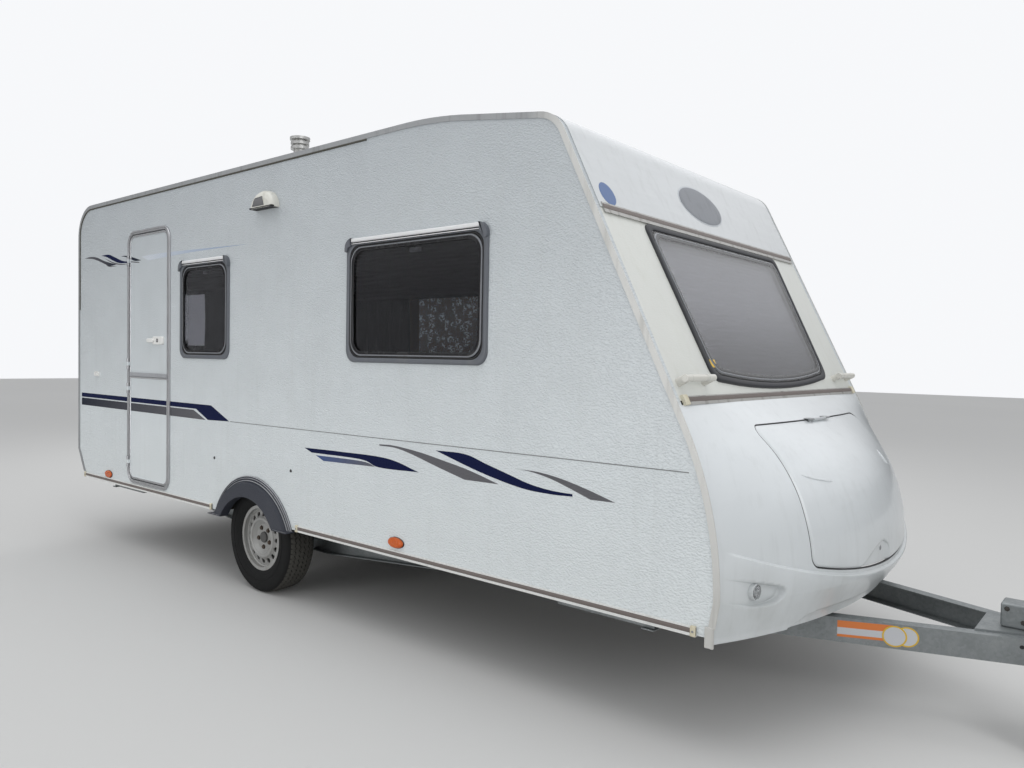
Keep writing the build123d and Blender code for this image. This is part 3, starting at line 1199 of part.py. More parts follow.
COUPLING_BACK_REACH = OVERRUN_FRONT_REACH + BELLOWS_LENGTH
HEAD_RADIUS = 42
with BuildPart() as coupling:
    ball = (along(COUPLING_REACH), 0, OVERRUN_Z)
    rod((along(COUPLING_BACK_REACH), 0, OVERRUN_Z), (ball[0], 0, OVERRUN_Z), OVERRUN_RADIUS)
    rod((ball[0], 0, OVERRUN_Z - 30), (ball[0], 0, OVERRUN_Z + 20), HEAD_RADIUS)
    with Locations((ball[0], 0, OVERRUN_Z + 8)):
        Sphere(HEAD_RADIUS)
    with BuildPart(mode=Mode.PRIVATE) as socket:
        with Locations(ball):
            Sphere(BALL_RADIUS + BALL_CLEARANCE)
        rod((ball[0], 0, OVERRUN_Z - 60), ball, BALL_RADIUS + BALL_CLEARANCE)
    add(socket.part, mode=Mode.SUBTRACT)
    block((-BOX, BOX), (-BOX, BOX), (-BOX, OVERRUN_Z - 35), Mode.SUBTRACT)
    rod((ball[0] - 10, 0, OVERRUN_Z + 45), (ball[0] - 120, 0, OVERRUN_Z + 80), 10)
save(coupling.part, "coupling_head")

HANDBRAKE_REACH = DRAWBAR_FRONT_REACH - 170
HANDBRAKE_Y = 62
HANDBRAKE_LENGTH = 300
HANDBRAKE_GRIP = 120
HANDBRAKE_LEAN = 0.2
with BuildPart() as handbrake:
    root = (along(HANDBRAKE_REACH), HANDBRAKE_Y, DRAWBAR_TOP_Z + SADDLE_THICKNESS + 25)
    lean = Vector(HANDBRAKE_LEAN, 0, 1)
    grip = Vector(*root) + lean * HANDBRAKE_LENGTH
    rod(root, grip, 12)
    rod(grip, grip + lean * HANDBRAKE_GRIP, 17)
    rod((root[0], OVERRUN_RADIUS + EDGE_GAP, root[2]), (root[0], HANDBRAKE_Y + 14, root[2]), 14)
save(handbrake.part, "handbrake_lever")

# Jockey wheel: outer tube in a clamp on the drawbar, sliding inner tube, fork and wheel
JOCKEY_X = along(JOCKEY_REACH)
JOCKEY_TUBE_LOW_Z = 345
JOCKEY_TUBE_TOP_Z = 720
JOCKEY_INNER_RADIUS = JOCKEY_TUBE_RADIUS - JOCKEY_TUBE_WALL - 1
JOCKEY_INNER_LOW_Z = 225
JOCKEY_INNER_TOP_Z = 560
CRANK_LENGTH = 120
CRANK_RADIUS = 7
CLAMP_LOW_Z = 350
CLAMP_HEIGHT = 70
CLAMP_HALF_LENGTH = 28
with BuildPart() as jockey_outer:
    rod((JOCKEY_X, JOCKEY_Y, JOCKEY_TUBE_LOW_Z), (JOCKEY_X, JOCKEY_Y, JOCKEY_TUBE_TOP_Z), JOCKEY_TUBE_RADIUS)
    rod(
        (JOCKEY_X, JOCKEY_Y, JOCKEY_TUBE_LOW_Z - 1),
        (JOCKEY_X, JOCKEY_Y, JOCKEY_TUBE_TOP_Z - 8),
        JOCKEY_TUBE_RADIUS - JOCKEY_TUBE_WALL,
        Mode.SUBTRACT,
    )
    rod((JOCKEY_X, JOCKEY_Y, JOCKEY_TUBE_TOP_Z - 1), (JOCKEY_X, JOCKEY_Y, JOCKEY_TUBE_TOP_Z + 35), 13)
    rod(
        (JOCKEY_X - 10, JOCKEY_Y, JOCKEY_TUBE_TOP_Z + 28),
        (JOCKEY_X + CRANK_LENGTH, JOCKEY_Y, JOCKEY_TUBE_TOP_Z + 28),
        CRANK_RADIUS,
    )
    rod(
        (JOCKEY_X + CRANK_LENGTH - CRANK_RADIUS, JOCKEY_Y, JOCKEY_TUBE_TOP_Z + 25),
        (JOCKEY_X + CRANK_LENGTH - CRANK_RADIUS, JOCKEY_Y, JOCKEY_TUBE_TOP_Z + 110),
        11,
    )
save(jockey_outer.part, "jockey_outer_tube")

with BuildPart() as clamp:
    rod(
        (JOCKEY_X, JOCKEY_Y, CLAMP_LOW_Z),
        (JOCKEY_X, JOCKEY_Y, CLAMP_LOW_Z + CLAMP_HEIGHT),
        JOCKEY_TUBE_RADIUS + 8,
    )
    beam_y = drawbar_y(JOCKEY_REACH)
    top = DRAWBAR_TOP_Z
    span = (JOCKEY_X - CLAMP_HALF_LENGTH, JOCKEY_X + CLAMP_HALF_LENGTH)
    block(span, (JOCKEY_Y, -beam_y - 18), (CLAMP_LOW_Z, CLAMP_LOW_Z + CLAMP_HEIGHT))
    block(span, (-beam_y - 30, -beam_y + 30), (top, CLAMP_LOW_Z + CLAMP_HEIGHT))
    rod(
        (JOCKEY_X, JOCKEY_Y, CLAMP_LOW_Z - 1),
        (JOCKEY_X, JOCKEY_Y, CLAMP_LOW_Z + CLAMP_HEIGHT + 1),
        JOCKEY_TUBE_RADIUS,
        Mode.SUBTRACT,
    )
save(clamp.part, "jockey_clamp")

with BuildPart() as jockey_inner:
    rod((JOCKEY_X, JOCKEY_Y, JOCKEY_INNER_LOW_Z), (JOCKEY_X, JOCKEY_Y, JOCKEY_INNER_TOP_Z), JOCKEY_INNER_RADIUS)
    rod((JOCKEY_X, JOCKEY_Y, JOCKEY_INNER_LOW_Z - 14), (JOCKEY_X, JOCKEY_Y, JOCKEY_INNER_LOW_Z + 1), 10)
save(jockey_inner.part, "jockey_inner_tube")

FORK_PLATE = 5
FORK_GAP = 4
FORK_TOP_Z = JOCKEY_INNER_LOW_Z - 1
PIN_CLEARANCE = 0.2
JOCKEY_AXLE_RADIUS = 8
with BuildPart() as fork:
    inner = JOCKEY_WHEEL_WIDTH / 2 + FORK_GAP
    wheel_x = JOCKEY_X - JOCKEY_TRAIL
    crown_low = FORK_TOP_Z - 10
    crown_y = (JOCKEY_Y - inner - FORK_PLATE, JOCKEY_Y + inner + FORK_PLATE)
    block((wheel_x - 25, JOCKEY_X + 25), crown_y, (crown_low, FORK_TOP_Z))
    pin = ((JOCKEY_X, JOCKEY_Y, crown_low - 1), (JOCKEY_X, JOCKEY_Y, FORK_TOP_Z + 1))
    rod(*pin, 10 + PIN_CLEARANCE, Mode.SUBTRACT)
    for side in (-1, 1):
        near, far = JOCKEY_Y + side * inner, JOCKEY_Y + side * (inner + FORK_PLATE)
        with BuildSketch(Plane.XZ.offset(-max(near, far))) as cheek:
            with BuildLine():
                Polyline(
                    (wheel_x - 25, FORK_TOP_Z),
                    (JOCKEY_X + 25, FORK_TOP_Z),
                    (wheel_x + 22, JOCKEY_WHEEL_RADIUS - 18),
                    (wheel_x - 22, JOCKEY_WHEEL_RADIUS - 18),
                    close=True,
                )
            make_face()
        extrude(cheek.sketch, amount=FORK_PLATE)
    rod(
        (wheel_x, JOCKEY_Y - inner - FORK_PLATE, JOCKEY_WHEEL_RADIUS),
        (wheel_x, JOCKEY_Y + inner + FORK_PLATE, JOCKEY_WHEEL_RADIUS),
        JOCKEY_AXLE_RADIUS,
    )
save(fork.part, "jockey_fork")

with BuildPart() as jockey_wheel:
    left, right = JOCKEY_Y + JOCKEY_WHEEL_WIDTH / 2, JOCKEY_Y - JOCKEY_WHEEL_WIDTH / 2
    rod((wheel_x, right, JOCKEY_WHEEL_RADIUS), (wheel_x, left, JOCKEY_WHEEL_RADIUS), JOCKEY_WHEEL_RADIUS)
    fillet(jockey_wheel.edges().filter_by(GeomType.CIRCLE), 10)
    rod(
        (wheel_x, right - 1, JOCKEY_WHEEL_RADIUS),
        (wheel_x, left + 1, JOCKEY_WHEEL_RADIUS),
        JOCKEY_AXLE_RADIUS + PIN_CLEARANCE,
        Mode.SUBTRACT,
    )
save(jockey_wheel.part, "jockey_wheel")

# Corner steadies: a folded channel leg on a pivot under each corner, wound up flat
STEADY_Y = 830
STEADY_SKIN = 4
STEADY_HEIGHT = 40
STEADY_PIN_RADIUS = 7
EAR_RADIUS = 12
STEADIES = [
    ("rear_right", -1, STEADY_REAR_REACH, -1),
    ("rear_left", 1, STEADY_REAR_REACH, -1),
    ("front_right", -1, STEADY_FRONT_REACH, 1),
    ("front_left", 1, STEADY_FRONT_REACH, 1),
]
with BuildPart() as steady_brackets:
    for _, side, reach, way in STEADIES:
        x, y = along(reach), side * STEADY_Y
        base = sorted((x - way * 30, x + way * 120))
        block(base, (y - 34, y + 34), (SKIRT_Z - 4, SKIRT_Z))
        for cheek in (-1, 1):
            edge = y + cheek * (STEADY_WIDTH / 2 - 8)
            block((x - EAR_RADIUS, x + EAR_RADIUS), (edge - 2, edge + 2), (STEADY_PIVOT_Z, SKIRT_Z))
            rod((x, edge - 2, STEADY_PIVOT_Z), (x, edge + 2, STEADY_PIVOT_Z), EAR_RADIUS)
        rod((x, y - 31, STEADY_PIVOT_Z), (x, y + 31, STEADY_PIVOT_Z), STEADY_PIN_RADIUS)
save(steady_brackets.part, "steady_brackets")

for name, side, reach, way in STEADIES:
    with BuildPart() as steady:
        x, y = along(reach), side * STEADY_Y
        span = sorted((x - way * 16, x + way * STEADY_LENGTH))
        low, high = STEADY_PIVOT_Z - STEADY_HEIGHT / 2, STEADY_PIVOT_Z + STEADY_HEIGHT / 2
        block(span, (y - STEADY_WIDTH / 2, y + STEADY_WIDTH / 2), (low, high))
        block(
            (span[0] - 1, span[1] + 1),
            (y - STEADY_WIDTH / 2 + STEADY_SKIN, y + STEADY_WIDTH / 2 - STEADY_SKIN),
            (low + STEADY_SKIN, high + 1),
            Mode.SUBTRACT,
        )
        tip = x + way * STEADY_LENGTH
        block(sorted((tip - way * 50, tip + way * 6)), (y - 45, y + 45), (low - 5, low))
        pin = ((x, y - 40, STEADY_PIVOT_Z), (x, y + 40, STEADY_PIVOT_Z))
        rod(*pin, STEADY_PIN_RADIUS + PIN_CLEARANCE, Mode.SUBTRACT)
    save(steady.part, f"steady_{name}")

# Inside: bed across the rear, kitchen on the right, cupboards on the left, seats at the front.
# Each is a carcass of thin board that is open to the wall and the floor.
WITHIN = INNER_HALF - 1
BOARD = 18
BED_LENGTH = 780
BED_Z = 850
MATTRESS = 120
MATTRESS_INSET = 10
WORKTOP_Z = 1350
WORKTOP = 30
KITCHEN_Y = 520
CUPBOARD_Z = 2400
CUPBOARD_Y = 480
SEAT_Z = 780
CUSHION = 130
BACK_TOP_Z = 1330
SEAT_REACH = BULKHEAD_REACH - 1470
SEAT_Y = 510
TABLE_Z = 1160
TABLE_REACH = (SEAT_REACH + 350, SEAT_REACH + 1200)
TABLE_HALF = 300
TABLE_LEG_RADIUS = 30
BOX_SPAN = (AXLE_X - WHEEL_BOX_HALF_LENGTH - 2, AXLE_X + WHEEL_BOX_HALF_LENGTH + 2)


def carcass(x_span, side, front_y, top_z, top_board):
    """A cupboard against one wall: a front, two ends and a top, with nothing behind them."""
    block(x_span, sorted((side * front_y, side * WITHIN)), (FLOOR_TOP_Z, top_z))
    within = (x_span[0] + BOARD, x_span[1] - BOARD)
    block(within, (side * (front_y + BOARD), side * BOX), (-BOX, top_z - top_board), Mode.SUBTRACT)


with BuildPart() as bed:
    bed_front = REAR_X + BED_LENGTH
    block((FLOOR_REAR_X, bed_front), (-WITHIN, WITHIN), (BED_Z - BOARD, BED_Z))
    block((bed_front - BOARD, bed_front), (-WITHIN, WITHIN), (FLOOR_TOP_Z, BED_Z))
    block((FLOOR_REAR_X, FLOOR_REAR_X + BOARD), (-WITHIN, WITHIN), (FLOOR_TOP_Z, BED_Z))
    mattress_y = WITHIN - MATTRESS_INSET
    mattress_x = (REAR_X + WALL + 2, bed_front - 2 * MATTRESS_INSET)
    block(mattress_x, (-mattress_y, mattress_y), (BED_Z, BED_Z + MATTRESS))
save(bed.part, "rear_bed")

with BuildPart() as kitchen:
    carcass((along(-960), along(300)), -1, KITCHEN_Y, WORKTOP_Z, WORKTOP)
    block(BOX_SPAN, (-BOX, -WHEEL_BOX_INNER_Y + 2), (-BOX, WHEEL_BOX_TOP_Z + 2), Mode.SUBTRACT)
save(kitchen.part, "kitchen_unit")

with BuildPart() as cupboards:
    carcass((along(-900), along(620)), 1, CUPBOARD_Y, CUPBOARD_Z, BOARD)
    block(BOX_SPAN, (WHEEL_BOX_INNER_Y - 2, BOX), (-BOX, WHEEL_BOX_TOP_Z + 2), Mode.SUBTRACT)
save(cupboards.part, "washroom_and_wardrobe")

with BuildPart() as seats:
    for side in (-1, 1):
        carcass((along(SEAT_REACH), LOCKER_BACK_X - 1), side, SEAT_Y, SEAT_Z, BOARD)
        cushions = (along(SEAT_REACH), LOCKER_BACK_X - 30)
        block(cushions, sorted((side * SEAT_Y, side * WITHIN)), (SEAT_Z, SEAT_Z + CUSHION))
        back = sorted((side * (WITHIN - CUSHION), side * WITHIN))
        block(cushions, back, (SEAT_Z + CUSHION, BACK_TOP_Z))
save(seats.part, "lounge_seats")

with BuildPart() as table:
    table_span = [along(reach) for reach in TABLE_REACH]
    table_x = sum(table_span) / 2
    block(table_span, (-TABLE_HALF, TABLE_HALF), (TABLE_Z - WORKTOP, TABLE_Z))
    rod((table_x, 0, FLOOR_TOP_Z), (table_x, 0, TABLE_Z - WORKTOP), TABLE_LEG_RADIUS)
save(table.part, "lounge_table")
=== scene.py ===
from math import asin, atan2, cos, hypot, pi, radians, sin

import bpy
import numpy as np
from mathutils import Matrix, Vector
from mathutils.geometry import delaunay_2d_cdt
from mathutils.kdtree import KDTree


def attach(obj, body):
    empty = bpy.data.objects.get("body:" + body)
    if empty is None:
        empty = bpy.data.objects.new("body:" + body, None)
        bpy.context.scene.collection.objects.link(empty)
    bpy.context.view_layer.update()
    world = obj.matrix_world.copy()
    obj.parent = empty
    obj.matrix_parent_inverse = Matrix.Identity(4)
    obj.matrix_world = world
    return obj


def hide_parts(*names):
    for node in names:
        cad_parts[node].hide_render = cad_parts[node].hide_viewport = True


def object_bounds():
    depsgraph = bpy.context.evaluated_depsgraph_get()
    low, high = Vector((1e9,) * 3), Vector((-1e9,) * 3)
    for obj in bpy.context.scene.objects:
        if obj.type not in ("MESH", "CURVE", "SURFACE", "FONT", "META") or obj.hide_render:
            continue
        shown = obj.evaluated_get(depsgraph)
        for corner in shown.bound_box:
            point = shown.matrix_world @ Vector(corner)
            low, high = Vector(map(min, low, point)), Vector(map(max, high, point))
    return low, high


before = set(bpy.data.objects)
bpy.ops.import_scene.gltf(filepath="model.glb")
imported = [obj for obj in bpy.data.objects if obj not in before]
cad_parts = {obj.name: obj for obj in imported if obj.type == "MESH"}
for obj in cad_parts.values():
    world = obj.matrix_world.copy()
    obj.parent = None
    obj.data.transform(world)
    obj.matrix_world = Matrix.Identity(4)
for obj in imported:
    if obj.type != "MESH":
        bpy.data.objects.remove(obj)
cad_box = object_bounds()

# Studio: a plain pale floor under a wide soft light overhead, weaker ones from the front, from
# behind and low beside the door, with the camera where the photograph was taken from.
LENS = 27.67
CAMERA_PLACE = Vector((3.2821, -3.6466, 1.4291))
CAMERA_YAW, CAMERA_PITCH, CAMERA_ROLL = 2.2685, 0.0325, -0.0183
FLOOR_TONE = (0.62, 0.62, 0.61, 1)
SKY_TONE = (0.93, 0.94, 0.96, 1)
SKY_LIGHT = 0.66
# Lamps, with columns: place, aimed at, size, watts
LAMPS = [
    ((0.5, -1.0, 7.5), (0.2, 0, 0), 7.0, 190),
    ((8.2, -3.4, 3.4), (1.8, 0, 1.0), 3.5, 112),
    ((-6.5, 6.0, 4.5), (-1.0, 0, 1.1), 4.0, 160),
    ((-2.5, -9.0, 1.2), (-0.6, -1.05, 0.8), 2.8, 130),
]


def node(tree, kind, inputs=None, **settings):
    """Add a shader node; each input is a plain value or another node's output socket."""
    made = tree.nodes.new("ShaderNode" + kind)
    for name, value in settings.items():
        setattr(made, name, value)
    for key, value in (inputs or {}).items():
        if isinstance(value, bpy.types.NodeSocket):
            tree.links.new(value, made.inputs[key])
        else:
            made.inputs[key].default_value = value
    return made


def mixed(tree, share, first, second):
    """A colour that goes from one to another; returns its socket."""
    made = node(tree, "Mix", {0: share, 6: first, 7: second}, data_type="RGBA")
    return made.outputs[2]


def material(name, **values):
    """A new node material, with plain values set on its Principled shader's own sockets."""
    made = bpy.data.materials.new(name)
    made.use_nodes = True
    shader = made.node_tree.nodes["Principled BSDF"]
    for socket, value in values.items():
        shader.inputs[socket.replace("_", " ")].default_value = value
    return made


def piece(name, points, faces, finish, body="caravan", crease=35, normals=None):
    """A mesh piece with one finish that rides on a body, smooth except over sharp edges."""
    mesh = bpy.data.meshes.new(name)
    mesh.from_pydata([tuple(point) for point in points], [], faces)
    mesh.validate()
    mesh.shade_smooth()
    if normals:
        mesh.normals_split_custom_set_from_vertices([tuple(n) for n in normals])
    else:
        mesh.set_sharp_from_angle(angle=radians(crease))
    mesh.materials.append(finish)
    made = bpy.data.objects.new(name, mesh)
    bpy.context.scene.collection.objects.link(made)
    if body:
        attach(made, body)
    return made


def dress(finish, *names):
    """Give carried-over CAD nodes a finish."""
    for name in names:
        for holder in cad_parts[name].material_slots:
            holder.material = finish


floor_finish = material("studio_floor", Roughness=0.9)
tree = floor_finish.node_tree
shader = tree.nodes["Principled BSDF"]
grain = node(tree, "TexNoise", {"Scale": 9.0, "Detail": 6.0})
tree.links.new(mixed(tree, grain.outputs["Fac"], FLOOR_TONE, (0.68, 0.68, 0.67, 1)), shader.inputs["Base Color"])
HALF_FLOOR = 40
piece("floor", [(-HALF_FLOOR, -HALF_FLOOR, 0), (HALF_FLOOR, -HALF_FLOOR, 0),
                         (HALF_FLOOR, HALF_FLOOR, 0), (-HALF_FLOOR, HALF_FLOOR, 0)],
               [(0, 1, 2, 3)], floor_finish, body=None)

world = bpy.data.worlds.new("studio")
bpy.context.scene.world = world
world.use_nodes = True
tree = world.node_tree
rays = node(tree, "LightPath")
either = node(tree, "Math", {0: rays.outputs["Is Camera Ray"], 1: rays.outputs["Is Transmission Ray"]},
              operation="MAXIMUM")
aim = node(tree, "SeparateXYZ", {0: node(tree, "TexCoord").outputs["Generated"]})
mirrored = node(tree, "MapRange", {"Value": aim.outputs["Z"], "From Min": 0.09, "From Max": 0.45,
                                   "To Min": 0.04, "To Max": 1.3})
unlit = node(tree, "MapRange", {"Value": rays.outputs["Is Glossy Ray"], "To Min": SKY_LIGHT,
                                "To Max": mirrored.outputs[0]})
strength = node(tree, "MapRange", {"Value": either.outputs[0], "To Min": unlit.outputs[0], "To Max": 1.0})
tree.nodes["Background"].inputs["Color"].default_value = SKY_TONE
tree.links.new(strength.outputs[0], tree.nodes["Background"].inputs["Strength"])

for number, (place, target, size, watts) in enumerate(LAMPS):
    light = bpy.data.lights.new(f"softbox_{number}", "AREA")
    light.size, light.energy = size, watts
    lamp = bpy.data.objects.new(light.name, light)
    lamp.location = place
    lamp.rotation_euler = (Vector(target) - Vector(place)).to_track_quat("-Z", "Y").to_euler()
    bpy.context.scene.collection.objects.link(lamp)

ahead = Vector((cos(CAMERA_YAW) * cos(CAMERA_PITCH), sin(CAMERA_YAW) * cos(CAMERA_PITCH),
                -sin(CAMERA_PITCH)))
level = Vector((sin(CAMERA_YAW), -cos(CAMERA_YAW), 0))
under = ahead.cross(level)
rightward = cos(CAMERA_ROLL) * level + sin(CAMERA_ROLL) * under
under = cos(CAMERA_ROLL) * under - sin(CAMERA_ROLL) * level
camera = bpy.data.objects.new("camera", bpy.data.cameras.new("camera"))
camera.data.lens = LENS
camera.data.clip_end = 200
camera.matrix_world = Matrix((
    (rightward.x, -under.x, -ahead.x, CAMERA_PLACE.x),
    (rightward.y, -under.y, -ahead.y, CAMERA_PLACE.y),
    (rightward.z, -under.z, -ahead.z, CAMERA_PLACE.z),
    (0, 0, 0, 1)))
bpy.context.scene.collection.objects.link(camera)
bpy.context.scene.camera = camera
bpy.context.scene.view_settings.view_transform = "Standard"

# Side walls: sheet aluminium with a stamped hammer pattern, painted white, glued over the
# insulated walls. The stamping is shallow pebbles, longer along the body than they are tall.
ARCH_X = -0.904
SIDE_Y = 1.05
# The second wall tone is painted shade: the walls, the rear wall and the door leaves are painted darker towards the
# roof, where less light reaches them.
WALL_WHITE, WALL_SHADED_TOP = (0.73, 0.775, 0.79, 1), (0.47, 0.505, 0.53, 1)
WALL_GRIME = (0.40, 0.41, 0.38, 1)
WALL_SHADE_SPAN = (0.5, 2.5)
PEBBLE_LENGTH, PEBBLE_HEIGHT = 0.0125, 0.0078


def effect(name, **sockets):
    """Start a shader node group; sockets give each input's or output's kind and first value."""
    group = bpy.data.node_groups.new(name, "ShaderNodeTree")
    for socket, (way, kind, value) in sockets.items():
        made = group.interface.new_socket(socket.replace("_", " "), in_out=way, socket_type="NodeSocket" + kind)
        if value is not None:
            made.default_value = value
    return group, group.nodes.new("NodeGroupInput").outputs, group.nodes.new("NodeGroupOutput").inputs


# Stamped pebbles
hammered, given, out = effect(
    "hammered_sheet",
    Length=("INPUT", "Float", PEBBLE_LENGTH), Tall=("INPUT", "Float", PEBBLE_HEIGHT),
    Height=("OUTPUT", "Float", None))
place = node(hammered, "TexCoord")
stretch = node(hammered, "CombineXYZ", {"X": given["Length"], "Y": given["Length"], "Z": given["Tall"]})
scaled = node(hammered, "VectorMath", {0: place.outputs["Object"], 1: stretch.outputs[0]}, operation="DIVIDE")
wander = node(hammered, "TexNoise", {"Vector": scaled.outputs[0], "Scale": 0.6, "Detail": 1.0})
bent = node(hammered, "VectorMath", {0: wander.outputs["Color"], 1: scaled.outputs[0]}, operation="ADD")
cells = node(hammered, "TexVoronoi", {"Vector": bent.outputs[0], "Scale": 1.0, "Smoothness": 0.4},
             feature="SMOOTH_F1")
raised = node(hammered, "MapRange", {"Value": cells.outputs["Distance"], "From Min": 0.1, "From Max": 0.75,
                                     "To Min": 1.0, "To Max": 0.0}, interpolation_type="SMOOTHSTEP")
hammered.links.new(raised.outputs[0], out["Height"])

# Weather: faint runs of dirt down the surface, a broad mottle, and road dust low down
weathered, given, out = effect(
    "weathered",
    Clean=("INPUT", "Color", None), Grime=("INPUT", "Color", None),
    Runs=("INPUT", "Float", 0.3), Dust=("INPUT", "Float", 0.3), Smooth=("INPUT", "Float", 0.35),
    Color=("OUTPUT", "Color", None), Roughness=("OUTPUT", "Float", None))
place = node(weathered, "TexCoord")
axes = node(weathered, "SeparateXYZ", {0: place.outputs["Object"]})
drawn = node(weathered, "VectorMath", {0: place.outputs["Object"], 1: (14, 14, 0.9)}, operation="MULTIPLY")
runs = node(weathered, "TexNoise", {"Vector": drawn.outputs[0], "Scale": 1.6, "Detail": 5.0, "Roughness": 0.62})
run_mask = node(weathered, "MapRange", {"Value": runs.outputs["Fac"], "From Min": 0.52, "From Max": 0.78})
run_share = node(weathered, "Math", {0: run_mask.outputs[0], 1: given["Runs"]}, operation="MULTIPLY")
low = node(weathered, "MapRange", {"Value": axes.outputs["Z"], "From Min": 0.42, "From Max": 1.0,
                                   "To Min": 1.0, "To Max": 0.0}, interpolation_type="SMOOTHSTEP")
mottle = node(weathered, "TexNoise", {"Vector": place.outputs["Object"], "Scale": 5.0, "Detail": 7.0})
dust_mask = node(weathered, "Math", {0: low.outputs[0], 1: mottle.outputs["Fac"]}, operation="MULTIPLY")
dust_share = node(weathered, "Math", {0: dust_mask.outputs[0], 1: given["Dust"], 2: run_share.outputs[0]},
                  operation="MULTIPLY_ADD", use_clamp=True)
faded = mixed(weathered, dust_share.outputs[0], given["Clean"], given["Grime"])
tone = node(weathered, "MapRange", {"Value": mottle.outputs["Fac"], "To Min": 0.93, "To Max": 1.05})
shaded = node(weathered, "VectorMath", {0: faded, "Scale": tone.outputs[0]}, operation="SCALE")
weathered.links.new(shaded.outputs[0], out["Color"])
dull = node(weathered, "Math", {0: dust_share.outputs[0], 1: 0.5, 2: given["Smooth"]}, operation="MULTIPLY_ADD")
patchy = node(weathered, "Math", {0: mottle.outputs["Fac"], 1: 0.12, 2: dull.outputs[0]},
              operation="MULTIPLY_ADD", use_clamp=True)
weathered.links.new(patchy.outputs[0], out["Roughness"])


def use(finish, effect_group, inputs=None, outputs=None):
    """Place an effect in a material and run its outputs into the Principled shader."""
    tree = finish.node_tree
    placed = node(tree, "Group", node_tree=effect_group)
    for key, value in (inputs or {}).items():
        placed.inputs[key].default_value = value
    for key, socket in (outputs or {}).items():
        tree.links.new(placed.outputs[key], tree.nodes["Principled BSDF"].inputs[socket])
    return placed


def bump(finish, height, distance, strength=1.0):
    """Run a height into the Principled shader's normal; each call adds to the one before."""
    tree = finish.node_tree
    normal = tree.nodes["Principled BSDF"].inputs["Normal"]
    made = node(tree, "Bump", {"Height": height, "Distance": distance, "Strength": strength})
    if normal.is_linked:
        tree.links.new(normal.links[0].from_socket, made.inputs["Normal"])
    tree.links.new(made.outputs[0], normal)


def grained(finish, scale, depth=0.0, detail=2.0, tones=None):
    """Fine noise in a material, as relief this deep and, with two tones, as its colour."""
    tree = finish.node_tree
    grain = node(tree, "TexNoise", {"Scale": scale, "Detail": detail})
    if tones:
        colour = mixed(tree, grain.outputs["Fac"], *tones)
        tree.links.new(colour, tree.nodes["Principled BSDF"].inputs["Base Color"])
    if depth:
        bump(finish, grain.outputs["Fac"], depth)


def ribbed(finish, scale, direction, depth):
    """Straight ribs moulded into a material."""
    ribs = node(finish.node_tree, "TexWave", {"Scale": scale}, wave_type="BANDS", bands_direction=direction)
    bump(finish, ribs.outputs["Fac"], depth)


SURFACE = {"Color": "Base Color", "Roughness": "Roughness"}


def aged(name, clean, grime, runs, dust, smooth, **values):
    """A weathered material: its tones clean and dirty, its runs, dust and roughness, and plain values."""
    made = material(name, **values)
    use(made, weathered, {"Clean": clean, "Grime": grime, "Runs": runs, "Dust": dust, "Smooth": smooth}, SURFACE)
    return made


def graded(finish, axis, span, low, high, socket="Clean"):
    """Run a tone that changes along an axis into a weathered material."""
    tree = finish.node_tree
    axes = node(tree, "SeparateXYZ", {0: node(tree, "TexCoord").outputs["Object"]})
    share = node(tree, "MapRange", {"Value": axes.outputs[axis], "From Min": span[0], "From Max": span[1]})
    worn = next(part for part in tree.nodes if part.type == "GROUP")
    tree.links.new(mixed(tree, share.outputs[0], low, high), worn.inputs[socket])


def painted_sheet(name, white, stamped, runs=0.10, dust=0.22, high=None, grime=WALL_GRIME, smooth=0.32):
    """White paint on sheet metal, weathered, with its stamping this deep, and painted darker towards the roof as
    painted shade when given a tone up high.
    """
    made = aged(name, white, grime, runs, dust, smooth, Coat_Weight=0.15, Coat_Roughness=0.25)
    # Painted shade: the clean tone grades to the darker tone towards the roof.
    if high:
        graded(made, "Z", WALL_SHADE_SPAN, white, high)
    bump(made, use(made, hammered).outputs["Height"], stamped)
    return made


dress(painted_sheet("hammered_white", WALL_WHITE, 0.0020, high=WALL_SHADED_TOP), "side_wall_left", "side_wall_right")

# Sheet joint along the wall ahead of the door, with a thread of grey sealant in it, and two
# black plugs in the wall behind and ahead of the wheel.
JOINT_REACHES = (-0.255, 2.855)
JOINT_Z = (1.008, 1.026)
sealant = material("grey_sealant", Base_Color=(0.22, 0.23, 0.23, 1), Roughness=0.8)
grained(sealant, 300.0, 0.0006, 3.0)


def side_strip(name, start, end, width, finish, side=-1, proud=0.001, body="caravan"):
    """A thin strip on a side wall between two places, each given as (reach, height)."""
    run = Vector((end[0] - start[0], end[1] - start[1])).normalized()
    edge = Vector((-run.y, run.x)) * width / 2
    corners = [(start[0] - edge.x, start[1] - edge.y), (end[0] - edge.x, end[1] - edge.y),
               (end[0] + edge.x, end[1] + edge.y), (start[0] + edge.x, start[1] + edge.y)]
    return plate(name, corners, finish, side, SIDE_Y, proud, body)


def plate(name, outline, finish, side, base_y, proud, body="caravan"):
    """A thin flat plate on a side wall, from its outline in reaches and heights."""
    count = len(outline)
    area = sum(outline[i - 1][0] * outline[i][1] - outline[i][0] * outline[i - 1][1] for i in range(count))
    if (area > 0) != (side < 0):
        outline = outline[::-1]
    points = [(ARCH_X + x, side * (base_y + depth), z) for depth in (0, proud) for x, z in outline]
    sides = [(i, (i + 1) % count, count + (i + 1) % count, count + i) for i in range(count)]
    return piece(name, points, sides + [tuple(range(count, 2 * count))], finish, body)


SIDES = ((-1, "right"), (1, "left"))
for side, name in SIDES:
    side_strip(f"sheet_joint_{name}",
               (JOINT_REACHES[0], JOINT_Z[0]), (JOINT_REACHES[1], JOINT_Z[1]), 0.004, sealant, side, 0.0008)


def bands(count, rings, closed=False):
    """Faces joining rings of so many places each, the last to the first if closed."""
    return [(ring * count + i, ring * count + (i + 1) % count,
             (ring + 1) % rings * count + (i + 1) % count, (ring + 1) % rings * count + i)
            for ring in range(rings if closed else rings - 1) for i in range(count)]


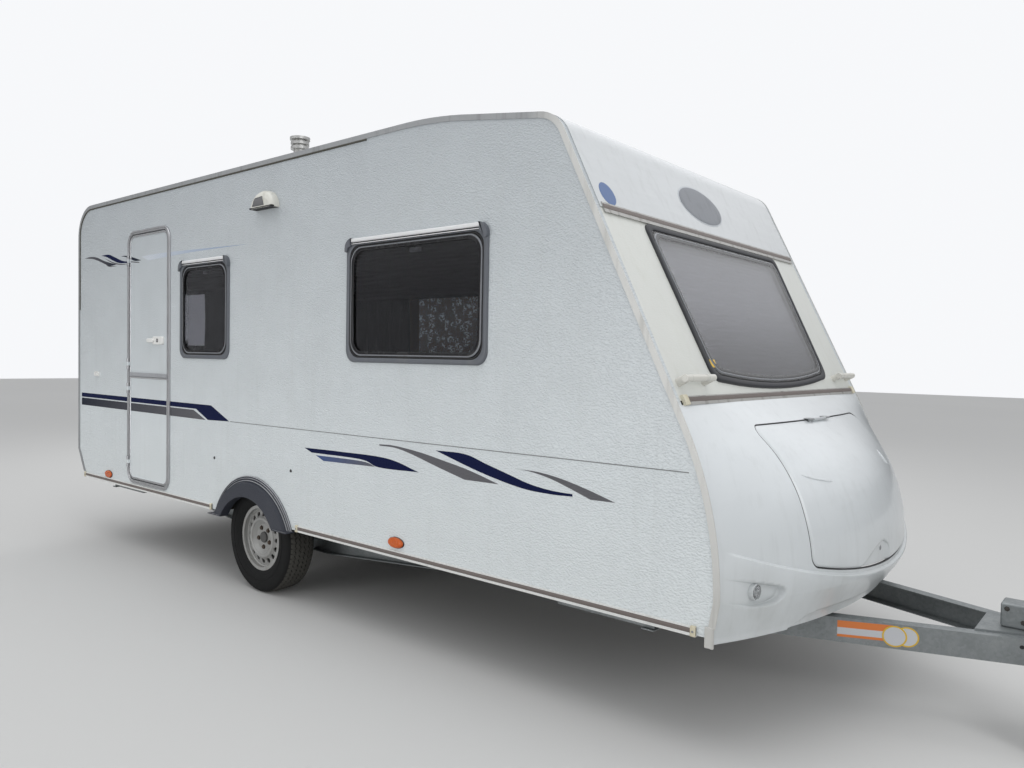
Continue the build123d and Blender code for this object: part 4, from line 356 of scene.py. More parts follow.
def lathe(name, profile, centre, axis, finish, body="caravan", steps=32, crease=35):
    """A turned piece: profile pairs (radius, distance along the axis) round a centre."""
    axis = Vector(axis).normalized()
    first = axis.orthogonal().normalized()
    second = axis.cross(first)
    turns = [2 * pi * step / steps for step in range(steps)]
    points = [Vector(centre) + axis * along + radius * (cos(turn) * first + sin(turn) * second)
              for radius, along in profile for turn in turns]
    faces = bands(steps, len(profile))
    for ring, flip in ((0, -1), (len(profile) - 1, 1)):
        if profile[ring][0] > 1e-6:
            rim = [ring * steps + step for step in range(steps)]
            faces.append(tuple(rim[::flip]))
    return piece(name, points, faces, finish, body, crease)


black_plastic = material("black_plastic", Base_Color=(0.02, 0.02, 0.022, 1), Roughness=0.45)
grained(black_plastic, 700.0, 0.0003)
for number, (reach, height) in enumerate(((-0.434, 0.767), (0.39, 0.771))):
    lathe(f"wall_plug_{number}", [(0.009, 0), (0.009, 0.002), (0.006, 0.004), (0, 0.0045)],
          (ARCH_X + reach, -SIDE_Y, height), (0, -1, 0), black_plastic, steps=20)

# Printed bands: coloured film on the walls and across the door's leaves, two long ones on
# each side and groups of tapered flashes, some fading along their length.
NAVY, DEEP_GREY, MID_GREY = (0.004, 0.008, 0.045, 1), (0.018, 0.022, 0.036, 1), (0.125, 0.125, 0.135, 1)
STEEL_BLUE, PALE_BLUE, WALL_FADE = (0.06, 0.10, 0.24, 1), (0.24, 0.33, 0.48, 1), (0.60, 0.635, 0.68, 1)
DOOR_REAR, DOOR_FRONT = -1.608, -1.042
LEAF_Y, WALL_FILM = 1.0505, 0.0004
# Flashes ahead of the wheel, with columns: colours at the rear and front end, outline. In an
# outline a place with a third value True is a sharp corner.
FLASHES = [
    (NAVY, NAVY, [(0.518, 0.914, True), (0.82, 0.920), (1.202, 0.920), (1.438, 0.875, True),
                  (1.145, 0.869), (1.001, 0.896), (0.584, 0.893, True)]),
    (STEEL_BLUE, MID_GREY, [(0.623, 0.882, True), (1.009, 0.887), (1.116, 0.869, True), (0.691, 0.857, True)]),
    (MID_GREY, MID_GREY, [(1.145, 0.986, True), (1.263, 0.988), (1.441, 0.972), (1.587, 0.950), (1.768, 0.919),
                          (1.943, 0.877, True), (1.738, 0.874, True), (1.555, 0.916), (1.383, 0.958),
                          (1.263, 0.978), (1.151, 0.979, True)]),
    (NAVY, NAVY, [(1.548, 0.991, True), (1.735, 0.991), (1.867, 0.959), (1.994, 0.928), (2.114, 0.899),
                  (2.229, 0.885), (2.339, 0.883, True), (2.341, 0.873, True), (2.23, 0.869), (2.088, 0.874),
                  (1.928, 0.899), (1.767, 0.934)]),
    (MID_GREY, MID_GREY, [(2.038, 0.954, True), (2.149, 0.955), (2.271, 0.941), (2.403, 0.913),
                          (2.545, 0.875, True), (2.428, 0.872, True), (2.322, 0.906), (2.219, 0.935),
                          (2.113, 0.952)]),
    (MID_GREY, DEEP_GREY, [(-2.398, 2.152, True), (-2.299, 2.158), (-2.180, 2.146), (-2.044, 2.110),
                           (-1.842, 2.071, True), (-1.962, 2.066), (-2.023, 2.083), (-2.148, 2.117),
                           (-2.255, 2.139)]),
    (MID_GREY, MID_GREY, [(-2.020, 2.076, True), (-1.942, 2.065), (-1.818, 2.059, True), (-1.942, 2.059)]),
    (NAVY, NAVY, [(-2.102, 2.154, True), (-1.973, 2.153), (-1.882, 2.131), (-1.744, 2.093), (-1.645, 2.080, True),
                  (-1.645, 2.071, True), (-1.783, 2.078), (-1.882, 2.100), (-2.003, 2.136)]),
    (MID_GREY, MID_GREY, [(-2.054, 2.134, True), (-1.882, 2.089), (-1.744, 2.069), (-1.645, 2.064, True),
                          (-1.744, 2.063), (-1.892, 2.082)]),
    (DEEP_GREY, DEEP_GREY, [(-1.764, 2.126, True), (-1.687, 2.125), (-1.574, 2.106), (-1.442, 2.076, True),
                            (-1.536, 2.078), (-1.611, 2.096), (-1.687, 2.116)]),
    (MID_GREY, MID_GREY, [(-1.600, 2.079, True), (-1.481, 2.067), (-1.481, 2.061), (-1.600, 2.072, True)]),
    (WALL_FADE, PALE_BLUE, [(-1.436, 2.103, True), (-1.098, 2.106), (-0.075, 2.083, True), (-0.717, 2.083),
                            (-1.338, 2.068, True)]),
    (NAVY, NAVY, [(-2.455, 1.064, True), (-2.455, 1.096, True), (-0.48, 1.096, True), (-0.263, 1.008, True),
                  (-0.517, 1.001, True), (-0.668, 1.064, True)]),
    (DEEP_GREY, MID_GREY, [(-2.455, 1.000, True), (-2.455, 1.056, True), (-0.700, 1.056, True),
                           (-0.545, 0.999, True)]),
]


def softened(outline, steps=8):
    """An outline's points joined by smooth curves, except at the corners marked sharp."""
    count, made = len(outline), []
    for i in range(count):
        sharp = [len(outline[j % count]) > 2 for j in (i, i + 1)]
        before, start, end, after = (Vector(outline[(i + j) % count][:2]) for j in (-1, 0, 1, 2))
        before = start * 2 - end if sharp[0] else before
        after = end * 2 - start if sharp[1] else after
        if all(sharp):
            made.append(start)
            continue
        for step in range(steps):
            t = step / steps
            made.append(0.5 * (2 * start + (end - before) * t + (2 * before - 5 * start + 4 * end - after) * t * t
                               + (3 * start - before - 3 * end + after) * t ** 3))
    return [tuple(point) for point in made]


def clipped(outline, rear, front):
    """The part of a flat outline between two reaches."""
    for limit, way in ((rear, 1), (front, -1)):
        kept = []
        for (x, z), (next_x, next_z) in zip(outline, outline[1:] + outline[:1]):
            inside, next_inside = (x - limit) * way >= 0, (next_x - limit) * way >= 0
            if inside:
                kept.append((x, z))
            if inside != next_inside:
                share = (limit - x) / (next_x - x)
                kept.append((limit, z + share * (next_z - z)))
        outline = kept
    return outline


def film(number, rear_tone, front_tone, span):
    """Gloss film over the stamped sheet, its colour changing from one reach to another."""
    made = material(f"printed_film_{number}", Roughness=0.55, Specular_IOR_Level=0.08)
    tree = made.node_tree
    place = node(tree, "TexCoord")
    axes = node(tree, "SeparateXYZ", {0: place.outputs["Object"]})
    share = node(tree, "MapRange", {"Value": axes.outputs["X"], "From Min": ARCH_X + span[0],
                                    "From Max": ARCH_X + span[1]})
    ink = mixed(tree, share.outputs[0], rear_tone, front_tone)
    tree.links.new(ink, tree.nodes["Principled BSDF"].inputs["Base Color"])
    bump(made, use(made, hammered).outputs["Height"], 0.0009)
    return made


# Walls and leaves under a film, with columns: name, rear reach, front reach, body, base Y
GROUNDS = [("rear", -3, -1.640, "caravan", SIDE_Y), ("leaf", DOOR_REAR, DOOR_FRONT, "", LEAF_Y - 0.0005),
           ("front", -1.010, 3, "caravan", SIDE_Y)]
for number, (rear_tone, front_tone, corners) in enumerate(FLASHES):
    outline = softened(corners)
    reaches = [x for x, _ in outline]
    finish = film(number, rear_tone, front_tone, (min(reaches), max(reaches)))
    for side, hand in SIDES:
        if side > 0 and min(z for _, z in outline) > 2:
            continue
        for ground, rear, front, body, base in GROUNDS:
            if side > 0 and ground != "rear":
                continue
            part = clipped(outline, rear, front if side < 0 else 3)
            if len(part) < 3:
                continue
            leaf = "door_upper_leaf" if part[0][1] > 1.255 else "door_lower_leaf"
            plate(f"flash_{number}_{ground}_{hand}", part, finish, side, base,
                          WALL_FILM, body or leaf)

# Edge rails and gasket: aluminium angles along the walls' edges, their joint to the roof
# bedded in black mastic that has weathered into dirt along the rear half.
RAIL_TONE, RAIL_DIRT = (0.34, 0.35, 0.36, 1), (0.07, 0.068, 0.06, 1)
EDGE_WHITE, EDGE_DIRT, EDGE_SPAN = (0.62, 0.62, 0.60, 1), (0.33, 0.32, 0.29, 1), (1.16, 1.34)


def metal(name, clean, grime, smooth, metallic, runs=0.3, dust=0.4, scratches=0.0004):
    """Bare or coated metal, weathered, with fine scratches along its length."""
    made = aged(name, clean, grime, runs, dust, smooth, Metallic=metallic)
    drawn = node(made.node_tree, "VectorMath",
                 {0: node(made.node_tree, "TexCoord").outputs["Object"], 1: (3, 90, 90)}, operation="MULTIPLY")
    grain = node(made.node_tree, "TexNoise", {"Vector": drawn.outputs[0], "Scale": 6.0, "Detail": 4.0})
    bump(made, grain.outputs["Fac"], scratches)
    return made


rail_finish = metal("rail_aluminium", RAIL_TONE, RAIL_DIRT, 0.38, 0.35, runs=0.55)
edge_finish = metal("edge_rail", RAIL_TONE, RAIL_DIRT, 0.40, 0.25, runs=0.45)
graded(edge_finish, "X", EDGE_SPAN, RAIL_TONE, EDGE_WHITE)
graded(edge_finish, "X", EDGE_SPAN, RAIL_DIRT, EDGE_DIRT, "Grime")
dress(edge_finish, "edge_rails")
mastic = material("dirty_mastic", Roughness=0.9)
grain = node(mastic.node_tree, "TexNoise", {"Scale": 60.0, "Detail": 8.0, "Roughness": 0.7})
dirt = mixed(mastic.node_tree, grain.outputs["Fac"], (0.02, 0.02, 0.018, 1), (0.13, 0.125, 0.10, 1))
mastic.node_tree.links.new(dirt, mastic.node_tree.nodes["Principled BSDF"].inputs["Base Color"])
bump(mastic, grain.outputs["Fac"], 0.002)
REAR_REACH, ROOF_Z, REAR_BEND = -2.51, 2.55, 0.23
# The side outline's top edge from the rear foot to the brow, as (reach, height)
TOP_EDGE = ([(REAR_REACH, 1.75 + 0.19 * step) for step in range(3)]
            + [(REAR_REACH + REAR_BEND * (1 - cos(turn)), ROOF_Z - REAR_BEND * (1 - sin(turn)))
               for turn in (radians(9 * step) for step in range(1, 11))]
            + [(REAR_REACH + REAR_BEND + 0.3 * step, ROOF_Z) for step in range(1, 12)])


def swept(name, path, section, finish, body="caravan", closed=False):
    """A bar of one section along a path; path rows are (centre, across, up), section pairs."""
    points = [centre + over * a + up * b for centre, over, up in path for a, b in section]
    count, rings = len(section), len(path)
    faces = bands(count, rings, closed)
    if not closed:
        faces += [tuple(range(count))[::-1], tuple((rings - 1) * count + i for i in range(count))]
    return piece(name, points, faces, finish, body)


def block(name, low, high, bevel, finish, body="caravan", segments=3):
    """A box between two corners, its edges rounded."""
    x, y, z = zip(low, high)
    points = [(x[i & 1], y[i >> 1 & 1], z[i >> 2]) for i in range(8)]
    faces = [(0, 2, 3, 1), (4, 5, 7, 6), (0, 1, 5, 4), (2, 6, 7, 3), (0, 4, 6, 2), (1, 3, 7, 5)]
    made = piece(name, points, faces, finish, body)
    rounding = made.modifiers.new("edges", "BEVEL")
    rounding.width, rounding.segments = bevel, segments
    return made


def wall_path(edge, side, y):
    """Places along an edge line on a side wall, with its outward and inward directions."""
    rows = []
    for i, (reach, z) in enumerate(edge):
        (x0, z0), (x1, z1) = edge[max(i - 1, 0)], edge[min(i + 1, len(edge) - 1)]
        run = Vector((x1 - x0, 0, z1 - z0)).normalized()
        rows.append((Vector((ARCH_X + reach, side * y, z)), Vector((0, side, 0)), Vector((run.z, 0, -run.x))))
    return rows


for side, name in SIDES:
    ridge = [(0, 0.0215), (0.0052, 0.0225), (0.0062, 0.0275), (0.0045, 0.031), (0, 0.0315)]
    swept(f"roof_mastic_{name}", wall_path(TOP_EDGE, side, SIDE_Y), ridge, mastic)

# Rail tips: the foot of each front edge rail, aluminium like the rest of it, cut square and
# folded round the corner under the nose.


def across(side, near, far):
    """Two values of Y on one side, the lower first."""
    return sorted((side * near, side * far))


for side, name in SIDES:
    y = across(side, SIDE_Y - 0.004, SIDE_Y + 0.0065)
    block(f"edge_rail_tip_{name}", (ARCH_X + 2.934, y[0], 0.405),
                  (ARCH_X + 2.968, y[1], 0.482), 0.003, edge_finish)

# Roof and rear wall: painted aluminium sheet, smooth on the roof and stamped at the rear, glued
# over the insulation and chalky and streaked after years of rain.
ROOF_WHITE, ROOF_GRIME = (0.60, 0.61, 0.61, 1), (0.26, 0.26, 0.23, 1)
dress(painted_sheet("roof_white", ROOF_WHITE, 0.0, runs=0.7, dust=0.0, grime=ROOF_GRIME, smooth=0.45), "roof")
# The rear wall is painted darker towards the roof as painted shade, like the side walls.
dress(painted_sheet("rear_white", WALL_WHITE, 0.0014, runs=0.25, dust=0.5, high=WALL_SHADED_TOP), "rear_wall")

# Skirt rails: aluminium channel along the foot of the walls, with a brown vinyl insert
# pressed into its groove, a white lower lip, and a yellowed end cap screwed on each end.
SKIRT_Z, SKIRT_TALL, SKIRT_PROUD, SKIRT_CAP = 0.436, 0.036, 0.009, 0.022
SPAT_REACH, FRONT_FOOT_REACH = 0.450, 2.962
SKIRT_RUNS = [(REAR_REACH + 0.130, -SPAT_REACH), (SPAT_REACH, FRONT_FOOT_REACH - 0.060)]
skirt_finish = painted_sheet("skirt_white", (0.76, 0.765, 0.75, 1), 0.0, runs=0.3, dust=0.25)
dress(skirt_finish, "skirt_rails")
insert_finish = material("brown_vinyl", Roughness=0.5)
grained(insert_finish, 25.0, 0.0006, 8.0, ((0.085, 0.070, 0.064, 1), (0.22, 0.185, 0.17, 1)))
ivory_plastic = aged("aged_ivory_plastic", (0.70, 0.66, 0.52, 1), (0.38, 0.30, 0.16, 1), 0.5, 0.4, 0.42)


for side, hand in SIDES:
    for number, (rear, front) in enumerate(SKIRT_RUNS):
        name = f"{hand}_{number}"
        bottom = SKIRT_Z + SKIRT_TALL * 0.30
        middle = SIDE_Y + SKIRT_PROUD
        crown = [(0, 0), (0, 0.018), (0.0012, 0.0165), (0.0020, 0.009), (0.0012, 0.0015)]
        path = [(Vector((ARCH_X + x, side * (middle - 0.0005), bottom)), Vector((0, side, 0)), Vector((0, 0, 1)))
                for x in (rear + SKIRT_CAP, front - SKIRT_CAP)]
        swept(f"skirt_insert_{name}", path, crown, insert_finish)
        for end, reach in (("rear", rear), ("front", front - SKIRT_CAP)):
            y = across(side, SIDE_Y + 0.0002, middle + 0.004)
            cap = block(f"skirt_cap_{name}_{end}", (ARCH_X + reach, y[0], SKIRT_Z - 0.001),
                        (ARCH_X + reach + SKIRT_CAP, y[1], SKIRT_Z + SKIRT_TALL + 0.002), 0.003, ivory_plastic)
            lathe(f"skirt_screw_{name}_{end}", [(0.0045, 0), (0.0045, 0.0012), (0.003, 0.0022), (0, 0.0014)],
                  (ARCH_X + reach + SKIRT_CAP / 2, side * (middle + 0.004), SKIRT_Z + SKIRT_TALL / 2),
                  (0, side, 0), rail_finish, steps=16)

# Nose moulding and locker lid: glass-fibre shells in white gel coat. The nose bows forward, with a
# ledge along its bumper, a hollow round each lamp and a raised foot; the lid is let into it.
GEL_WHITE, GEL_GRIME = (0.70, 0.735, 0.755, 1), (0.30, 0.315, 0.30, 1)
gel_coat = aged("gel_coat_white", GEL_WHITE, GEL_GRIME, 0.12, 0.75, 0.24, Coat_Weight=0.55, Coat_Roughness=0.12)
grained(gel_coat, 6.0, 0.004)
# How far the nose bows forward in the middle, with columns: height, bow
NOSE_BOWS = [(1.268, 0.012), (1.176, 0.100), (1.080, 0.190), (0.963, 0.250), (0.822, 0.280), (0.650, 0.290),
             (0.540, 0.282), (0.420, 0.240)]
SLOPE_FOOT, NOSE_FRONT = (2.838, 1.200), (2.985, 0.571)
BROW_REACH, BROW_Z = 2.223, 2.439
BODY_FOOT_Z = 0.440
LEDGE_SIDE, LEDGE_MIDDLE_Z, LEDGE_PROUD = (1.0, 0.745), 0.572, 0.015
LID_HALF, LID_TOP_Z, LID_SIDE_Z, LID_FOOT_Z, LID_RADIUS = 0.640, 1.176, 0.664, 0.594, 0.045
LID_GAP, LID_PROUD = 0.006, 0.004
LAMP_Y, LAMP_Z, LAMP_RADIUS = 0.900, 0.599, 0.032


def wall_front(z):
    """Reach of the side walls' front edge at each height."""
    upper = SLOPE_FOOT[0] + (z - SLOPE_FOOT[1]) / (BROW_Z - SLOPE_FOOT[1]) * (BROW_REACH - SLOPE_FOOT[0])
    rise, back = SLOPE_FOOT[1] - NOSE_FRONT[1], NOSE_FRONT[0] - SLOPE_FOOT[0]
    radius = (rise * rise + back * back) / (2 * back)
    middle = NOSE_FRONT[0] - radius + np.sqrt(np.maximum(radius * radius - (z - NOSE_FRONT[1]) ** 2, 0))
    lower = np.interp(z, (BODY_FOOT_Z, NOSE_FRONT[1]), (FRONT_FOOT_REACH, NOSE_FRONT[0]))
    return np.where(z >= SLOPE_FOOT[1], upper, np.where(z >= NOSE_FRONT[1], middle, lower))


def bow_at(z):
    """The nose's forward bow at each height, as a smooth curve through its rows."""
    heights, bows = np.array(NOSE_BOWS[::-1]).T
    slopes = np.gradient(bows, heights)
    z = np.clip(z, heights[0], heights[-1])
    i = np.clip(np.searchsorted(heights, z) - 1, 0, len(heights) - 2)
    span = heights[i + 1] - heights[i]
    t = (z - heights[i]) / span
    return ((2 * t ** 3 - 3 * t * t + 1) * bows[i] + (t ** 3 - 2 * t * t + t) * span * slopes[i]
            + (3 * t * t - 2 * t ** 3) * bows[i + 1] + (t ** 3 - t * t) * span * slopes[i + 1])


def nose_x(y, z):
    """X of the plain nose at places across it and heights."""
    bow = bow_at(z)
    radius = (SIDE_Y * SIDE_Y + bow * bow) / (2 * bow)
    return ARCH_X + wall_front(z) + bow - radius + np.sqrt(np.maximum(radius * radius - y * y, 0))


def at(surface, y, z):
    """X of a moulded surface at one place."""
    return float(surface(np.array([y]), np.array([z]))[0])


def ledge_z(y):
    """Height of the bumper's ledge across the nose, on an arc."""
    half, rise = LEDGE_SIDE[0], LEDGE_SIDE[1] - LEDGE_MIDDLE_Z
    radius = (half * half + rise * rise) / (2 * rise)
    return LEDGE_MIDDLE_Z + radius - np.sqrt(radius * radius - y * y)


def eased(value, low, high):
    """From 0 below one value to 1 above another, smoothly."""
    share = np.clip((value - low) / (high - low), 0, 1)
    return share * share * (3 - 2 * share)


def inside_by(y, z, outline):
    """How far each place lies inside an outline, negative outside."""
    y, z = (np.atleast_1d(np.asarray(value, float)) for value in (y, z))
    nearest, crossings = np.full(y.shape, 1e9), np.zeros(y.shape, int)
    for (ay, az), (by, bz) in zip(outline, outline[1:] + outline[:1]):
        run, rise = by - ay, bz - az
        length = run * run + rise * rise
        if length < 1e-12:
            continue
        share = np.clip(((y - ay) * run + (z - az) * rise) / length, 0, 1)
        nearest = np.minimum(nearest, np.hypot(y - ay - share * run, z - az - share * rise))
        if az != bz:
            crossings += ((az > z) != (bz > z)) & (y < ay + (z - az) / rise * run)
    return np.where(crossings % 2 == 1, nearest, -nearest)


# Hollows let into the mouldings, as outlines of (distance across, height)
LAMP_HOLLOW = softened([(1.045, 0.664, True), (0.90, 0.633), (0.812, 0.612), (0.786, 0.597), (0.783, 0.577),
                        (0.800, 0.557), (0.850, 0.545), (0.93, 0.548), (1.045, 0.570, True)], 5)
FOOT_HOLLOW = softened([(0.745, 0.380, True), (0.700, 0.420), (0.650, 0.440), (0.600, 0.462), (0.560, 0.470, True),
                        (-0.560, 0.470, True), (-0.600, 0.462), (-0.650, 0.440), (-0.700, 0.420),
                        (-0.745, 0.380, True)], 4)
LOCK_HOLLOW = softened([(-0.310, 0.612, True), (-0.240, 0.645), (-0.165, 0.676), (-0.090, 0.690), (-0.030, 0.672),
                        (0.000, 0.636), (0.010, 0.585, True), (-0.310, 0.570, True)], 6)
LAMP_HOLLOW_DEEP, FOOT_HOLLOW_DEEP, LOCK_HOLLOW_DEEP, WALL_OF_HOLLOW = 0.034, 0.014, 0.016, 0.006


def moulded_x(y, z):
    """X of the nose's outer skin, with its ledge and hollows."""
    drop = ledge_z(y) - z
    fade = 1 - eased(abs(y), 0.93, 1.03)
    crest = eased(drop, -0.005, 0.005) * (1 - 0.9 * eased(drop, 0.008, 0.11))
    sink = LAMP_HOLLOW_DEEP * eased(-abs(y), -1.04, -0.79)
    in_lamp, in_foot = inside_by(abs(y), z, LAMP_HOLLOW), inside_by(y, z, FOOT_HOLLOW)
    return (nose_x(y, z) + LEDGE_PROUD * crest * fade - sink * eased(in_lamp, 0, WALL_OF_HOLLOW)
            - FOOT_HOLLOW_DEEP * eased(in_foot, 0, 0.004))


def arc_between(start, middle, end, steps):
    """Places along a circle through three places, the last one left off."""
    (ay, az), (by, bz), (cy, cz) = start, middle, end
    size = 2 * (ay * (bz - cz) + by * (cz - az) + cy * (az - bz))
    first, second, third = ay * ay + az * az, by * by + bz * bz, cy * cy + cz * cz
    hub_y = (first * (bz - cz) + second * (cz - az) + third * (az - bz)) / size
    hub_z = (first * (cy - by) + second * (ay - cy) + third * (by - ay)) / size
    radius = hypot(ay - hub_y, az - hub_z)
    start_turn, end_turn = (atan2(z - hub_z, y - hub_y) for y, z in (start, end))
    turns = [start_turn + (end_turn - start_turn) * i / steps for i in range(steps)]
    return [(hub_y + radius * cos(turn), hub_z + radius * sin(turn)) for turn in turns]


def rounded(corners, steps=7):
    """An outline whose corners with a third value, a radius, are rounded."""
    made, count = [], len(corners)
    for i, row in enumerate(corners):
        if len(row) < 3:
            made.append(tuple(row))
            continue
        corner, radius = Vector(row[:2]), row[2]
        before = (Vector(corners[i - 1][:2]) - corner).normalized()
        after = (Vector(corners[(i + 1) % count][:2]) - corner).normalized()
        half = before.angle(after) / 2
        hub = corner + (before + after).normalized() * radius / sin(half)
        start, end = (corner + way * radius * cos(half) / sin(half) - hub for way in (before, after))
        first = atan2(start.y, start.x)
        turn = (atan2(end.y, end.x) - first + pi) % (2 * pi) - pi
        made += [(hub.x + radius * cos(first + turn * step / steps), hub.y + radius * sin(first + turn * step / steps))
                 for step in range(steps + 1)]
    return made


def lid_outline(grow=0.0):
    """The lid's outline, moved out evenly: straight head and sides over a bowed foot."""
    half, top, side_z, foot = LID_HALF + grow, LID_TOP_Z + grow, LID_SIDE_Z - grow, LID_FOOT_Z - grow
    radius = LID_RADIUS + grow
    foot_arc = arc_between((-half, side_z), (0, foot), (half, side_z), 24)[1:]
    return rounded([(half, side_z, radius), (half, top, radius), (-half, top, radius), (-half, side_z, radius)]
                   + foot_arc)


def resampled(outline, spacing, closed=True):
    """Evenly spaced places along an outline, its own points kept."""
    made = []
    following = outline[1:] + outline[:1] if closed else outline[1:]
    for (ay, az), (by, bz) in zip(outline, following):
        parts = max(1, round(hypot(by - ay, bz - az) / spacing))
        made += [(ay + (by - ay) * i / parts, az + (bz - az) * i / parts) for i in range(parts)]
    return made if closed else made + [outline[-1]]


def shell(name, border, hole, lines, height, spacing, lip, body, finish):
    """A skin whose X is a function of its place across and height, within a border, round a
    hole and along feature lines, with a lip turned back along every edge."""
    fixed, edges = [], []
    for loop, closed in [(border, True)] + ([(hole, True)] if hole else []) + [(line, False) for line in lines]:
        base, count = len(fixed), len(loop)
        fixed += loop
        edges += [(base + i, base + (i + 1) % count) for i in range(count if closed else count - 1)]
    tree = KDTree(len(fixed))
    for i, (y, z) in enumerate(fixed):
        tree.insert((y, z, 0), i)
    tree.balance()
    (left, bottom), (right, top) = np.min(border, axis=0), np.max(border, axis=0)
    rows, columns = np.mgrid[0:int((top - bottom) / spacing) + 1, 0:int((right - left) / spacing) + 2]
    ys, zs = left + (columns + 0.5 * (rows % 2)).ravel() * spacing, bottom + rows.ravel() * spacing

    def kept(y, z):
        within = inside_by(y, z, border) > 0
        return within & (inside_by(y, z, hole) < 0) if hole else within

    wanted = kept(ys, zs)
    free = [(y, z) for y, z in zip(ys[wanted], zs[wanted]) if tree.find((y, z, 0))[2] > spacing * 0.55]
    flat, _, faces, _, _, _ = delaunay_2d_cdt([Vector(place) for place in fixed + free], edges, [], 0, 1e-7)
    flat = np.array([tuple(place) for place in flat])
    middles = flat[np.array([list(face) for face in faces])].mean(axis=1)
    faces = [tuple(face) for face, wanted in zip(faces, kept(*middles.T)) if wanted]
    y, z = flat.T
    points = np.column_stack((height(y, z), y, z))
    step = 0.0006
    slopes = [(height(y + a, z + b) - height(y - a, z - b)) / (2 * step) for a, b in ((step, 0), (0, step))]
    normals = np.column_stack((np.ones_like(y), -slopes[0], -slopes[1]))
    normals = [tuple(row) for row in normals / np.linalg.norm(normals, axis=1)[:, None]]
    points = [tuple(row) for row in points]
    directed = {edge for face in faces for edge in zip(face, face[1:] + face[:1])}
    turned = {}
    for a, b in sorted(edge for edge in directed if edge[::-1] not in directed):
        for i in (a, b):
            if i not in turned:
                turned[i] = len(points)
                points.append((points[i][0] - lip, points[i][1], points[i][2]))
                normals.append(normals[i])
        faces.append((b, a, turned[a], turned[b]))
    return piece(name, points, faces, finish, body, normals=normals)


# The nose's own edge, and the lines that its grid follows: the ledge and the hollows' rims
NOSE_TOP_Z, NOSE_FOOT_Z = 1.268, 0.420
nose_border = resampled([(SIDE_Y, NOSE_FOOT_Z), (SIDE_Y, NOSE_TOP_Z), (-SIDE_Y, NOSE_TOP_Z), (-SIDE_Y, NOSE_FOOT_Z)],
                        0.010)
LEDGE_STEPS = (-0.006, -0.002, 0.002, 0.007, 0.012)
ledge_ys = np.linspace(-1.02, 1.02, 205)
feature_lines = []
for drop in LEDGE_STEPS:
    heights = ledge_z(ledge_ys) - drop
    clear = inside_by(ledge_ys, heights, lid_outline(LID_GAP + 0.004)) < 0
    for side in (-1, 1):
        line = [(y, z) for y, z, free in zip(ledge_ys, heights, clear) if free and (y * side > 0 or all(clear))]
        feature_lines.append(line)


def drawn_in(outline, inset):
    """An anticlockwise outline's places moved in by a distance."""
    made, count = [], len(outline)
    for i, (u, v) in enumerate(outline):
        (au, av), (bu, bv) = outline[i - 1], outline[(i + 1) % count]
        run = Vector((bu - au, bv - av)).normalized()
        made.append((u - run.y * inset, v + run.x * inset))
    return made


def sunk(outline, depth):
    """A hollow's outline drawn in evenly, for a line on its wall."""
    made = []
    for inner, outer in zip(drawn_in(outline, depth), drawn_in(outline, -depth)):
        spot = outer if inside_by(*inner, outline) < 0 else inner
        if inside_by(*spot, outline) > 0.8 * depth:
            made.append(spot)
    return made


for depth in (0.0005, 0.0035, 0.007):
    for side in (-1, 1):
        line = [(side * y, z) for y, z in resampled(sunk(LAMP_HOLLOW, depth), 0.007, False) if y < 1.04]
        feature_lines.append(line)
foot_line = [(y, z) for y, z in resampled(FOOT_HOLLOW, 0.010, False) if z > NOSE_FOOT_Z + 0.004]
feature_lines.append(foot_line)
feature_lines.append([(y, z - 0.005) for y, z in foot_line if z - 0.005 > NOSE_FOOT_Z + 0.003])
nose = shell("nose_skin", nose_border, resampled(lid_outline(LID_GAP), 0.010), feature_lines, moulded_x, 0.0085,
             0.014, "caravan", gel_coat)
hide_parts("nose_moulding")

lid_grid_lines = []
for depth in (0.0015, 0.004, 0.008):
    line = resampled(lid_outline(-depth), 0.010)
    lid_grid_lines.append(line + line[:1])
for depth in (0.0005, 0.004, 0.008):
    line = resampled(sunk(LOCK_HOLLOW, depth), 0.006, False)
    lid_grid_lines.append([(y, z) for (y, z), clear in zip(line, inside_by(*np.array(line).T, lid_outline(-0.010)))
                           if clear > 0])


def lid_x(y, z):
    """X of the lid's outer skin: proud of the nose, rolled at its edge, hollow round its lock."""
    edge = inside_by(y, z, lid_outline())
    roll = 0.007 * (1 - eased(edge, -0.001, 0.009))
    lock = LOCK_HOLLOW_DEEP * eased(inside_by(y, z, LOCK_HOLLOW), 0, 0.008) * eased(-y, -0.03, 0.10)
    return nose_x(y, z) + LID_PROUD + 0.003 * eased(edge, 0.0, 0.2) - roll - lock


lid = shell("locker_lid_skin", resampled(lid_outline(), 0.010), None, lid_grid_lines, lid_x, 0.008, 0.014,
            "locker_lid", gel_coat)
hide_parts("locker_lid")
inner = shell("locker_lid_lining", resampled(lid_outline(-0.003), 0.03), None, [],
              lambda y, z: nose_x(y, z) - 0.006, 0.03, 0.001, "locker_lid", gel_coat)
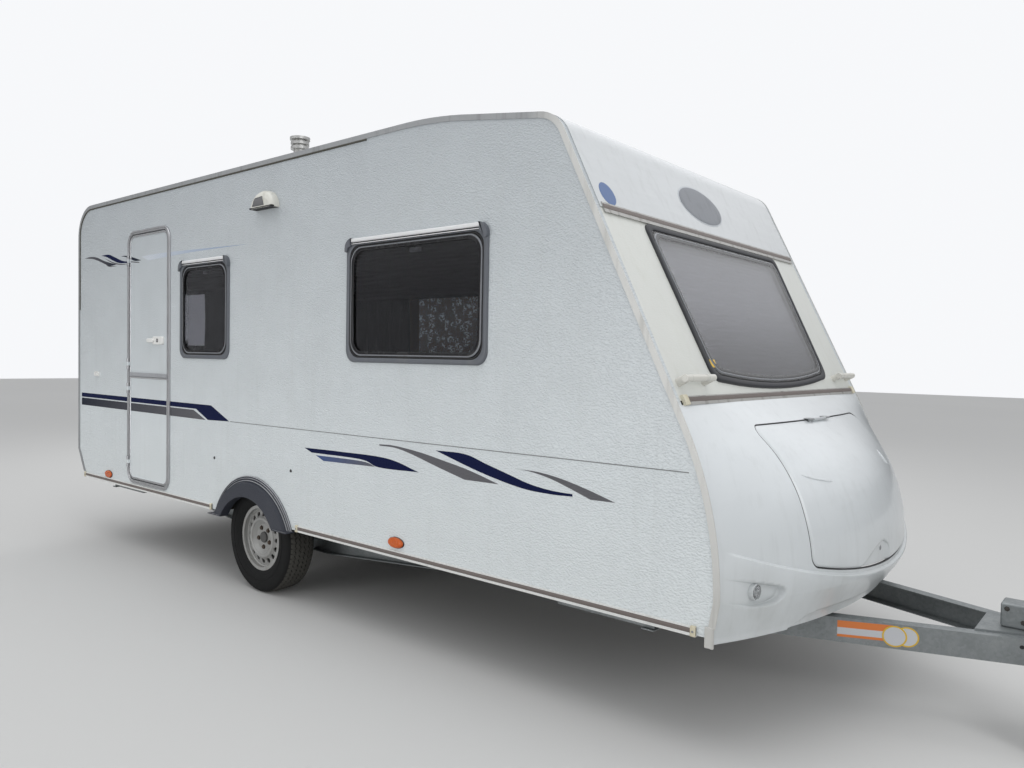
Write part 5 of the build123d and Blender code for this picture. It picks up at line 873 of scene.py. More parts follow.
# Raised lines pressed into the lid, one rising to each side, with columns: places on the lid
for name, spots in (("right", [(-0.592, 1.000), (-0.525, 0.981), (-0.455, 0.967), (-0.390, 0.957)]),
                    ("left", [(0.392, 0.957), (0.372, 0.975), (0.360, 0.998), (0.356, 1.030)])):
    rows, size = [], len(spots) * 6
    smooth = softened([spots[0] + (True,)] + spots[1:-1] + [spots[-1] + (True,)], 6)[:3 * 6 + 1]
    for i, (y, z) in enumerate(smooth):
        (y0, z0), (y1, z1) = smooth[max(i - 1, 0)], smooth[min(i + 1, len(smooth) - 1)]
        run = Vector((0, y1 - y0, z1 - z0)).normalized()
        across_run = Vector((1, 0, 0)).cross(run)
        taper = min(1, (i + 0.6) / 4, (len(smooth) - 0.4 - i) / 4)
        centre = Vector((at(lid_x, y, z) - 0.002, y, z))
        rows.append((centre, across_run * taper, Vector((1, 0, 0)) * taper))
    dome = [(0.0065, 0), (0.0045, 0.005), (0, 0.0075), (-0.0045, 0.005), (-0.0065, 0)]
    swept(f"lid_line_{name}", rows, dome[::-1], gel_coat, "locker_lid")

# Lid lock and hinge: a chromed cylinder lock in the lid's hollow, and an aluminium knuckle on its
# head with the pin through it.
LOCK_Y, LOCK_Z = -0.100, 0.655
chrome = metal("bright_chrome", (0.62, 0.63, 0.64, 1), (0.25, 0.25, 0.24, 1), 0.14, 0.9, runs=0.1, dust=0.2,
               scratches=0.0001)
lock_x = at(lid_x, LOCK_Y, LOCK_Z)
lathe("lid_lock_collar", [(0.016, -0.002), (0.016, 0.002), (0.014, 0.0045), (0.0115, 0.005), (0.011, 0.0035),
                          (0, 0.0035)],
      (lock_x, LOCK_Y, LOCK_Z), (1, -0.05, -0.05), chrome, "locker_lid", 28)
lathe("lid_lock_barrel", [(0.0095, 0), (0.0095, 0.006), (0.008, 0.0072), (0, 0.0072)],
      (lock_x, LOCK_Y, LOCK_Z), (1, -0.05, -0.05), rail_finish, "locker_lid", 24)
block("lid_lock_slot", (lock_x + 0.0066, LOCK_Y - 0.0012, LOCK_Z - 0.005),
      (lock_x + 0.0076, LOCK_Y + 0.0012, LOCK_Z + 0.005),
      0.0004, black_plastic, "locker_lid", 1)

# Lid seal: a strip of black rubber pressed into the gap round the locker lid, with its outer edge just below the gel
# coat; its black also stands in for the joint's shadow, as painted shadow.
gap = resampled(lid_outline(LID_GAP / 2), 0.015)
lid_gap_shadow_x = nose_x(np.array([y for y, _ in gap]), np.array([z for _, z in gap])) - 0.0005
path = []
for i, (y, z) in enumerate(gap):
    (ay, az), (by, bz) = gap[i - 1], gap[(i + 1) % len(gap)]
    path.append((Vector((lid_gap_shadow_x[i], y, z)), Vector((0, bz - az, ay - by)).normalized(), Vector((1, 0, 0))))
swept("lid_gap_painted_shadow", path, [(-0.0019, -0.008), (0.0019, -0.008), (0.0019, 0), (-0.0019, 0)], black_plastic,
              closed=True)

HINGE_Z, KNUCKLE_HALF, HINGE_HALF, HINGE_RADIUS = LID_TOP_Z + LID_GAP, 0.0748, 0.130, 0.005
hinge_x = at(nose_x, 0.0, LID_TOP_Z) + LID_PROUD + HINGE_RADIUS + 0.002
knuckle = [(0, 0), (HINGE_RADIUS - 0.0008, 0), (HINGE_RADIUS, 0.0008)]
lathe("lid_hinge_knuckle", knuckle + [(HINGE_RADIUS, 2 * KNUCKLE_HALF - 0.0008),
                                      (HINGE_RADIUS - 0.0008, 2 * KNUCKLE_HALF),
                                      (0, 2 * KNUCKLE_HALF)],
      (hinge_x, -KNUCKLE_HALF, HINGE_Z), (0, 1, 0), gel_coat, "locker_lid", 20)
block("lid_hinge_strap", (hinge_x - 0.016, -KNUCKLE_HALF, HINGE_Z - 0.009), (hinge_x, KNUCKLE_HALF, HINGE_Z - 0.0025),
      0.001,
      gel_coat, "locker_lid", 2)
for side, name in SIDES:
    start, end = sorted((side * (KNUCKLE_HALF + 0.0004), side * HINGE_HALF))
    lathe(f"nose_hinge_knuckle_{name}", knuckle + [(HINGE_RADIUS, end - start - 0.0008),
                                                   (HINGE_RADIUS - 0.0008, end - start),
                                                   (0, end - start)], (hinge_x, start, HINGE_Z), (0, 1, 0), rail_finish,
          steps=20)
    block(f"nose_hinge_leaf_{name}", (hinge_x - 0.028, start, HINGE_Z + 0.001), (hinge_x - 0.001, end, HINGE_Z + 0.005),
          0.001, rail_finish, segments=2)

# Front lamps: round clear plastic lenses over a silvered bowl, each pressed into its hollow
# of the nose behind a thin ring.
clear_lens = material("clear_lens", Base_Color=(0.95, 0.96, 0.97, 1), Roughness=0.04, IOR=1.49,
                      Transmission_Weight=0.92)
ribbed(clear_lens, 60.0, "Z", 0.0006)
silvered = metal("silvered_bowl", (0.75, 0.76, 0.77, 1), (0.35, 0.35, 0.34, 1), 0.16, 1.0, runs=0.0, dust=0.1,
                 scratches=0.0001)
grey_rim = aged("grey_rim_plastic", (0.36, 0.37, 0.39, 1), (0.12, 0.12, 0.11, 1), 0.3, 0.3, 0.35, Roughness=0.4)
lamp_pieces = []
for side, name in SIDES:
    back = at(moulded_x, side * LAMP_Y, LAMP_Z)
    proud = at(nose_x, LAMP_Y, LAMP_Z) + 0.012 - back
    lean = (1, side * 0.16, 0)
    spot = (back, side * LAMP_Y, LAMP_Z)
    r = LAMP_RADIUS
    lens = lathe(f"front_lamp_lens_{name}", [(0, proud - 0.010), (r * 0.55, proud - 0.0115), (r * 0.78, proud - 0.016),
                                             (r * 0.84, proud - 0.020), (r * 0.80, proud - 0.021),
                                             (r * 0.5, proud - 0.0145),
                                             (0, proud - 0.0135)][::-1], spot, lean, clear_lens, steps=40)
    bowl = lathe(f"front_lamp_bowl_{name}", [(0, 0.001), (r * 0.35, 0.002), (r * 0.62, 0.006),
                                             (r * 0.80, proud - 0.020)],
                 spot, lean, silvered, steps=40)
    ring = lathe(f"front_lamp_ring_{name}", [(r * 0.80, proud - 0.0195), (r * 0.84, proud - 0.0155),
                                             (r * 0.92, proud - 0.0145),
                                             (r * 0.985, proud - 0.018), (r, -0.006), (r * 0.9, -0.006)],
                 spot, lean, gel_coat, steps=48)
    lamp_pieces += [lens, bowl, ring]
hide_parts("front_marker_lamps")

# Brow moulding: a gloss white plastic cap over the front corner of the roof, with a blank grey
# oval plate in the middle and a blank blue disc near its right end.
brow_finish = aged("gloss_white_moulding", (0.56, 0.585, 0.60, 1), GEL_GRIME, 0.2, 0.0, 0.27, Coat_Weight=0.5,
                   Coat_Roughness=0.15)
grained(brow_finish, 5.0, 0.003)
dress(brow_finish, "brow_moulding")
slope_run = Vector((SLOPE_FOOT[0] - BROW_REACH, 0, SLOPE_FOOT[1] - BROW_Z)).normalized()
SLOPE_UP, SLOPE_OUT = -slope_run, Vector((-slope_run.z, 0, slope_run.x))


def on_slope(y, z, proud=0.0):
    """A place over the sloping front at a distance across, a height and a distance proud."""
    x = float(wall_front(np.array([z]))[0])
    return Vector((ARCH_X + x, y, z)) + SLOPE_OUT * proud


badge_finish = metal("badge_grey", (0.175, 0.188, 0.21, 1), (0.10, 0.10, 0.10, 1), 0.30, 0.35, runs=0.2, dust=0.0,
                     scratches=0.0001)
badge_edge = metal("badge_edge", (0.46, 0.49, 0.52, 1), (0.2, 0.2, 0.2, 1), 0.28, 0.3, runs=0.2, dust=0.0,
                   scratches=0.0001)
disc_blue = aged("disc_blue", (0.058, 0.125, 0.30, 1), (0.26, 0.30, 0.34, 1), 0.3, 0.0, 0.35, Coat_Weight=0.1)


def oval(name, spot, middle, half, rings, finish, mirrored=False):
    """A domed oval plate on a surface; ring rows are (share of its size, how far proud)."""
    steps = 48
    turns = [(-1 if mirrored else 1) * 2 * pi * step / steps for step in range(steps)]
    points = [spot(middle[0] + half[0] * share * cos(turn), middle[1] + half[1] * share * sin(turn), proud)
              for share, proud in rings for turn in turns]
    faces = bands(steps, len(rings)) + [tuple((len(rings) - 1) * steps + step for step in range(steps))]
    return piece(name, points, faces, finish, crease=50)


BADGE_Z, DISC_Y, DISC_Z = 2.205, -0.920, 2.107
# Plates on the brow, with columns: name, middle, half size, how far proud, thickness, finish
for name, middle, half, proud, thick, finish in (
        ("badge_edge", (0, BADGE_Z), (0.222, 0.1003), 0.004, 0.0012, badge_edge),
        ("badge_plate", (0, BADGE_Z), (0.213, 0.0932), 0.0052, 0.0014, badge_finish),
        ("blue_disc", (DISC_Y, DISC_Z), (0.055, 0.0493), 0.004, 0.0005, disc_blue)):
    rings = [(share, proud + thick * lift) for share, lift in ((1.0, 0.0), (1.0, 0.6), (0.97, 1.0), (0.8, 1.15),
                                                               (0.4, 1.25))]
    oval(name, on_slope, middle, half, rings, finish)

# Front window panel: a flat ivory-painted sheet between the brow and the nose, its joints covered by
# aluminium trims, the lower one with a brown vinyl insert and an ivory cap on each end.
ivory_paint = aged("ivory_paint", (0.665, 0.68, 0.645, 1), (0.50, 0.49, 0.40, 1), 0.16, 0.0, 0.34, Coat_Weight=0.2,
                   Coat_Roughness=0.3)
grained(ivory_paint, 120.0, 0.0006, 3.0)
dress(ivory_paint, "front_window_panel")
trim_finish = metal("trim_aluminium", (0.42, 0.415, 0.40, 1), (0.10, 0.09, 0.075, 1), 0.36, 0.5, runs=0.6, dust=0.0)
dress(trim_finish, "front_trims")
UPPER_TRIM, LOWER_TRIM, TRIM_HALF, TRIM_PROUD = (2.019, 2.061), (1.268, 1.300), 1.005, 0.008


def slope_bar(name, z_span, y_span, section, finish, base):
    """A bar across the sloping front; its section rows are (share of its height, proud)."""
    span = (z_span[1] - z_span[0]) / SLOPE_UP.z
    rows = [(on_slope(y, z_span[0], base), SLOPE_UP * span, SLOPE_OUT) for y in y_span]
    return swept(name, rows, section, finish)


slope_bar("upper_trim_insert", (UPPER_TRIM[0] + 0.012, UPPER_TRIM[1] - 0.010),
                  (TRIM_HALF - 0.002, -TRIM_HALF + 0.002),
                  [(0, 0), (0.06, 0.0012), (0.5, 0.0022), (0.94, 0.0012), (1, 0)], insert_finish, TRIM_PROUD)
slope_bar("lower_trim_insert", (LOWER_TRIM[0] + 0.008, LOWER_TRIM[1] - 0.007),
                  (TRIM_HALF - 0.03, -TRIM_HALF + 0.03),
                  [(0, 0), (0.06, 0.0012), (0.5, 0.0022), (0.94, 0.0012), (1, 0)], insert_finish, TRIM_PROUD)
for side, name in SIDES:
    ends = sorted((side * (TRIM_HALF - 0.032), side * (TRIM_HALF + 0.004)), reverse=True)
    slope_bar(f"lower_trim_cap_{name}", (LOWER_TRIM[0] - 0.003, LOWER_TRIM[1] + 0.002), ends,
                      [(0, -0.008), (0, 0.003), (0.12, 0.0055), (0.88, 0.0055), (1, 0.003), (1, -0.008)], ivory_plastic,
                      TRIM_PROUD)

# Grab handles: yellowing white plastic, one at each side of the front window, screwed to the
# front wall for moving the caravan by hand.
dress(painted_sheet("grab_white", (0.66, 0.65, 0.60, 1), 0.0, runs=0.8, dust=0.3), "grab_handles")

# Windows: double acrylic panes hung in grey plastic frames with a black rubber seal, a pale raised edge and a dark
# moulded border round each pane, and a white drip strip between two grey hoods over each side window. The raised edge's
# light grey is painted highlight, for the light it catches.
# Side windows, with columns: name, side, rear reach, front reach, bottom, top
WINDOWS = [
    ("kitchen", -1, -0.872, -0.265, 1.390, 2.020),
    ("lounge_right", -1, 0.880, 1.865, 1.394, 2.020),
    ("lounge_left", 1, 0.880, 1.865, 1.394, 2.020),
    ("bed_left", 1, -2.240, -1.480, 1.450, 2.020),
]
REAR_WINDOW = (-0.575, 0.575, 1.470, 1.990)
frame_grey = aged("window_frame_grey", (0.115, 0.125, 0.143, 1), (0.20, 0.20, 0.195, 1), 0.5, 0.0, 0.36)
grained(frame_grey, 900.0, 0.0002)
front_grey = aged("front_frame_grey", (0.028, 0.029, 0.034, 1), (0.10, 0.10, 0.095, 1), 0.3, 0.0, 0.4,
                  Specular_IOR_Level=0.35)
pane_border = aged("pane_border_dark", (0.016, 0.016, 0.018, 1), (0.05, 0.05, 0.05, 1), 0.4, 0.0, 0.18,
                   Coat_Weight=0.3, Coat_Roughness=0.08, Specular_IOR_Level=0.35)
seal_rubber = aged("seal_rubber", (0.012, 0.012, 0.013, 1), (0.06, 0.06, 0.055, 1), 0.6, 0.0, 0.55)
acrylic = material("tinted_acrylic", Base_Color=(0.47, 0.475, 0.50, 1), IOR=1.49, Transmission_Weight=1.0,
                   Specular_IOR_Level=0.15)
haze = node(acrylic.node_tree, "TexNoise", {"Scale": 4.0, "Detail": 8.0})
haze_range = node(acrylic.node_tree, "MapRange", {"Value": haze.outputs["Fac"], "To Min": 0.0, "To Max": 0.09})
acrylic.node_tree.links.new(haze_range.outputs[0], acrylic.node_tree.nodes["Principled BSDF"].inputs["Roughness"])
dress(acrylic, "window_panes")
# Painted highlight: the pane's raised edge is coloured light grey all round, for the light caught along it.
pane_edge_painted_highlight = aged("pane_edge_highlight_grey", (0.20, 0.21, 0.23, 1), (0.08, 0.08, 0.08, 1), 0.6, 0.0, 0.24, Coat_Weight=0.4)


def window_ring(name, outline, section, spot, finish, body="caravan"):
    """A frame round an outline; section rows are (how far inside the outline, how far proud)."""
    points = [spot(u, v, proud) for inset, proud in section for u, v in drawn_in(outline, inset)]
    made = piece(name, points, bands(len(outline), len(section), True), finish, body, 40)
    return made


def rectangle(left, right, bottom, top, radius):
    """A rounded rectangle's outline, anticlockwise."""
    return rounded([(left, bottom, radius), (right, bottom, radius), (right, top, radius), (left, top, radius)], 9)


def nested_ring(name, rings, spot, finish):
    """A closed band through outlines of as many places each; rows are (outline, how far proud)."""
    points = [spot(u, v, proud) for outline, proud in rings for u, v in outline]
    made = piece(name, points, bands(len(rings[0][0]), len(rings)), finish, crease=40)
    return made


# Rings of a window from the outside in, with columns: how far inside, how far proud, corner radius
FRAME_ROWS = [(0, 0, 0.062), (0.0006, 0.0060, 0.062), (0.0035, 0.0098, 0.063), (0.008, 0.0110, 0.065),
              (0.020, 0.0105, 0.070), (0.0240, 0.0085, 0.072), (0.0250, 0.0030, 0.073), (0.0250, -0.029, 0.073)]
SEAL_ROWS = [(0.0248, -0.004, 0.073), (0.0250, 0.0052, 0.073), (0.0275, 0.0070, 0.074), (0.0305, 0.0072, 0.076),
             (0.0330, 0.0055, 0.078), (0.0345, 0.0040, 0.080), (0.0345, -0.004, 0.080)]
EDGE_ROWS = [(0.0343, 0.0040, 0.080), (0.0350, 0.0074, 0.080), (0.0370, 0.0094, 0.080), (0.0395, 0.0096, 0.080),
             (0.0410, 0.0086, 0.079)]
BORDER_ROWS = [(0.0408, 0.0080, 0.079), (0.0440, 0.0086, 0.078), (0.0520, 0.0080, 0.074), (0.0560, 0.0071, 0.072),
               (0.0562, 0.0040, 0.072)]


def side_spot(side):
    """Where a place on a side wall is, from its reach, height and how far it stands proud."""
    return lambda u, v, w: Vector((ARCH_X + u, side * (SIDE_Y + w), v))


def rear_spot(u, v, w):
    """Where a place on the rear wall is, from its distance across, height and how far proud."""
    return Vector((ARCH_X + REAR_REACH - w, u, v))


def front_row(inset, radius):
    """The front window's outline, so far inside its edge and with its lower corners this round."""
    low, side = FRONT_LOW_Z + inset, FRONT_SIDE_Z + inset
    half_low, half_top = FRONT_LOW_HALF - inset, FRONT_TOP_HALF - inset
    corner = [(half_low, side, radius), (half_top, FRONT_TOP_Z - inset, radius * 0.6),
              (-half_top, FRONT_TOP_Z - inset, radius * 0.6), (-half_low, side, radius)]
    return rounded(corner + arc_between((-half_low, side), (0, low), (half_low, side), 12)[2:-1])


FRONT_TOP_Z, FRONT_TOP_HALF, FRONT_LOW_HALF, FRONT_SIDE_Z, FRONT_LOW_Z = 2.014, 0.712, 0.678, 1.352, 1.311
openings = [(name, lambda inset, radius, box=(rear, front, bottom, top): rectangle(
    box[0] + inset, box[1] - inset, box[2] + inset, box[3] - inset, radius), side_spot(side), side)
            for name, side, rear, front, bottom, top in WINDOWS]
openings.append(("rear", lambda inset, radius: rectangle(REAR_WINDOW[0] + inset, REAR_WINDOW[1] - inset,
                                                         REAR_WINDOW[2] + inset,
                                                         REAR_WINDOW[3] - inset, radius), rear_spot, 1))
openings.append(("front", front_row, on_slope, -1))
for name, row, spot, side in openings:
    for label, rows, finish in (("frame", FRAME_ROWS, frame_grey), ("seal", SEAL_ROWS, seal_rubber),
                                ("pane_edge", EDGE_ROWS, pane_edge_painted_highlight), ("pane_border", BORDER_ROWS, pane_border)):
        rings = [(row(inset, radius)[::-side], proud) for inset, proud, radius in rows]
        made = nested_ring(f"window_{label}_{name}", rings, spot,
                           front_grey if name == "front" and label == "frame" else finish)
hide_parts("window_frames")

HOOD_LENGTH, HOOD_PROUD = 0.044, 0.0225
strip_white = painted_sheet("strip_white", (0.78, 0.785, 0.79, 1), 0.0, runs=0.12, dust=0.0)
for name, side, rear, front, bottom, top in WINDOWS:
    for end, way, reach in (("rear", 1, rear), ("front", -1, front)):
        corners = [(reach - way * 0.001, top - 0.058, 0.006), (reach - way * 0.001, top + 0.011, 0.050),
                   (reach + way * HOOD_LENGTH, top + 0.011, 0.003), (reach + way * HOOD_LENGTH, top - 0.030, 0.004),
                   (reach + way * 0.024, top - 0.034, 0.010), (reach + way * 0.014, top - 0.058, 0.006)]
        hood = plate(f"window_hood_{name}_{end}", rounded(corners, 5), frame_grey, side, SIDE_Y, HOOD_PROUD)
        rounding = hood.modifiers.new("edges", "BEVEL")
        rounding.width, rounding.segments, rounding.angle_limit = 0.004, 3, radians(60)
    # The strip's parts, with columns: name, low, high, how far proud, edge rounding, finish
    for label, low, high, proud, edge, finish in (("roll", -0.010, 0.010, 0.0200, 0.0065, strip_white),
                                                  ("groove", -0.024, -0.009, 0.0130, 0.0010, seal_rubber),
                                                  ("lip", -0.020, -0.016, 0.0150, 0.0010, strip_white),
                                                  ("foot", -0.026, -0.0235, 0.0155, 0.0010, frame_grey)):
        y = across(side, SIDE_Y + 0.0002, SIDE_Y + proud)
        made = block(f"drip_strip_{label}_{name}", (ARCH_X + rear + HOOD_LENGTH - 0.002, y[0], top + low),
                     (ARCH_X + front - HOOD_LENGTH + 0.002, y[1], top + high), edge, finish)
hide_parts("window_drip_strips")

# Behind the panes: a black pleated blind half way down the lounge windows, a dark lining at the kitchen window with a
# blank sheet of paper in its corner, dark curtains, net curtains, and catches on the panes. The blind, lining and
# curtains share one cloth whose near-black tone is partly painted shade, standing in for the dim cabin behind the
# glass.
# Painted shade: this cloth is darkened to near black for the dim cabin behind the panes.
dark_cloth_and_painted_shade = material("black_blind_painted_shade", Roughness=0.9, Specular_IOR_Level=0.1)
grained(dark_cloth_and_painted_shade, 400.0, 0.0008, 3.0, ((0.001, 0.001, 0.0012, 1), (0.004, 0.004, 0.005, 1)))
silver_blind = material("silver_blind", Roughness=0.6, Sheen_Weight=0.2)
grain = node(silver_blind.node_tree, "TexNoise", {"Scale": 300.0, "Detail": 3.0})
tint = mixed(silver_blind.node_tree, grain.outputs["Fac"], (0.82, 0.82, 0.84, 1), (0.94, 0.94, 0.96, 1))
# Painted shade: the silver blind darkens to near black towards its foot, for the shade cast by the seats and ledge
# below the front window.
axes = node(silver_blind.node_tree, "SeparateXYZ", {0: node(silver_blind.node_tree, "TexCoord").outputs["Object"]})
front_blind_painted_shade = node(silver_blind.node_tree, "MapRange", {"Value": axes.outputs["Z"], "From Min": 1.36, "From Max": 1.74},
             interpolation_type="SMOOTHSTEP")
tint = mixed(silver_blind.node_tree, front_blind_painted_shade.outputs[0], (0.075, 0.075, 0.085, 1), tint)
silver_blind.node_tree.links.new(tint, silver_blind.node_tree.nodes["Principled BSDF"].inputs["Base Color"])
bump(silver_blind, grain.outputs["Fac"], 0.0006)
net = material("net_curtain", Roughness=0.8, Sheen_Weight=0.2)
tree = net.node_tree
place = node(tree, "TexCoord")
threads = node(tree, "TexVoronoi", {"Vector": place.outputs["Object"], "Scale": 230.0}, feature="DISTANCE_TO_EDGE")
flowers = node(tree, "TexVoronoi", {"Vector": place.outputs["Object"], "Scale": 26.0, "Randomness": 0.9})
petals = node(tree, "TexNoise", {"Vector": place.outputs["Object"], "Scale": 120.0, "Detail": 4.0})
thread_mask = node(tree, "MapRange", {"Value": threads.outputs["Distance"], "From Min": 0.04, "From Max": 0.09,
                                      "To Min": 0.75, "To Max": 0.12})
flower_mask = node(tree, "MapRange", {"Value": flowers.outputs["Distance"], "From Min": 0.40, "From Max": 0.50,
                                      "To Min": 0.95, "To Max": 0.0})
petal_mask = node(tree, "MapRange", {"Value": petals.outputs["Fac"], "From Min": 0.48, "From Max": 0.53})
worked = node(tree, "Math", {0: flower_mask.outputs[0], 1: petal_mask.outputs[0]}, operation="MULTIPLY")
solid = node(tree, "Math", {0: worked.outputs[0], 1: thread_mask.outputs[0]}, operation="MAXIMUM")
tree.links.new(solid.outputs[0], tree.nodes["Principled BSDF"].inputs["Alpha"])
tone = mixed(tree, worked.outputs[0], (0.55, 0.55, 0.53, 1), (0.86, 0.86, 0.83, 1))
tree.links.new(tone, tree.nodes["Principled BSDF"].inputs["Base Color"])
PLEAT, PLEAT_DEEP = 0.020, 0.007


def grid(rows, columns):
    """Faces of a sheet of places in rows and columns."""
    row = columns + 1
    return [(i * row + j, i * row + j + 1, (i + 1) * row + j + 1, (i + 1) * row + j)
            for i in range(rows) for j in range(columns)]


def pleated(name, left, right, top, bottom, spot, inside, finish, deep=PLEAT_DEEP):
    """A pleated blind drawn down from the head of a window."""
    folds = max(2, round((top - bottom) / (PLEAT / 2)))
    rows = [(top - (top - bottom) * i / folds, deep * (i % 2)) for i in range(folds + 1)]
    columns = 8
    points = [spot(left + (right - left) * j / columns, v, -inside - back) for v,
              back in rows for j in range(columns + 1)]
    faces = grid(folds, columns)
    made = piece(name, points, faces, finish, crease=10)
    return made


def gathered(name, left, right, top, bottom, spot, inside, finish, fullness=0.012, folds=9, seed=0.0):
    """A curtain hung in soft folds that widen downwards."""
    columns, rows = folds * 8, 14
    points, widths = [], []
    for i in range(rows + 1):
        v = top - (top - bottom) * i / rows
        line = []
        for j in range(columns + 1):
            share = j / columns
            sway = 0.25 * sin(2 * pi * share * 2.3 + seed) + 0.15 * sin(2.2 * i / rows + seed)
            deep = fullness * (0.75 + 0.35 * i / rows) * (sin(2 * pi * folds * share + sway * 3 + seed) + sway)
            line.append(spot(left + (right - left) * share, v, -inside - deep))
        widths.append(sum((b - a).length for a, b in zip(line, line[1:])))
        points += line
    faces = grid(rows, columns)
    made = piece(name, points, faces, finish, crease=180)
    return made


BEHIND_WALL, BEHIND_PANE = 0.040, 0.024
CATCH_TONE = aged("catch_grey_plastic", (0.20, 0.20, 0.21, 1), (0.1, 0.1, 0.1, 1), 0.2, 0.0, 0.4, Roughness=0.45)
for name, side, rear, front, bottom, top in WINDOWS:
    spot = side_spot(side)
    half_down = (bottom + top) / 2 + (0.0 if "lounge" in name else 0.12)
    pleated(f"blind_{name}", rear + 0.02, front - 0.02, top - 0.02, half_down, spot, BEHIND_WALL, dark_cloth_and_painted_shade)
    middle = (rear + front) / 2
    y = across(side, SIDE_Y - 0.034, SIDE_Y - 0.018)
    block(f"pane_catch_{name}", (ARCH_X + middle - 0.035, y[0], top - 0.086),
          (ARCH_X + middle + 0.035, y[1], top - 0.064),
          0.004, CATCH_TONE)
    if name == "kitchen":
        # Painted shade: a near-black curtain fills the kitchen window, for the dim cabin behind it.
        gathered("curtain_kitchen", rear + 0.03, front - 0.03, top - 0.03, bottom + 0.02, spot, BEHIND_WALL + 0.035,
                 dark_cloth_and_painted_shade, folds=6, seed=0.7)
    else:
        # Painted shade: a near-black curtain over the rear part of each lounge window blocks the light seen through the
        # far window.
        gathered(f"curtain_{name}", rear - 0.07, middle - 0.12, half_down + 0.02, bottom + 0.010, spot,
                 BEHIND_WALL + 0.055,
                 dark_cloth_and_painted_shade, folds=5, seed=0.3)
        gathered(f"net_{name}", middle - 0.02, front - 0.10, half_down + 0.02, bottom + 0.015, spot, BEHIND_WALL + 0.03,
                 net, fullness=0.010, folds=7, seed=1.9)
gathered("net_rear", REAR_WINDOW[0] + 0.03, REAR_WINDOW[1] - 0.03, REAR_WINDOW[3] - 0.03, REAR_WINDOW[2] + 0.03,
         rear_spot,
         BEHIND_WALL + 0.03, net, fullness=0.012, folds=14, seed=0.4)
front_low, front_high = FRONT_SIDE_Z + 0.01, FRONT_TOP_Z - 0.016
pleated("blind_front", -0.655, 0.655, front_high, front_low, on_slope, BEHIND_WALL, silver_blind, 0.0016)

paper = material("blank_paper", Roughness=0.9)
grained(paper, 90.0, detail=5.0, tones=((0.92, 0.92, 0.96, 1), (0.98, 0.98, 1.0, 1)))
PAPER_REACH, PAPER_Z, PAPER_WIDE, PAPER_TALL = -0.800, 1.475, 0.210, 0.330
points = [Vector((ARCH_X + PAPER_REACH + PAPER_WIDE * j / 6,
                  -(SIDE_Y - BEHIND_PANE - 0.0015 - 0.004 * sin(pi * i / 8) ** 2),
                  PAPER_Z + PAPER_TALL * i / 8)) for i in range(9) for j in range(7)]
piece("window_paper", points, grid(8, 6), paper)
yellow = material("yellow_film", Roughness=0.45)
grained(yellow, 60.0, detail=4.0, tones=((0.70, 0.42, 0.02, 1), (0.80, 0.55, 0.06, 1)))
window_sticker = [(0.604, 1.404), (0.652, 1.404), (0.652, 1.436), (0.604, 1.436)]
points = [on_slope(-y, z, 0.0074 + lift) for lift in (0, 0.0004) for y, z in window_sticker]
piece("yellow_window_film", points, [(7, 6, 5, 4), (0, 1, 5, 4), (1, 2, 6, 5), (2, 3, 7, 6), (3, 0, 4, 7)],
              yellow)

# Entrance door: two stamped white leaves in one aluminium frame, each leaf edged with a rolled
# aluminium bead, a grey weather bar over the split, and black rubber between frame and leaves.
DOOR = (-1.640, -1.010, 0.478, 2.290)
DOOR_RADIUS, DOOR_BAND, LEAF_GAP, DOOR_SPLIT = 0.095, 0.026, 0.006, 1.255
# The leaves are painted darker towards the roof as painted shade, like the walls.
leaf_finish = painted_sheet("leaf_white", WALL_WHITE, 0.0006, runs=0.10, dust=0.25, high=WALL_SHADED_TOP)
dress(leaf_finish, "door_upper", "door_lower")
bead_finish = metal("bead_aluminium", (0.50, 0.505, 0.52, 1), (0.14, 0.14, 0.13, 1), 0.26, 0.8, runs=0.3, dust=0.3)
dress(bead_finish, "door_frame")
dress(painted_sheet("catch_white", (0.82, 0.82, 0.80, 1), 0.0, runs=0.2, dust=0.1), "door_catch")
door_outline = rectangle(*DOOR, DOOR_RADIUS)
window_ring("door_frame_bead", door_outline, [(0.003, 0.0071), (0.0045, 0.0100), (0.008, 0.0112), (0.0115, 0.0100),
                                              (0.013, 0.0071)], side_spot(-1), bead_finish)
window_ring("door_frame_lip", door_outline, [(0.0175, 0.0071), (0.0185, 0.0092), (0.0215, 0.0100), (0.0250, 0.0092),
                                             (0.0258, 0.0071)], side_spot(-1), bead_finish)
window_ring("door_seal", door_outline, [(0.0262, -0.012), (0.0262, -0.0010), (0.0290, 0.0006), (0.0318, -0.0010),
                                        (0.0318, -0.012)], side_spot(-1), seal_rubber)
inset = DOOR_BAND + LEAF_GAP
leaf_rear, leaf_front = DOOR[0] + inset, DOOR[1] - inset
corner = DOOR_RADIUS - inset
LEAVES = [("upper", DOOR_SPLIT + LEAF_GAP / 2, DOOR[3] - inset, 0.005, corner),
          ("lower", DOOR[2] + inset, DOOR_SPLIT - LEAF_GAP / 2, corner, 0.005)]
for name, low, high, low_radius, high_radius in LEAVES:
    outline = rounded([(leaf_rear, low, low_radius), (leaf_front, low, low_radius), (leaf_front, high, high_radius),
                       (leaf_rear, high, high_radius)], 9)
    window_ring(f"leaf_bead_{name}", outline, [(0.0006, 0.0041), (0.0012, 0.0064), (0.0040, 0.0076), (0.0075, 0.0070),
                                               (0.0125, 0.0052), (0.0138, 0.0041)], side_spot(-1), bead_finish,
                f"door_{name}_leaf")
bar = block("door_split_bar", (ARCH_X + leaf_rear + 0.008, -SIDE_Y - 0.0115, DOOR_SPLIT - 0.002),
            (ARCH_X + leaf_front - 0.004, -SIDE_Y - 0.0041, DOOR_SPLIT + 0.024), 0.0025, grey_rim, "door_upper_leaf")

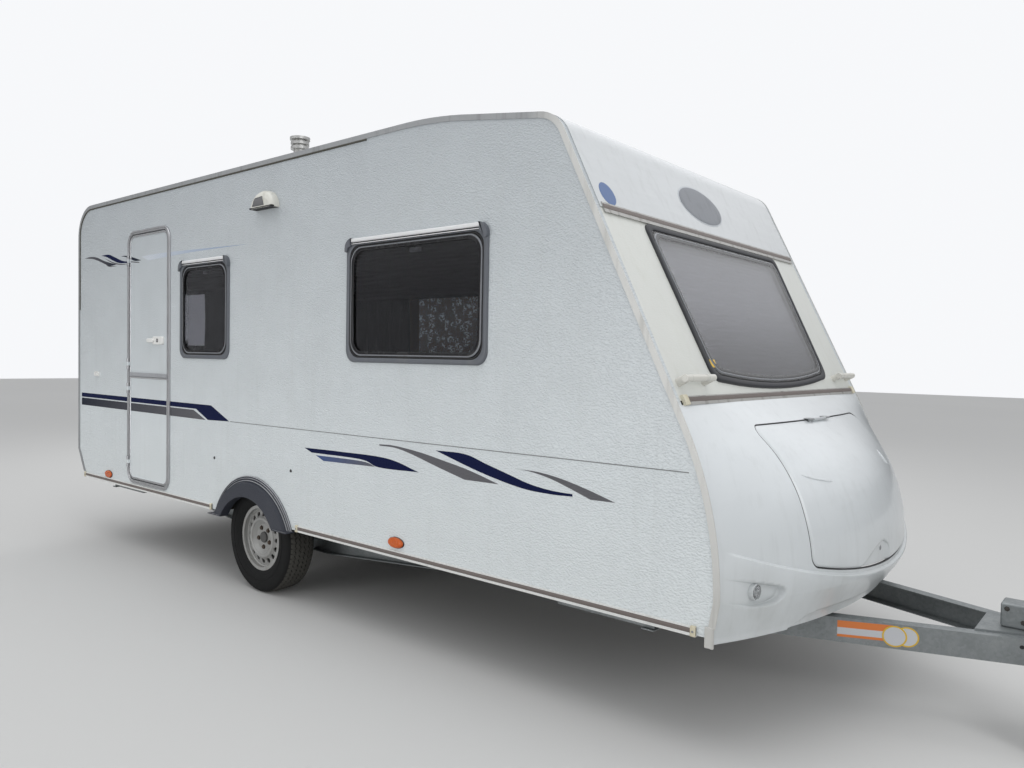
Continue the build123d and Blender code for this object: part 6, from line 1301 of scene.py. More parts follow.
# Door handle: a white plastic plate with a sunk key cylinder and a lever that pulls outward.
handle_white = aged("handle_white", (0.80, 0.80, 0.78, 1), (0.40, 0.40, 0.37, 1), 0.3, 0.0, 0.34, Coat_Weight=0.3,
                    Coat_Roughness=0.2)
grained(handle_white, 500.0, 0.0002)
HANDLE_Z, PLATE_REACH = 1.508, -1.176
plate_rings = [(0.0, 0.0), (0.0, 0.0100), (0.0020, 0.0130), (0.0055, 0.0142), (0.0120, 0.0146)]
outline = rectangle(PLATE_REACH - 0.076, PLATE_REACH + 0.076, HANDLE_Z - 0.028, HANDLE_Z + 0.028, 0.020)


def cushion_plate(name, outline, rings, spot, finish, body="caravan"):
    """A plate with a rolled edge; ring rows are (how far inside the outline, how far proud)."""
    points = [spot(u, v, proud) for inset, proud in rings for u, v in drawn_in(outline, inset)]
    count = len(outline)
    faces = bands(count, len(rings)) + [tuple((len(rings) - 1) * count + i for i in range(count))]
    return piece(name, points, faces, finish, body, 40)


handle_plate = cushion_plate("door_handle_plate", outline, plate_rings, side_spot(-1), handle_white, "door_upper_leaf")
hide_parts("door_handle")
outline = rectangle(-1.306, -1.215, HANDLE_Z - 0.0145, HANDLE_Z + 0.0145, 0.0125)
lever_rings = [(0.004, 0.0120), (0.0, 0.0135), (0.0, 0.0240), (0.0020, 0.0275), (0.0060, 0.0290), (0.0100, 0.0294)]
cushion_plate("door_handle_lever", outline, lever_rings, side_spot(-1), handle_white, "door_upper_leaf")
lathe("door_key_collar", [(0.0135, 0.0140), (0.0135, 0.0158), (0.0115, 0.0166), (0.0105, 0.0160),
                                  (0.0100, 0.0148),
                                  (0, 0.0148)], (ARCH_X - 1.172, -SIDE_Y, HANDLE_Z), (0, -1, 0), black_plastic,
              "door_upper_leaf", 28)
lathe("door_key_barrel", [(0.0075, 0.0145), (0.0075, 0.0158), (0.0066, 0.0164), (0, 0.0164)],
              (ARCH_X - 1.172, -SIDE_Y, HANDLE_Z), (0, -1, 0), chrome, "door_upper_leaf", 24)

# Awning lamp: an ivory plastic half-round housing, screwed to the wall over the kitchen window,
# with a smoked lens let into its foot.
LAMP_REACH, LAMP_LONG, LAMP_FOOT_Z, LAMP_TALL, LAMP_PROUD = 0.142, 0.230, 2.267, 0.104, 0.055


def dome(name, finish, steps=28, rings=12):
    """The half-round housing, from its foot on the wall to its flat crown."""
    points = []
    for ring in range(rings + 1):
        lift = ring / rings
        shrink = (1 - lift ** 2.6) ** (1 / 2.6) if lift < 1 else 0.0
        for step in range(steps + 1):
            turn = pi * step / steps
            u = LAMP_LONG / 2 * cos(turn) * (0.80 + 0.20 * shrink)
            v = LAMP_TALL * sin(turn) * (0.55 + 0.45 * shrink)
            points.append(side_spot(-1)(LAMP_REACH + u, LAMP_FOOT_Z + v, (LAMP_PROUD - 0.002) * lift))
    row = steps + 1
    faces = [(ring * row + step, (ring + 1) * row + step, (ring + 1) * row + step + 1, ring * row + step + 1)
             for ring in range(rings) for step in range(steps)]
    faces.append(tuple(rings * row + step for step in range(row)))
    faces.append(tuple(ring * row for ring in range(rings + 1)) +
                 tuple(ring * row + steps for ring in range(rings, -1, -1)))
    return piece(name, points, faces, finish, crease=42)


awning_ivory = aged("awning_lamp_ivory", (0.66, 0.655, 0.60, 1), (0.30, 0.28, 0.20, 1), 0.6, 0.0, 0.32,
                    Coat_Weight=0.3)
lamp_body = dome("awning_lamp_housing", awning_ivory)
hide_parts("awning_lamp")
lens_outline = rounded([(LAMP_REACH - 0.088, LAMP_FOOT_Z + 0.011, 0.006),
                        (LAMP_REACH + 0.040, LAMP_FOOT_Z + 0.011, 0.004),
                        (LAMP_REACH + 0.022, LAMP_FOOT_Z + 0.062, 0.014),
                        (LAMP_REACH - 0.060, LAMP_FOOT_Z + 0.056, 0.022)], 6)
smoked = aged("smoked_lens", (0.13, 0.13, 0.135, 1), (0.05, 0.05, 0.05, 1), 0.5, 0.0, 0.14, Coat_Weight=0.8,
              Coat_Roughness=0.05)
block("awning_lamp_foot", (ARCH_X + LAMP_REACH - 0.1145, -SIDE_Y - LAMP_PROUD + 0.0015, LAMP_FOOT_Z - 0.001),
              (ARCH_X + LAMP_REACH + 0.1120, -SIDE_Y - 0.0005, LAMP_FOOT_Z + 0.0095), 0.004, seal_rubber)
cushion_plate("awning_lamp_lens_seat", lens_outline, [(-0.004, 0.030), (-0.004, LAMP_PROUD - 0.0034),
                                                              (-0.002, LAMP_PROUD - 0.0022),
                                                              (0.003, LAMP_PROUD - 0.0022)],
                      side_spot(-1), seal_rubber)
ribbed(smoked, 90.0, "X", 0.0008)
cushion_plate("awning_lamp_lens", lens_outline, [(0, 0.030), (0, LAMP_PROUD - 0.003),
                                                         (0.0015, LAMP_PROUD - 0.0012),
                                                         (0.004, LAMP_PROUD - 0.0008)], side_spot(-1), smoked)

# Side marker lamps: oval orange plastic lenses, moulded in fine vertical ribs and screwed to the
# foot of the walls on black rubber seats.
orange_lens = aged("orange_lens", (0.72, 0.115, 0.001, 1), (0.42, 0.14, 0.03, 1), 0.2, 0.15, 0.18,
                   Coat_Weight=0.25, Coat_Roughness=0.1, Subsurface_Weight=0.15)
ribbed(orange_lens, 110.0, "X", 0.0008)
MARKERS, MARKER_HALF = [(-1.954, 0.500), (1.284, 0.511)], (0.0575, 0.0280)
for side, hand in SIDES:
    for number, middle in enumerate(MARKERS):
        name = f"{hand}_{number}"
        seat = oval(f"side_marker_seat_{name}", side_spot(side), middle, MARKER_HALF,
                    [(1, 0), (1, 0.0035), (0.96, 0.0045)],
                    seal_rubber, side > 0)
        rings = [(0.94, 0.0045), (0.93, 0.0090), (0.87, 0.0125), (0.74, 0.0143), (0.50, 0.0150), (0.2, 0.0151)]
        marker = oval(f"side_marker_lens_{name}", side_spot(side), middle, MARKER_HALF, rings, orange_lens, side > 0)
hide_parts("side_marker_lamps")

# Wheel spats: slate plastic arches riveted over the wheel cut-outs, with raised lines along their outer steps and a
# sealing lip against the wall; these lines and the spats' foot edges are pale as painted highlight.
slate = aged("spat_slate", (0.020, 0.024, 0.037, 1), (0.07, 0.072, 0.075, 1), 0.2, 0.15, 0.42)
grained(slate, 700.0, 0.0004)
dress(slate, "wheel_spats")
SPAT_Z, SPAT_OUTER, SPAT_FOOT_Z, SPAT_SIDE = 0.249, 0.448, 0.428, 0.052
# Painted highlight: the spat's raised lines and foot edges are pale, for the light along their edges.
spat_edge_painted_highlight = aged("spat_edge_highlight", (0.42, 0.43, 0.45, 1), (0.10, 0.10, 0.11, 1), 0.9, 0.6, 0.5)
for side, label in SIDES:
    spat_lines = ((0.001, 0.0085, 0.0022), (0.012, 0.0125, 0.0014), (0.026, 0.0165, 0.0020))
    for number, (radius, proud, width) in enumerate((SPAT_OUTER - drop, out, wide) for drop, out, wide in spat_lines):
        start = asin((SPAT_FOOT_Z - SPAT_Z) / radius)
        path = []
        for step in range(61):
            turn = start + (pi - 2 * start) * step / 60
            away = Vector((cos(turn), 0, sin(turn)))
            path.append((Vector((ARCH_X, side * (SIDE_Y + proud), SPAT_Z)) + away * radius, away, Vector((0, side, 0))))
        lip = [(-width, -0.004), (width, -0.004), (width * 0.7, 0.0008), (-width * 0.7, 0.0014)]
        swept(f"spat_edge_{label}_{number}", path, lip if side < 0 else lip[::-1], spat_edge_painted_highlight)
    for end in (-1, 1):
        near = ARCH_X + end * 0.275
        far = ARCH_X + end * 0.4195
        x = sorted((near, far))
        y = across(side, SIDE_Y + SPAT_SIDE - 0.0045, SIDE_Y + SPAT_SIDE)
        block(f"spat_foot_edge_{label}_{'front' if end > 0 else 'rear'}", (x[0], y[0], SPAT_FOOT_Z - 0.0010),
                      (x[1], y[1], SPAT_FOOT_Z + 0.0014), 0.0009, spat_edge_painted_highlight, segments=2)

# Tyres: light-truck tread of five ribs parted by zigzag grooves, sipes across the shoulders, and
# raised rings and a scuff band on the sidewalls.
AXLE_X, AXLE_Z, TYRE_MIDDLE_Y = ARCH_X + 0.025, 0.325, 0.9355
TYRE_RADIUS, BEAD_RADIUS = 0.325, 0.194
tyre_finish = aged("tyre_rubber", (0.005, 0.0055, 0.006, 1), (0.020, 0.0195, 0.018, 1), 0.1, 0.35, 0.58,
                   Specular_IOR_Level=0.2)
tread_finish = material("tyre_tread", Specular_IOR_Level=0.2, Roughness=0.85)
tree = tread_finish.node_tree
# The tread is coloured by distance from the axle: dusty on the ribs, which is real road dust, and near black in the
# grooves, which is painted shade in the recesses.
axes = node(tree, "SeparateXYZ", {0: node(tree, "TexCoord").outputs["Object"]})
flat = node(tree, "CombineXYZ", {"X": axes.outputs["X"], "Z": axes.outputs["Z"]})
away = node(tree, "VectorMath", {0: flat.outputs[0], 1: (AXLE_X, 0, AXLE_Z)}, operation="DISTANCE")
worn = node(tree, "MapRange", {"Value": away.outputs["Value"], "From Min": 0.3170, "From Max": 0.3205})
grit = node(tree, "TexNoise", {"Scale": 90.0, "Detail": 6.0})
dusty = mixed(tree, grit.outputs["Fac"], (0.020, 0.020, 0.020, 1), (0.13, 0.125, 0.11, 1))
tree.links.new(mixed(tree, worn.outputs[0], (0.002, 0.002, 0.002, 1), dusty),
               tree.nodes["Principled BSDF"].inputs["Base Color"])
bump(tread_finish, grit.outputs["Fac"], 0.0008)
grained(tyre_finish, 260.0, 0.0007, 5.0)
# Grooves, with columns: place across the tread as a share of its half width, swing, half width, depth
GROOVES = [(-0.62, 0.0045, 0.0030, 0.007), (-0.21, 0.0060, 0.0032, 0.008), (0.21, 0.0060, 0.0032, 0.008),
           (0.62, 0.0045, 0.0030, 0.007)]
TREAD_HALF, CROWN_DROP, ZIGZAGS, TURNS = 0.074, 0.004, 66, 396
# Sidewall from the tread's edge to the bead, as (distance from the middle, radius)
SIDEWALL = [(0.0775, 0.3185), (0.0835, 0.3130), (0.0880, 0.3040), (0.0885, 0.3025), (0.0905, 0.2960), (0.0915, 0.2850),
            (0.0925, 0.2710), (0.0922, 0.2600), (0.0905, 0.2585), (0.0903, 0.2480), (0.0922, 0.2465), (0.0910, 0.2400),
            (0.0880, 0.2270), (0.0850, 0.2210), (0.0858, 0.2195), (0.0830, 0.2120), (0.0780, 0.2020), (0.0740, 0.1960),
            (0.0700, BEAD_RADIUS)]


def tyre(name, side, body, node_name):
    """A tyre as rings of one cross-section, its grooves swinging from ring to ring."""
    points, faces = [], []
    for turn_step in range(TURNS):
        turn = 2 * pi * turn_step / TURNS
        phase = (turn_step * ZIGZAGS / TURNS) % 1
        swing = 4 * abs(phase - 0.5) - 1
        row = [(-u, r) for u, r in SIDEWALL[::-1]]
        notch = 0.004 if turn_step % 6 == 0 else 0.0
        row.append((-TREAD_HALF, TYRE_RADIUS - CROWN_DROP - notch))
        for share, sway, half, deep in GROOVES:
            centre = share * TREAD_HALF + sway * swing * (1 if share < 0 else -1)
            top = TYRE_RADIUS - CROWN_DROP * share * share
            row += [(centre - half - 0.0012, top), (centre - half, top - 0.001), (centre - half * 0.6, top - deep),
                    (centre + half * 0.6, top - deep), (centre + half, top - 0.001), (centre + half + 0.0012, top)]
        row.append((TREAD_HALF, TYRE_RADIUS - CROWN_DROP - notch))
        row += SIDEWALL
        for u, r in row:
            points.append((AXLE_X + r * sin(turn), side * (TYRE_MIDDLE_Y + u), AXLE_Z + r * cos(turn)))
        size = len(row)
    for turn_step in range(TURNS):
        following = (turn_step + 1) % TURNS
        for i in range(size - 1):
            quad = (turn_step * size + i, turn_step * size + i + 1, following * size + i + 1, following * size + i)
            faces.append(quad if side > 0 else quad[::-1])
    made = piece(name, points, faces, tyre_finish, body, 38)
    made.data.materials.append(tread_finish)
    first = len(SIDEWALL) - 1
    for face in made.data.polygons:
        face.material_index = int(first <= face.index % (size - 1) < size - 1 - first)
    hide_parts(node_name)


tyre("tyre_right_tread", -1, "wheel_right", "tyre_right")
tyre("tyre_left_tread", 1, "wheel_left", "tyre_left")

# Wheels: pressed steel in silver paint gone dull and dusty, held to the hub by bolts, with a
# rubber valve through each rim.
wheel_silver = metal("wheel_silver", (0.40, 0.405, 0.40, 1), (0.15, 0.13, 0.10, 1), 0.36, 0.35, runs=0.5, dust=0.45,
                     scratches=0.0003)
dress(wheel_silver, "wheel_rim_left", "wheel_rim_right")
drum_finish = metal("drum_iron", (0.045, 0.042, 0.04, 1), (0.14, 0.085, 0.05, 1), 0.6, 0.3, runs=0.6, dust=0.6,
                    scratches=0.0015)
dress(drum_finish, "brake_drum_left", "brake_drum_right")
bolt_steel = metal("bolt_steel", (0.060, 0.052, 0.045, 1), (0.13, 0.075, 0.04, 1), 0.55, 0.4, runs=0.5, dust=0.5)
cap_grey = metal("hub_cap_grey", (0.075, 0.077, 0.080, 1), (0.16, 0.15, 0.13, 1), 0.42, 0.3, runs=0.3, dust=0.5)
HUB_FACE_Y, BOLT_CIRCLE, BOLT_TURN, VALVE_TURN = 0.972, 0.060, 48, 62
for side, name in SIDES:
    out = Vector((0, side, 0))
    hub = Vector((AXLE_X, side * HUB_FACE_Y, AXLE_Z))
    cap = lathe(f"hub_cap_{name}", [(0.0325, 0.001), (0.0325, 0.0170), (0.0300, 0.0202), (0.0240, 0.0214),
                                    (0.0205, 0.0206),
                                    (0.0190, 0.0203), (0, 0.0209)], hub, out, cap_grey, f"wheel_{name}")
    for number in range(5):
        turn = radians(BOLT_TURN + 72 * number)
        lathe(f"wheel_bolt_{name}_{number}", [(0.0150, 0.0082), (0.0142, 0.0100), (0.0120, 0.0100),
                                                      (0.0120, 0.0165),
                                                      (0.0104, 0.0178), (0, 0.0178)],
                      hub + BOLT_CIRCLE * Vector((cos(turn), 0, sin(turn))), out, bolt_steel, f"wheel_{name}", 6, 20)
    lean = Vector((cos(radians(VALVE_TURN)), 0, sin(radians(VALVE_TURN))))
    lathe(f"valve_{name}", [(0.0055, -0.006), (0.0055, 0.012), (0.0042, 0.014), (0.0042, 0.020), (0, 0.021)],
                  hub + 0.164 * lean + 0.012 * out, out - 0.25 * lean, black_plastic, f"wheel_{name}", 16)

# Chassis and drawbar: pressed steel members bolted together, hot-dip galvanised, their zinc in
# dull spangles.
spangled, given, out = effect(
    "zinc_spangle", Bright=("INPUT", "Color", None), Dull=("INPUT", "Color", None),
    Color=("OUTPUT", "Color", None), Roughness=("OUTPUT", "Float", None), Height=("OUTPUT", "Float", None))
place = node(spangled, "TexCoord")
cells = node(spangled, "TexVoronoi", {"Vector": place.outputs["Object"], "Scale": 95.0})
cloud = node(spangled, "TexNoise", {"Vector": place.outputs["Object"], "Scale": 7.0, "Detail": 8.0, "Roughness": 0.65})
flake = node(spangled, "SeparateXYZ", {0: cells.outputs["Color"]})
share = node(spangled, "Math", {0: flake.outputs["X"], 1: 0.2}, operation="MULTIPLY")
total = node(spangled, "Math", {0: share.outputs[0], 1: cloud.outputs["Fac"]}, operation="ADD")
spread = node(spangled, "MapRange", {"Value": total.outputs[0], "From Min": 0.35, "From Max": 0.95})
spangled.links.new(mixed(spangled, spread.outputs[0], given["Bright"], given["Dull"]), out["Color"])
rough = node(spangled, "MapRange", {"Value": total.outputs[0], "From Min": 0.3, "From Max": 1.0, "To Min": 0.38,
                                    "To Max": 0.62})
spangled.links.new(rough.outputs[0], out["Roughness"])
spangled.links.new(cloud.outputs["Fac"], out["Height"])
zinc = material("galvanised_zinc", Metallic=0.55)
bump(zinc, use(zinc, spangled, {"Bright": (0.27, 0.288, 0.292, 1), "Dull": (0.175, 0.19, 0.195, 1)},
               SURFACE).outputs["Height"],
     0.0012)
dress(zinc, "chassis_rails", "drawbar_beams", "axle_tube", "trailing_arms", "steady_brackets", "jockey_inner_tube",
      "jockey_outer_tube", "jockey_clamp", "steady_rear_left", "steady_rear_right", "steady_front_left",
      "steady_front_right")
black_steel = metal("black_steel", (0.022, 0.022, 0.024, 1), (0.12, 0.10, 0.08, 1), 0.45, 0.2, runs=0.4, dust=0.5,
                    scratches=0.0006)
dress(zinc, "overrun_unit", "jockey_fork")
dress(black_steel, "coupling_head", "handbrake_lever")
wheel_grey = metal("jockey_rubber", (0.035, 0.035, 0.037, 1), (0.14, 0.13, 0.11, 1), 0.6, 0.0, runs=0.2, dust=0.8,
                   scratches=0.0008)
dress(wheel_grey, "jockey_wheel")

# Drawbar labels: a blank orange and white film and two blank round seals with yellow rims, stuck
# to the outer face of the right beam.
BEAM_FRONT_REACH, BEAM_FRONT_Y, BEAM_SPREAD = 4.010, 0.058, 0.363


def beam_spot(reach, z, proud):
    """Where a place on the right beam's outer face is."""
    out = Vector((-BEAM_SPREAD, -1, 0)).normalized()
    return Vector((ARCH_X + reach, -BEAM_FRONT_Y - (BEAM_FRONT_REACH - reach) * BEAM_SPREAD, z)) + out * proud


def label_film(name, tone, other):
    """Gloss label film in one colour, faintly worn."""
    made = material(name, Roughness=0.4, Coat_Weight=0.3)
    grain = node(made.node_tree, "TexNoise", {"Scale": 80.0, "Detail": 5.0})
    made.node_tree.links.new(mixed(made.node_tree, grain.outputs["Fac"], tone, other),
                             made.node_tree.nodes["Principled BSDF"].inputs["Base Color"])
    return made


label_orange = label_film("label_orange", (0.66, 0.19, 0.03, 1), (0.58, 0.15, 0.03, 1))
label_white = label_film("label_white", (0.52, 0.53, 0.55, 1), (0.46, 0.47, 0.49, 1))
seal_yellow = label_film("seal_yellow", (0.66, 0.42, 0.02, 1), (0.55, 0.36, 0.04, 1))
LABEL_REAR, LABEL_FRONT = (3.179, 0.391, 0.325), (3.372, 0.396, 0.331)
# The label's stripes, with columns: share from the top where each starts and ends, finish
for number, (start, end, finish) in enumerate(((0.0, 0.42, label_orange), (0.42, 0.84, label_white),
                                               (0.84, 1.0, label_orange))):
    corners = [(reach, top + (bottom - top) * share) for (reach, top, bottom), share in
               ((LABEL_REAR, end), (LABEL_FRONT, end), (LABEL_FRONT, start), (LABEL_REAR, start))]
    cushion_plate(f"drawbar_label_{number}", corners, [(0, 0), (0, 0.0004)], beam_spot, finish)
for number, (reach, z, radius) in enumerate(((3.420, 0.356, 0.040), (3.378, 0.353, 0.0425))):
    base = 0.0004 + 0.0008 * number
    for label, share, lift, finish in (("rim", 1.0, 0.0, seal_yellow), ("face", 0.86, 0.0003, label_white)):
        oval(f"drawbar_seal_{label}_{number}", beam_spot, (reach, z), (radius * share, radius * share),
                     [(1, base), (1, base + lift + 0.0004)], finish)
oval("beam_grommet", beam_spot, (3.787, 0.372), (0.0075, 0.0075),
             [(1, 0), (0.95, 0.0015), (0.6, 0.0015), (0.5, 0.0004)],
             seal_rubber)

# Overrun bracket: a housing folded from galvanised sheet, bolted over the damper's rear end on
# the saddle between the beams.
BRACKET_REACH, BRACKET_HALF, BRACKET_Z = (3.700, 3.800), 0.050, (0.411, 0.506)
block("overrun_bracket", (ARCH_X + BRACKET_REACH[0], -BRACKET_HALF, BRACKET_Z[0]),
              (ARCH_X + BRACKET_REACH[1], BRACKET_HALF, BRACKET_Z[1]), 0.008, zinc)
for reach, z in ((3.722, 0.484), (3.778, 0.440)):
    lathe("overrun_bolt", [(0.010, 0), (0.010, 0.002), (0.0075, 0.002), (0.0075, 0.008), (0.0066, 0.009),
                                   (0, 0.009)],
                  (ARCH_X + reach, -BRACKET_HALF, z), (0, -1, 0), black_steel, steps=6, crease=20)

# Rear lamps and panel: a grey plastic beam across the back, and at each end a cluster of red,
# amber and clear lenses over reflectors, with a blank plate place between.
dress(grey_rim, "rear_lamp_panel")
red_lens = aged("red_lens", (0.42, 0.012, 0.010, 1), (0.25, 0.06, 0.05, 1), 0.2, 0.4, 0.14, Coat_Weight=0.6)
ribbed(red_lens, 90.0, "Z", 0.0010)
PANEL_PROUD, CLUSTER_MIDDLE, CLUSTER_HALF, CLUSTER_Z = 0.026, 0.795, 0.165, (0.694, 0.786)
lamp_white = aged("reversing_lens", (0.62, 0.63, 0.64, 1), (0.3, 0.3, 0.28, 1), 0.2, 0.4, 0.12, Coat_Weight=0.6)
ribbed(lamp_white, 90.0, "Z", 0.0010)
# Lenses of a cluster, from the outside in, with columns: start and end as shares of its length, finish
CLUSTER = [("tail", 0.0, 0.40, red_lens), ("turn", 0.41, 0.70, orange_lens), ("reverse", 0.71, 1.0, lamp_white)]
for side, label in SIDES:
    outer = side * (CLUSTER_MIDDLE + CLUSTER_HALF)
    for name, start, end, finish in CLUSTER:
        ys = sorted((outer - side * 2 * CLUSTER_HALF * start, outer - side * 2 * CLUSTER_HALF * end))
        outline = rectangle(ys[0], ys[1], CLUSTER_Z[0], CLUSTER_Z[1], 0.014)[::-1]
        rings = [(0, PANEL_PROUD), (0, PANEL_PROUD + 0.014), (-0.003, PANEL_PROUD + 0.0195),
                 (-0.008, PANEL_PROUD + 0.0215),
                 (-0.013, PANEL_PROUD + 0.0220)]
        made = cushion_plate(f"rear_lamp_{name}_{label}", outline, rings, rear_spot, finish)
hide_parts("rear_lamps")
plate_white = aged("blank_plate", (0.60, 0.60, 0.58, 1), (0.3, 0.3, 0.27, 1), 0.3, 0.4, 0.4, Coat_Weight=0.2)
cushion_plate("blank_number_plate", rectangle(-0.260, 0.260, 0.685, 0.795, 0.010)[::-1],
                      [(0, PANEL_PROUD), (0, PANEL_PROUD + 0.0010), (-0.001, PANEL_PROUD + 0.0016)], rear_spot,
                      plate_white)

# Left wall: white plastic hatches over the toilet cassette, the mains inlet and the refrigerator's
# two vents, each with a rolled edge; the vents keep their slots.
hatch_white = painted_sheet("hatch_white", (0.70, 0.70, 0.67, 1), 0.0, runs=0.5, dust=0.3)
dress(hatch_white, "service_hatches")
for number, (rear, front, bottom, top) in enumerate(((-0.820, -0.480, 0.560, 0.900), (0.560, 0.760, 0.700, 0.880))):
    outline = rectangle(rear + 0.014, front - 0.014, bottom + 0.014, top - 0.014, 0.012)[::-1]
    window_ring(f"hatch_joint_{number}", outline, [(0, 0.0121), (0, 0.0126), (-0.002, 0.0126),
                                                           (-0.002, 0.0121)],
                        side_spot(1), seal_rubber)
    lathe(f"hatch_lock_{number}", [(0.012, 0.012), (0.012, 0.0150), (0.010, 0.0160), (0.008, 0.0152),
                                           (0, 0.0152)],
                  (ARCH_X + (rear + front) / 2, SIDE_Y, bottom + 0.040), (0, 1, 0), chrome, steps=24)

# Roof fittings: a rooflight with a milky acrylic dome on a white plastic rim, and a stainless
# flue cap in rings, both sealed down to the roof sheet.
milky = aged("milky_dome", (0.70, 0.70, 0.67, 1), (0.30, 0.30, 0.24, 1), 0.7, 0.0, 0.3, Transmission_Weight=0.35,
             IOR=1.45, Subsurface_Weight=0.2)
dress(milky, "rooflight")
flue_steel = metal("flue_steel", (0.52, 0.52, 0.51, 1), (0.18, 0.16, 0.13, 1), 0.34, 0.85, runs=0.6, dust=0.0)
dress(flue_steel, "flue_cap")

# Floor and cabin: plywood floor with a dark coat below, and furniture of foil-faced boards in
# pear wood, glued and screwed together.
under_floor = aged("dark_floor", (0.030, 0.026, 0.022, 1), (0.09, 0.08, 0.065, 1), 0.2, 0.6, 0.75)
grained(under_floor, 40.0, 0.002, 8.0)
dress(under_floor, "floor", "locker_bulkhead")
pear_wood = material("pear_wood", Roughness=0.38)
tree = pear_wood.node_tree
place = node(tree, "TexCoord")
drawn = node(tree, "VectorMath", {0: place.outputs["Object"], 1: (14, 14, 1.4)}, operation="MULTIPLY")
rings = node(tree, "TexNoise", {"Vector": drawn.outputs[0], "Scale": 1.6, "Detail": 6.0, "Distortion": 1.1})
tone = mixed(tree, rings.outputs["Fac"], (0.30, 0.155, 0.075, 1), (0.46, 0.27, 0.14, 1))
tree.links.new(tone, tree.nodes["Principled BSDF"].inputs["Base Color"])
bump(pear_wood, rings.outputs["Fac"], 0.0005)
dress(pear_wood, "kitchen_unit", "washroom_and_wardrobe", "lounge_table")

# Lounge: foiled board boxes along both walls, two foam cushions on each and two more standing
# against the wall behind them, covered in grey-blue cloth with piped seams.
seat_cloth = material("seat_cloth", Roughness=0.9, Sheen_Weight=0.25)
tree = seat_cloth.node_tree
weave = node(tree, "TexChecker", {"Scale": 500.0})
fade = node(tree, "TexNoise", {"Scale": 6.0, "Detail": 6.0})
tree.links.new(mixed(tree, fade.outputs["Fac"], (0.060, 0.075, 0.125, 1), (0.115, 0.13, 0.175, 1)),
               tree.nodes["Principled BSDF"].inputs["Base Color"])
bump(seat_cloth, fade.outputs["Fac"], 0.004)
bump(seat_cloth, weave.outputs["Fac"], 0.0004)
piping = material("seat_piping", Roughness=0.7)
grain = node(piping.node_tree, "TexNoise", {"Scale": 200.0, "Detail": 3.0})
piping.node_tree.links.new(mixed(piping.node_tree, grain.outputs["Fac"], (0.30, 0.31, 0.33, 1), (0.42, 0.42, 0.43, 1)),
                           piping.node_tree.nodes["Principled BSDF"].inputs["Base Color"])


def pad(name, low, high, finish, crown, seam, steps=16):
    """A stuffed cushion between two corners, its broad faces crowned."""
    middle, half = [(a + b) / 2 for a, b in zip(low, high)], [(b - a) / 2 for a, b in zip(low, high)]
    thin = half.index(min(half))
    wide = [axis for axis in range(3) if axis != thin]
    places, points, faces = {}, [], []

    def corner(key):
        if key not in places:
            share = [2 * value / steps - 1 for value in key]
            share = [sin(value * pi / 2) * 0.5 + value * 0.5 for value in share]
            size = sum(abs(value) ** 9 for value in share) ** (-1 / 9)
            swell = (1 - share[wide[0]] ** 2) * (1 - share[wide[1]] ** 2)
            spot = [middle[axis] + half[axis] * share[axis] * size for axis in range(3)]
            spot[thin] += crown * share[thin] * (swell - 1)
            places[key] = len(points)
            points.append(spot)
        return places[key]

    for axis in range(3):
        others = [other for other in range(3) if other != axis]
        for end in (0, steps):
            for i in range(steps):
                for j in range(steps):
                    quad = []
                    for a, b in ((i, j), (i + 1, j), (i + 1, j + 1), (i, j + 1)):
                        key = [0, 0, 0]
                        key[axis], key[others[0]], key[others[1]] = end, a, b
                        quad.append(corner(tuple(key)))
                    faces.append(tuple(quad if (end > 0) == (axis != 1) else quad[::-1]))
    made = piece(name, points, faces, finish, crease=180)
    if seam:
        for way in (-1, 1):
            edge, level = [], way * (half[thin] - crown - 0.006)
            for u, v in rectangle(-half[wide[0]], half[wide[0]], -half[wide[1]], half[wide[1]], 0.03):
                spot = list(middle)
                spot[wide[0]] += 0.985 * u
                spot[wide[1]] += 0.975 * v
                spot[thin] += level
                edge.append(Vector(spot))
            up = Vector([float(axis == thin) for axis in range(3)])
            path = [(spot, (edge[(i + 1) % len(edge)] - edge[i - 1]).normalized().cross(up), up)
                    for i, spot in enumerate(edge)]
            section = [(0.0045 * cos(pi * k / 3), 0.0045 * sin(pi * k / 3)) for k in range(6)]
            swept(f"{name}_piping_{'top' if way > 0 else 'foot'}", path, section, piping, closed=True)
    return made


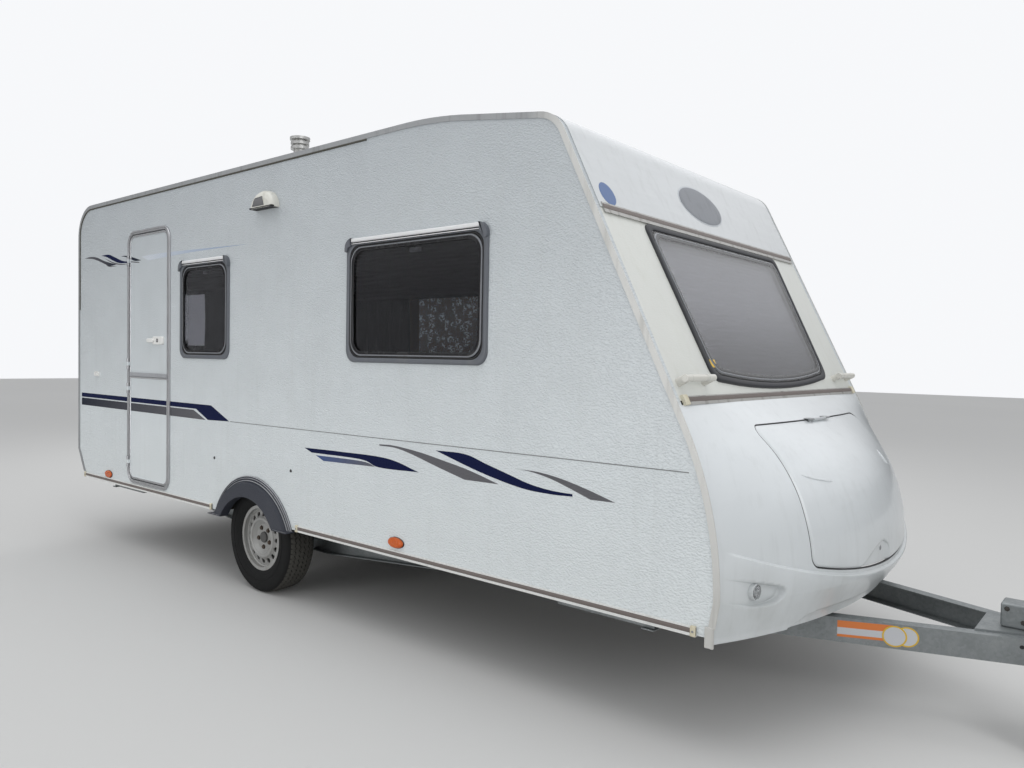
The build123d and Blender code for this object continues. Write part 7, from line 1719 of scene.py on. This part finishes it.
SEAT_REAR, SEAT_FRONT, SEAT_AISLE_Y, SEAT_WALL_Y, SEAT_BOARD_Z, FLOOR_TOP_Z = 0.246, 1.714, 0.510, 1.018, 0.780, 0.481
CUSHION_FRONT, CUSHION_DEEP, BACK_TOP_Z, BOARD = 1.685, 0.130, 1.330, 0.015
for side, label in SIDES:
    # The boards of a seat box, with columns: name, low corner, high corner, Y given as a distance from the middle
    for name, low, high in (
            ("front", (SEAT_REAR, SEAT_AISLE_Y, FLOOR_TOP_Z), (SEAT_FRONT, SEAT_AISLE_Y + BOARD, SEAT_BOARD_Z)),
            ("end", (SEAT_REAR, SEAT_AISLE_Y + BOARD, FLOOR_TOP_Z), (SEAT_REAR + BOARD, SEAT_WALL_Y, SEAT_BOARD_Z)),
            ("top", (SEAT_REAR + BOARD, SEAT_AISLE_Y + BOARD, SEAT_BOARD_Z - BOARD),
             (SEAT_FRONT, SEAT_WALL_Y, SEAT_BOARD_Z))):
        y = across(side, low[1], high[1])
        block(f"seat_board_{name}_{label}", (low[0], y[0], low[2]), (high[0], y[1], high[2]), 0.0012,
                                 pear_wood, segments=2)
    split = (SEAT_REAR + CUSHION_FRONT) / 2
    for number, (rear, front) in enumerate(((SEAT_REAR, split - 0.003), (split + 0.003, CUSHION_FRONT))):
        y = across(side, SEAT_AISLE_Y, SEAT_WALL_Y)
        pad(f"seat_cushion_{label}_{number}", (rear, y[0], SEAT_BOARD_Z), (front, y[1], SEAT_BOARD_Z + CUSHION_DEEP),
            seat_cloth, 0.014, True)
        y = across(side, SEAT_WALL_Y - CUSHION_DEEP, SEAT_WALL_Y)
        pad(f"back_cushion_{label}_{number}", (rear, y[0], SEAT_BOARD_Z + CUSHION_DEEP - 0.006),
            (front, y[1], BACK_TOP_Z),
            seat_cloth, 0.016, True)
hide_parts("lounge_seats")

# Rear bed: a foiled board on a front panel, screwed across the back, with a sprung mattress
# covered in pale striped ticking.
ticking = material("pale_ticking", Roughness=0.85, Sheen_Weight=0.2)
tree = ticking.node_tree
quilt = node(tree, "TexVoronoi", {"Scale": 9.0, "Randomness": 0.15})
stripe = node(tree, "TexWave", {"Scale": 14.0}, wave_type="BANDS", bands_direction="Y")
band = node(tree, "MapRange", {"Value": stripe.outputs["Fac"], "From Min": 0.78, "From Max": 0.84})
tree.links.new(mixed(tree, band.outputs[0], (0.56, 0.54, 0.50, 1), (0.24, 0.30, 0.42, 1)),
               tree.nodes["Principled BSDF"].inputs["Base Color"])
bump(ticking, quilt.outputs["Distance"], 0.012)
BED_REAR, BED_FRONT, BED_Z, BED_HALF, MATTRESS = -3.382, -2.634, 0.850, 1.019, 0.120
for name, low, high in (("top", (BED_REAR, -BED_HALF, BED_Z - BOARD), (BED_FRONT, BED_HALF, BED_Z)),
                        ("front", (BED_FRONT - BOARD, -BED_HALF, FLOOR_TOP_Z), (BED_FRONT, BED_HALF, BED_Z - BOARD))):
    block(f"bed_board_{name}", low, high, 0.0012, pear_wood, segments=2)
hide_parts("rear_bed")
pad("mattress", (BED_REAR + 0.010, -BED_HALF + 0.010, BED_Z), (BED_FRONT - 0.010, BED_HALF - 0.010, BED_Z + MATTRESS),
    ticking, 0.012, True, 24)

# Size of the imported model
low, high = cad_box
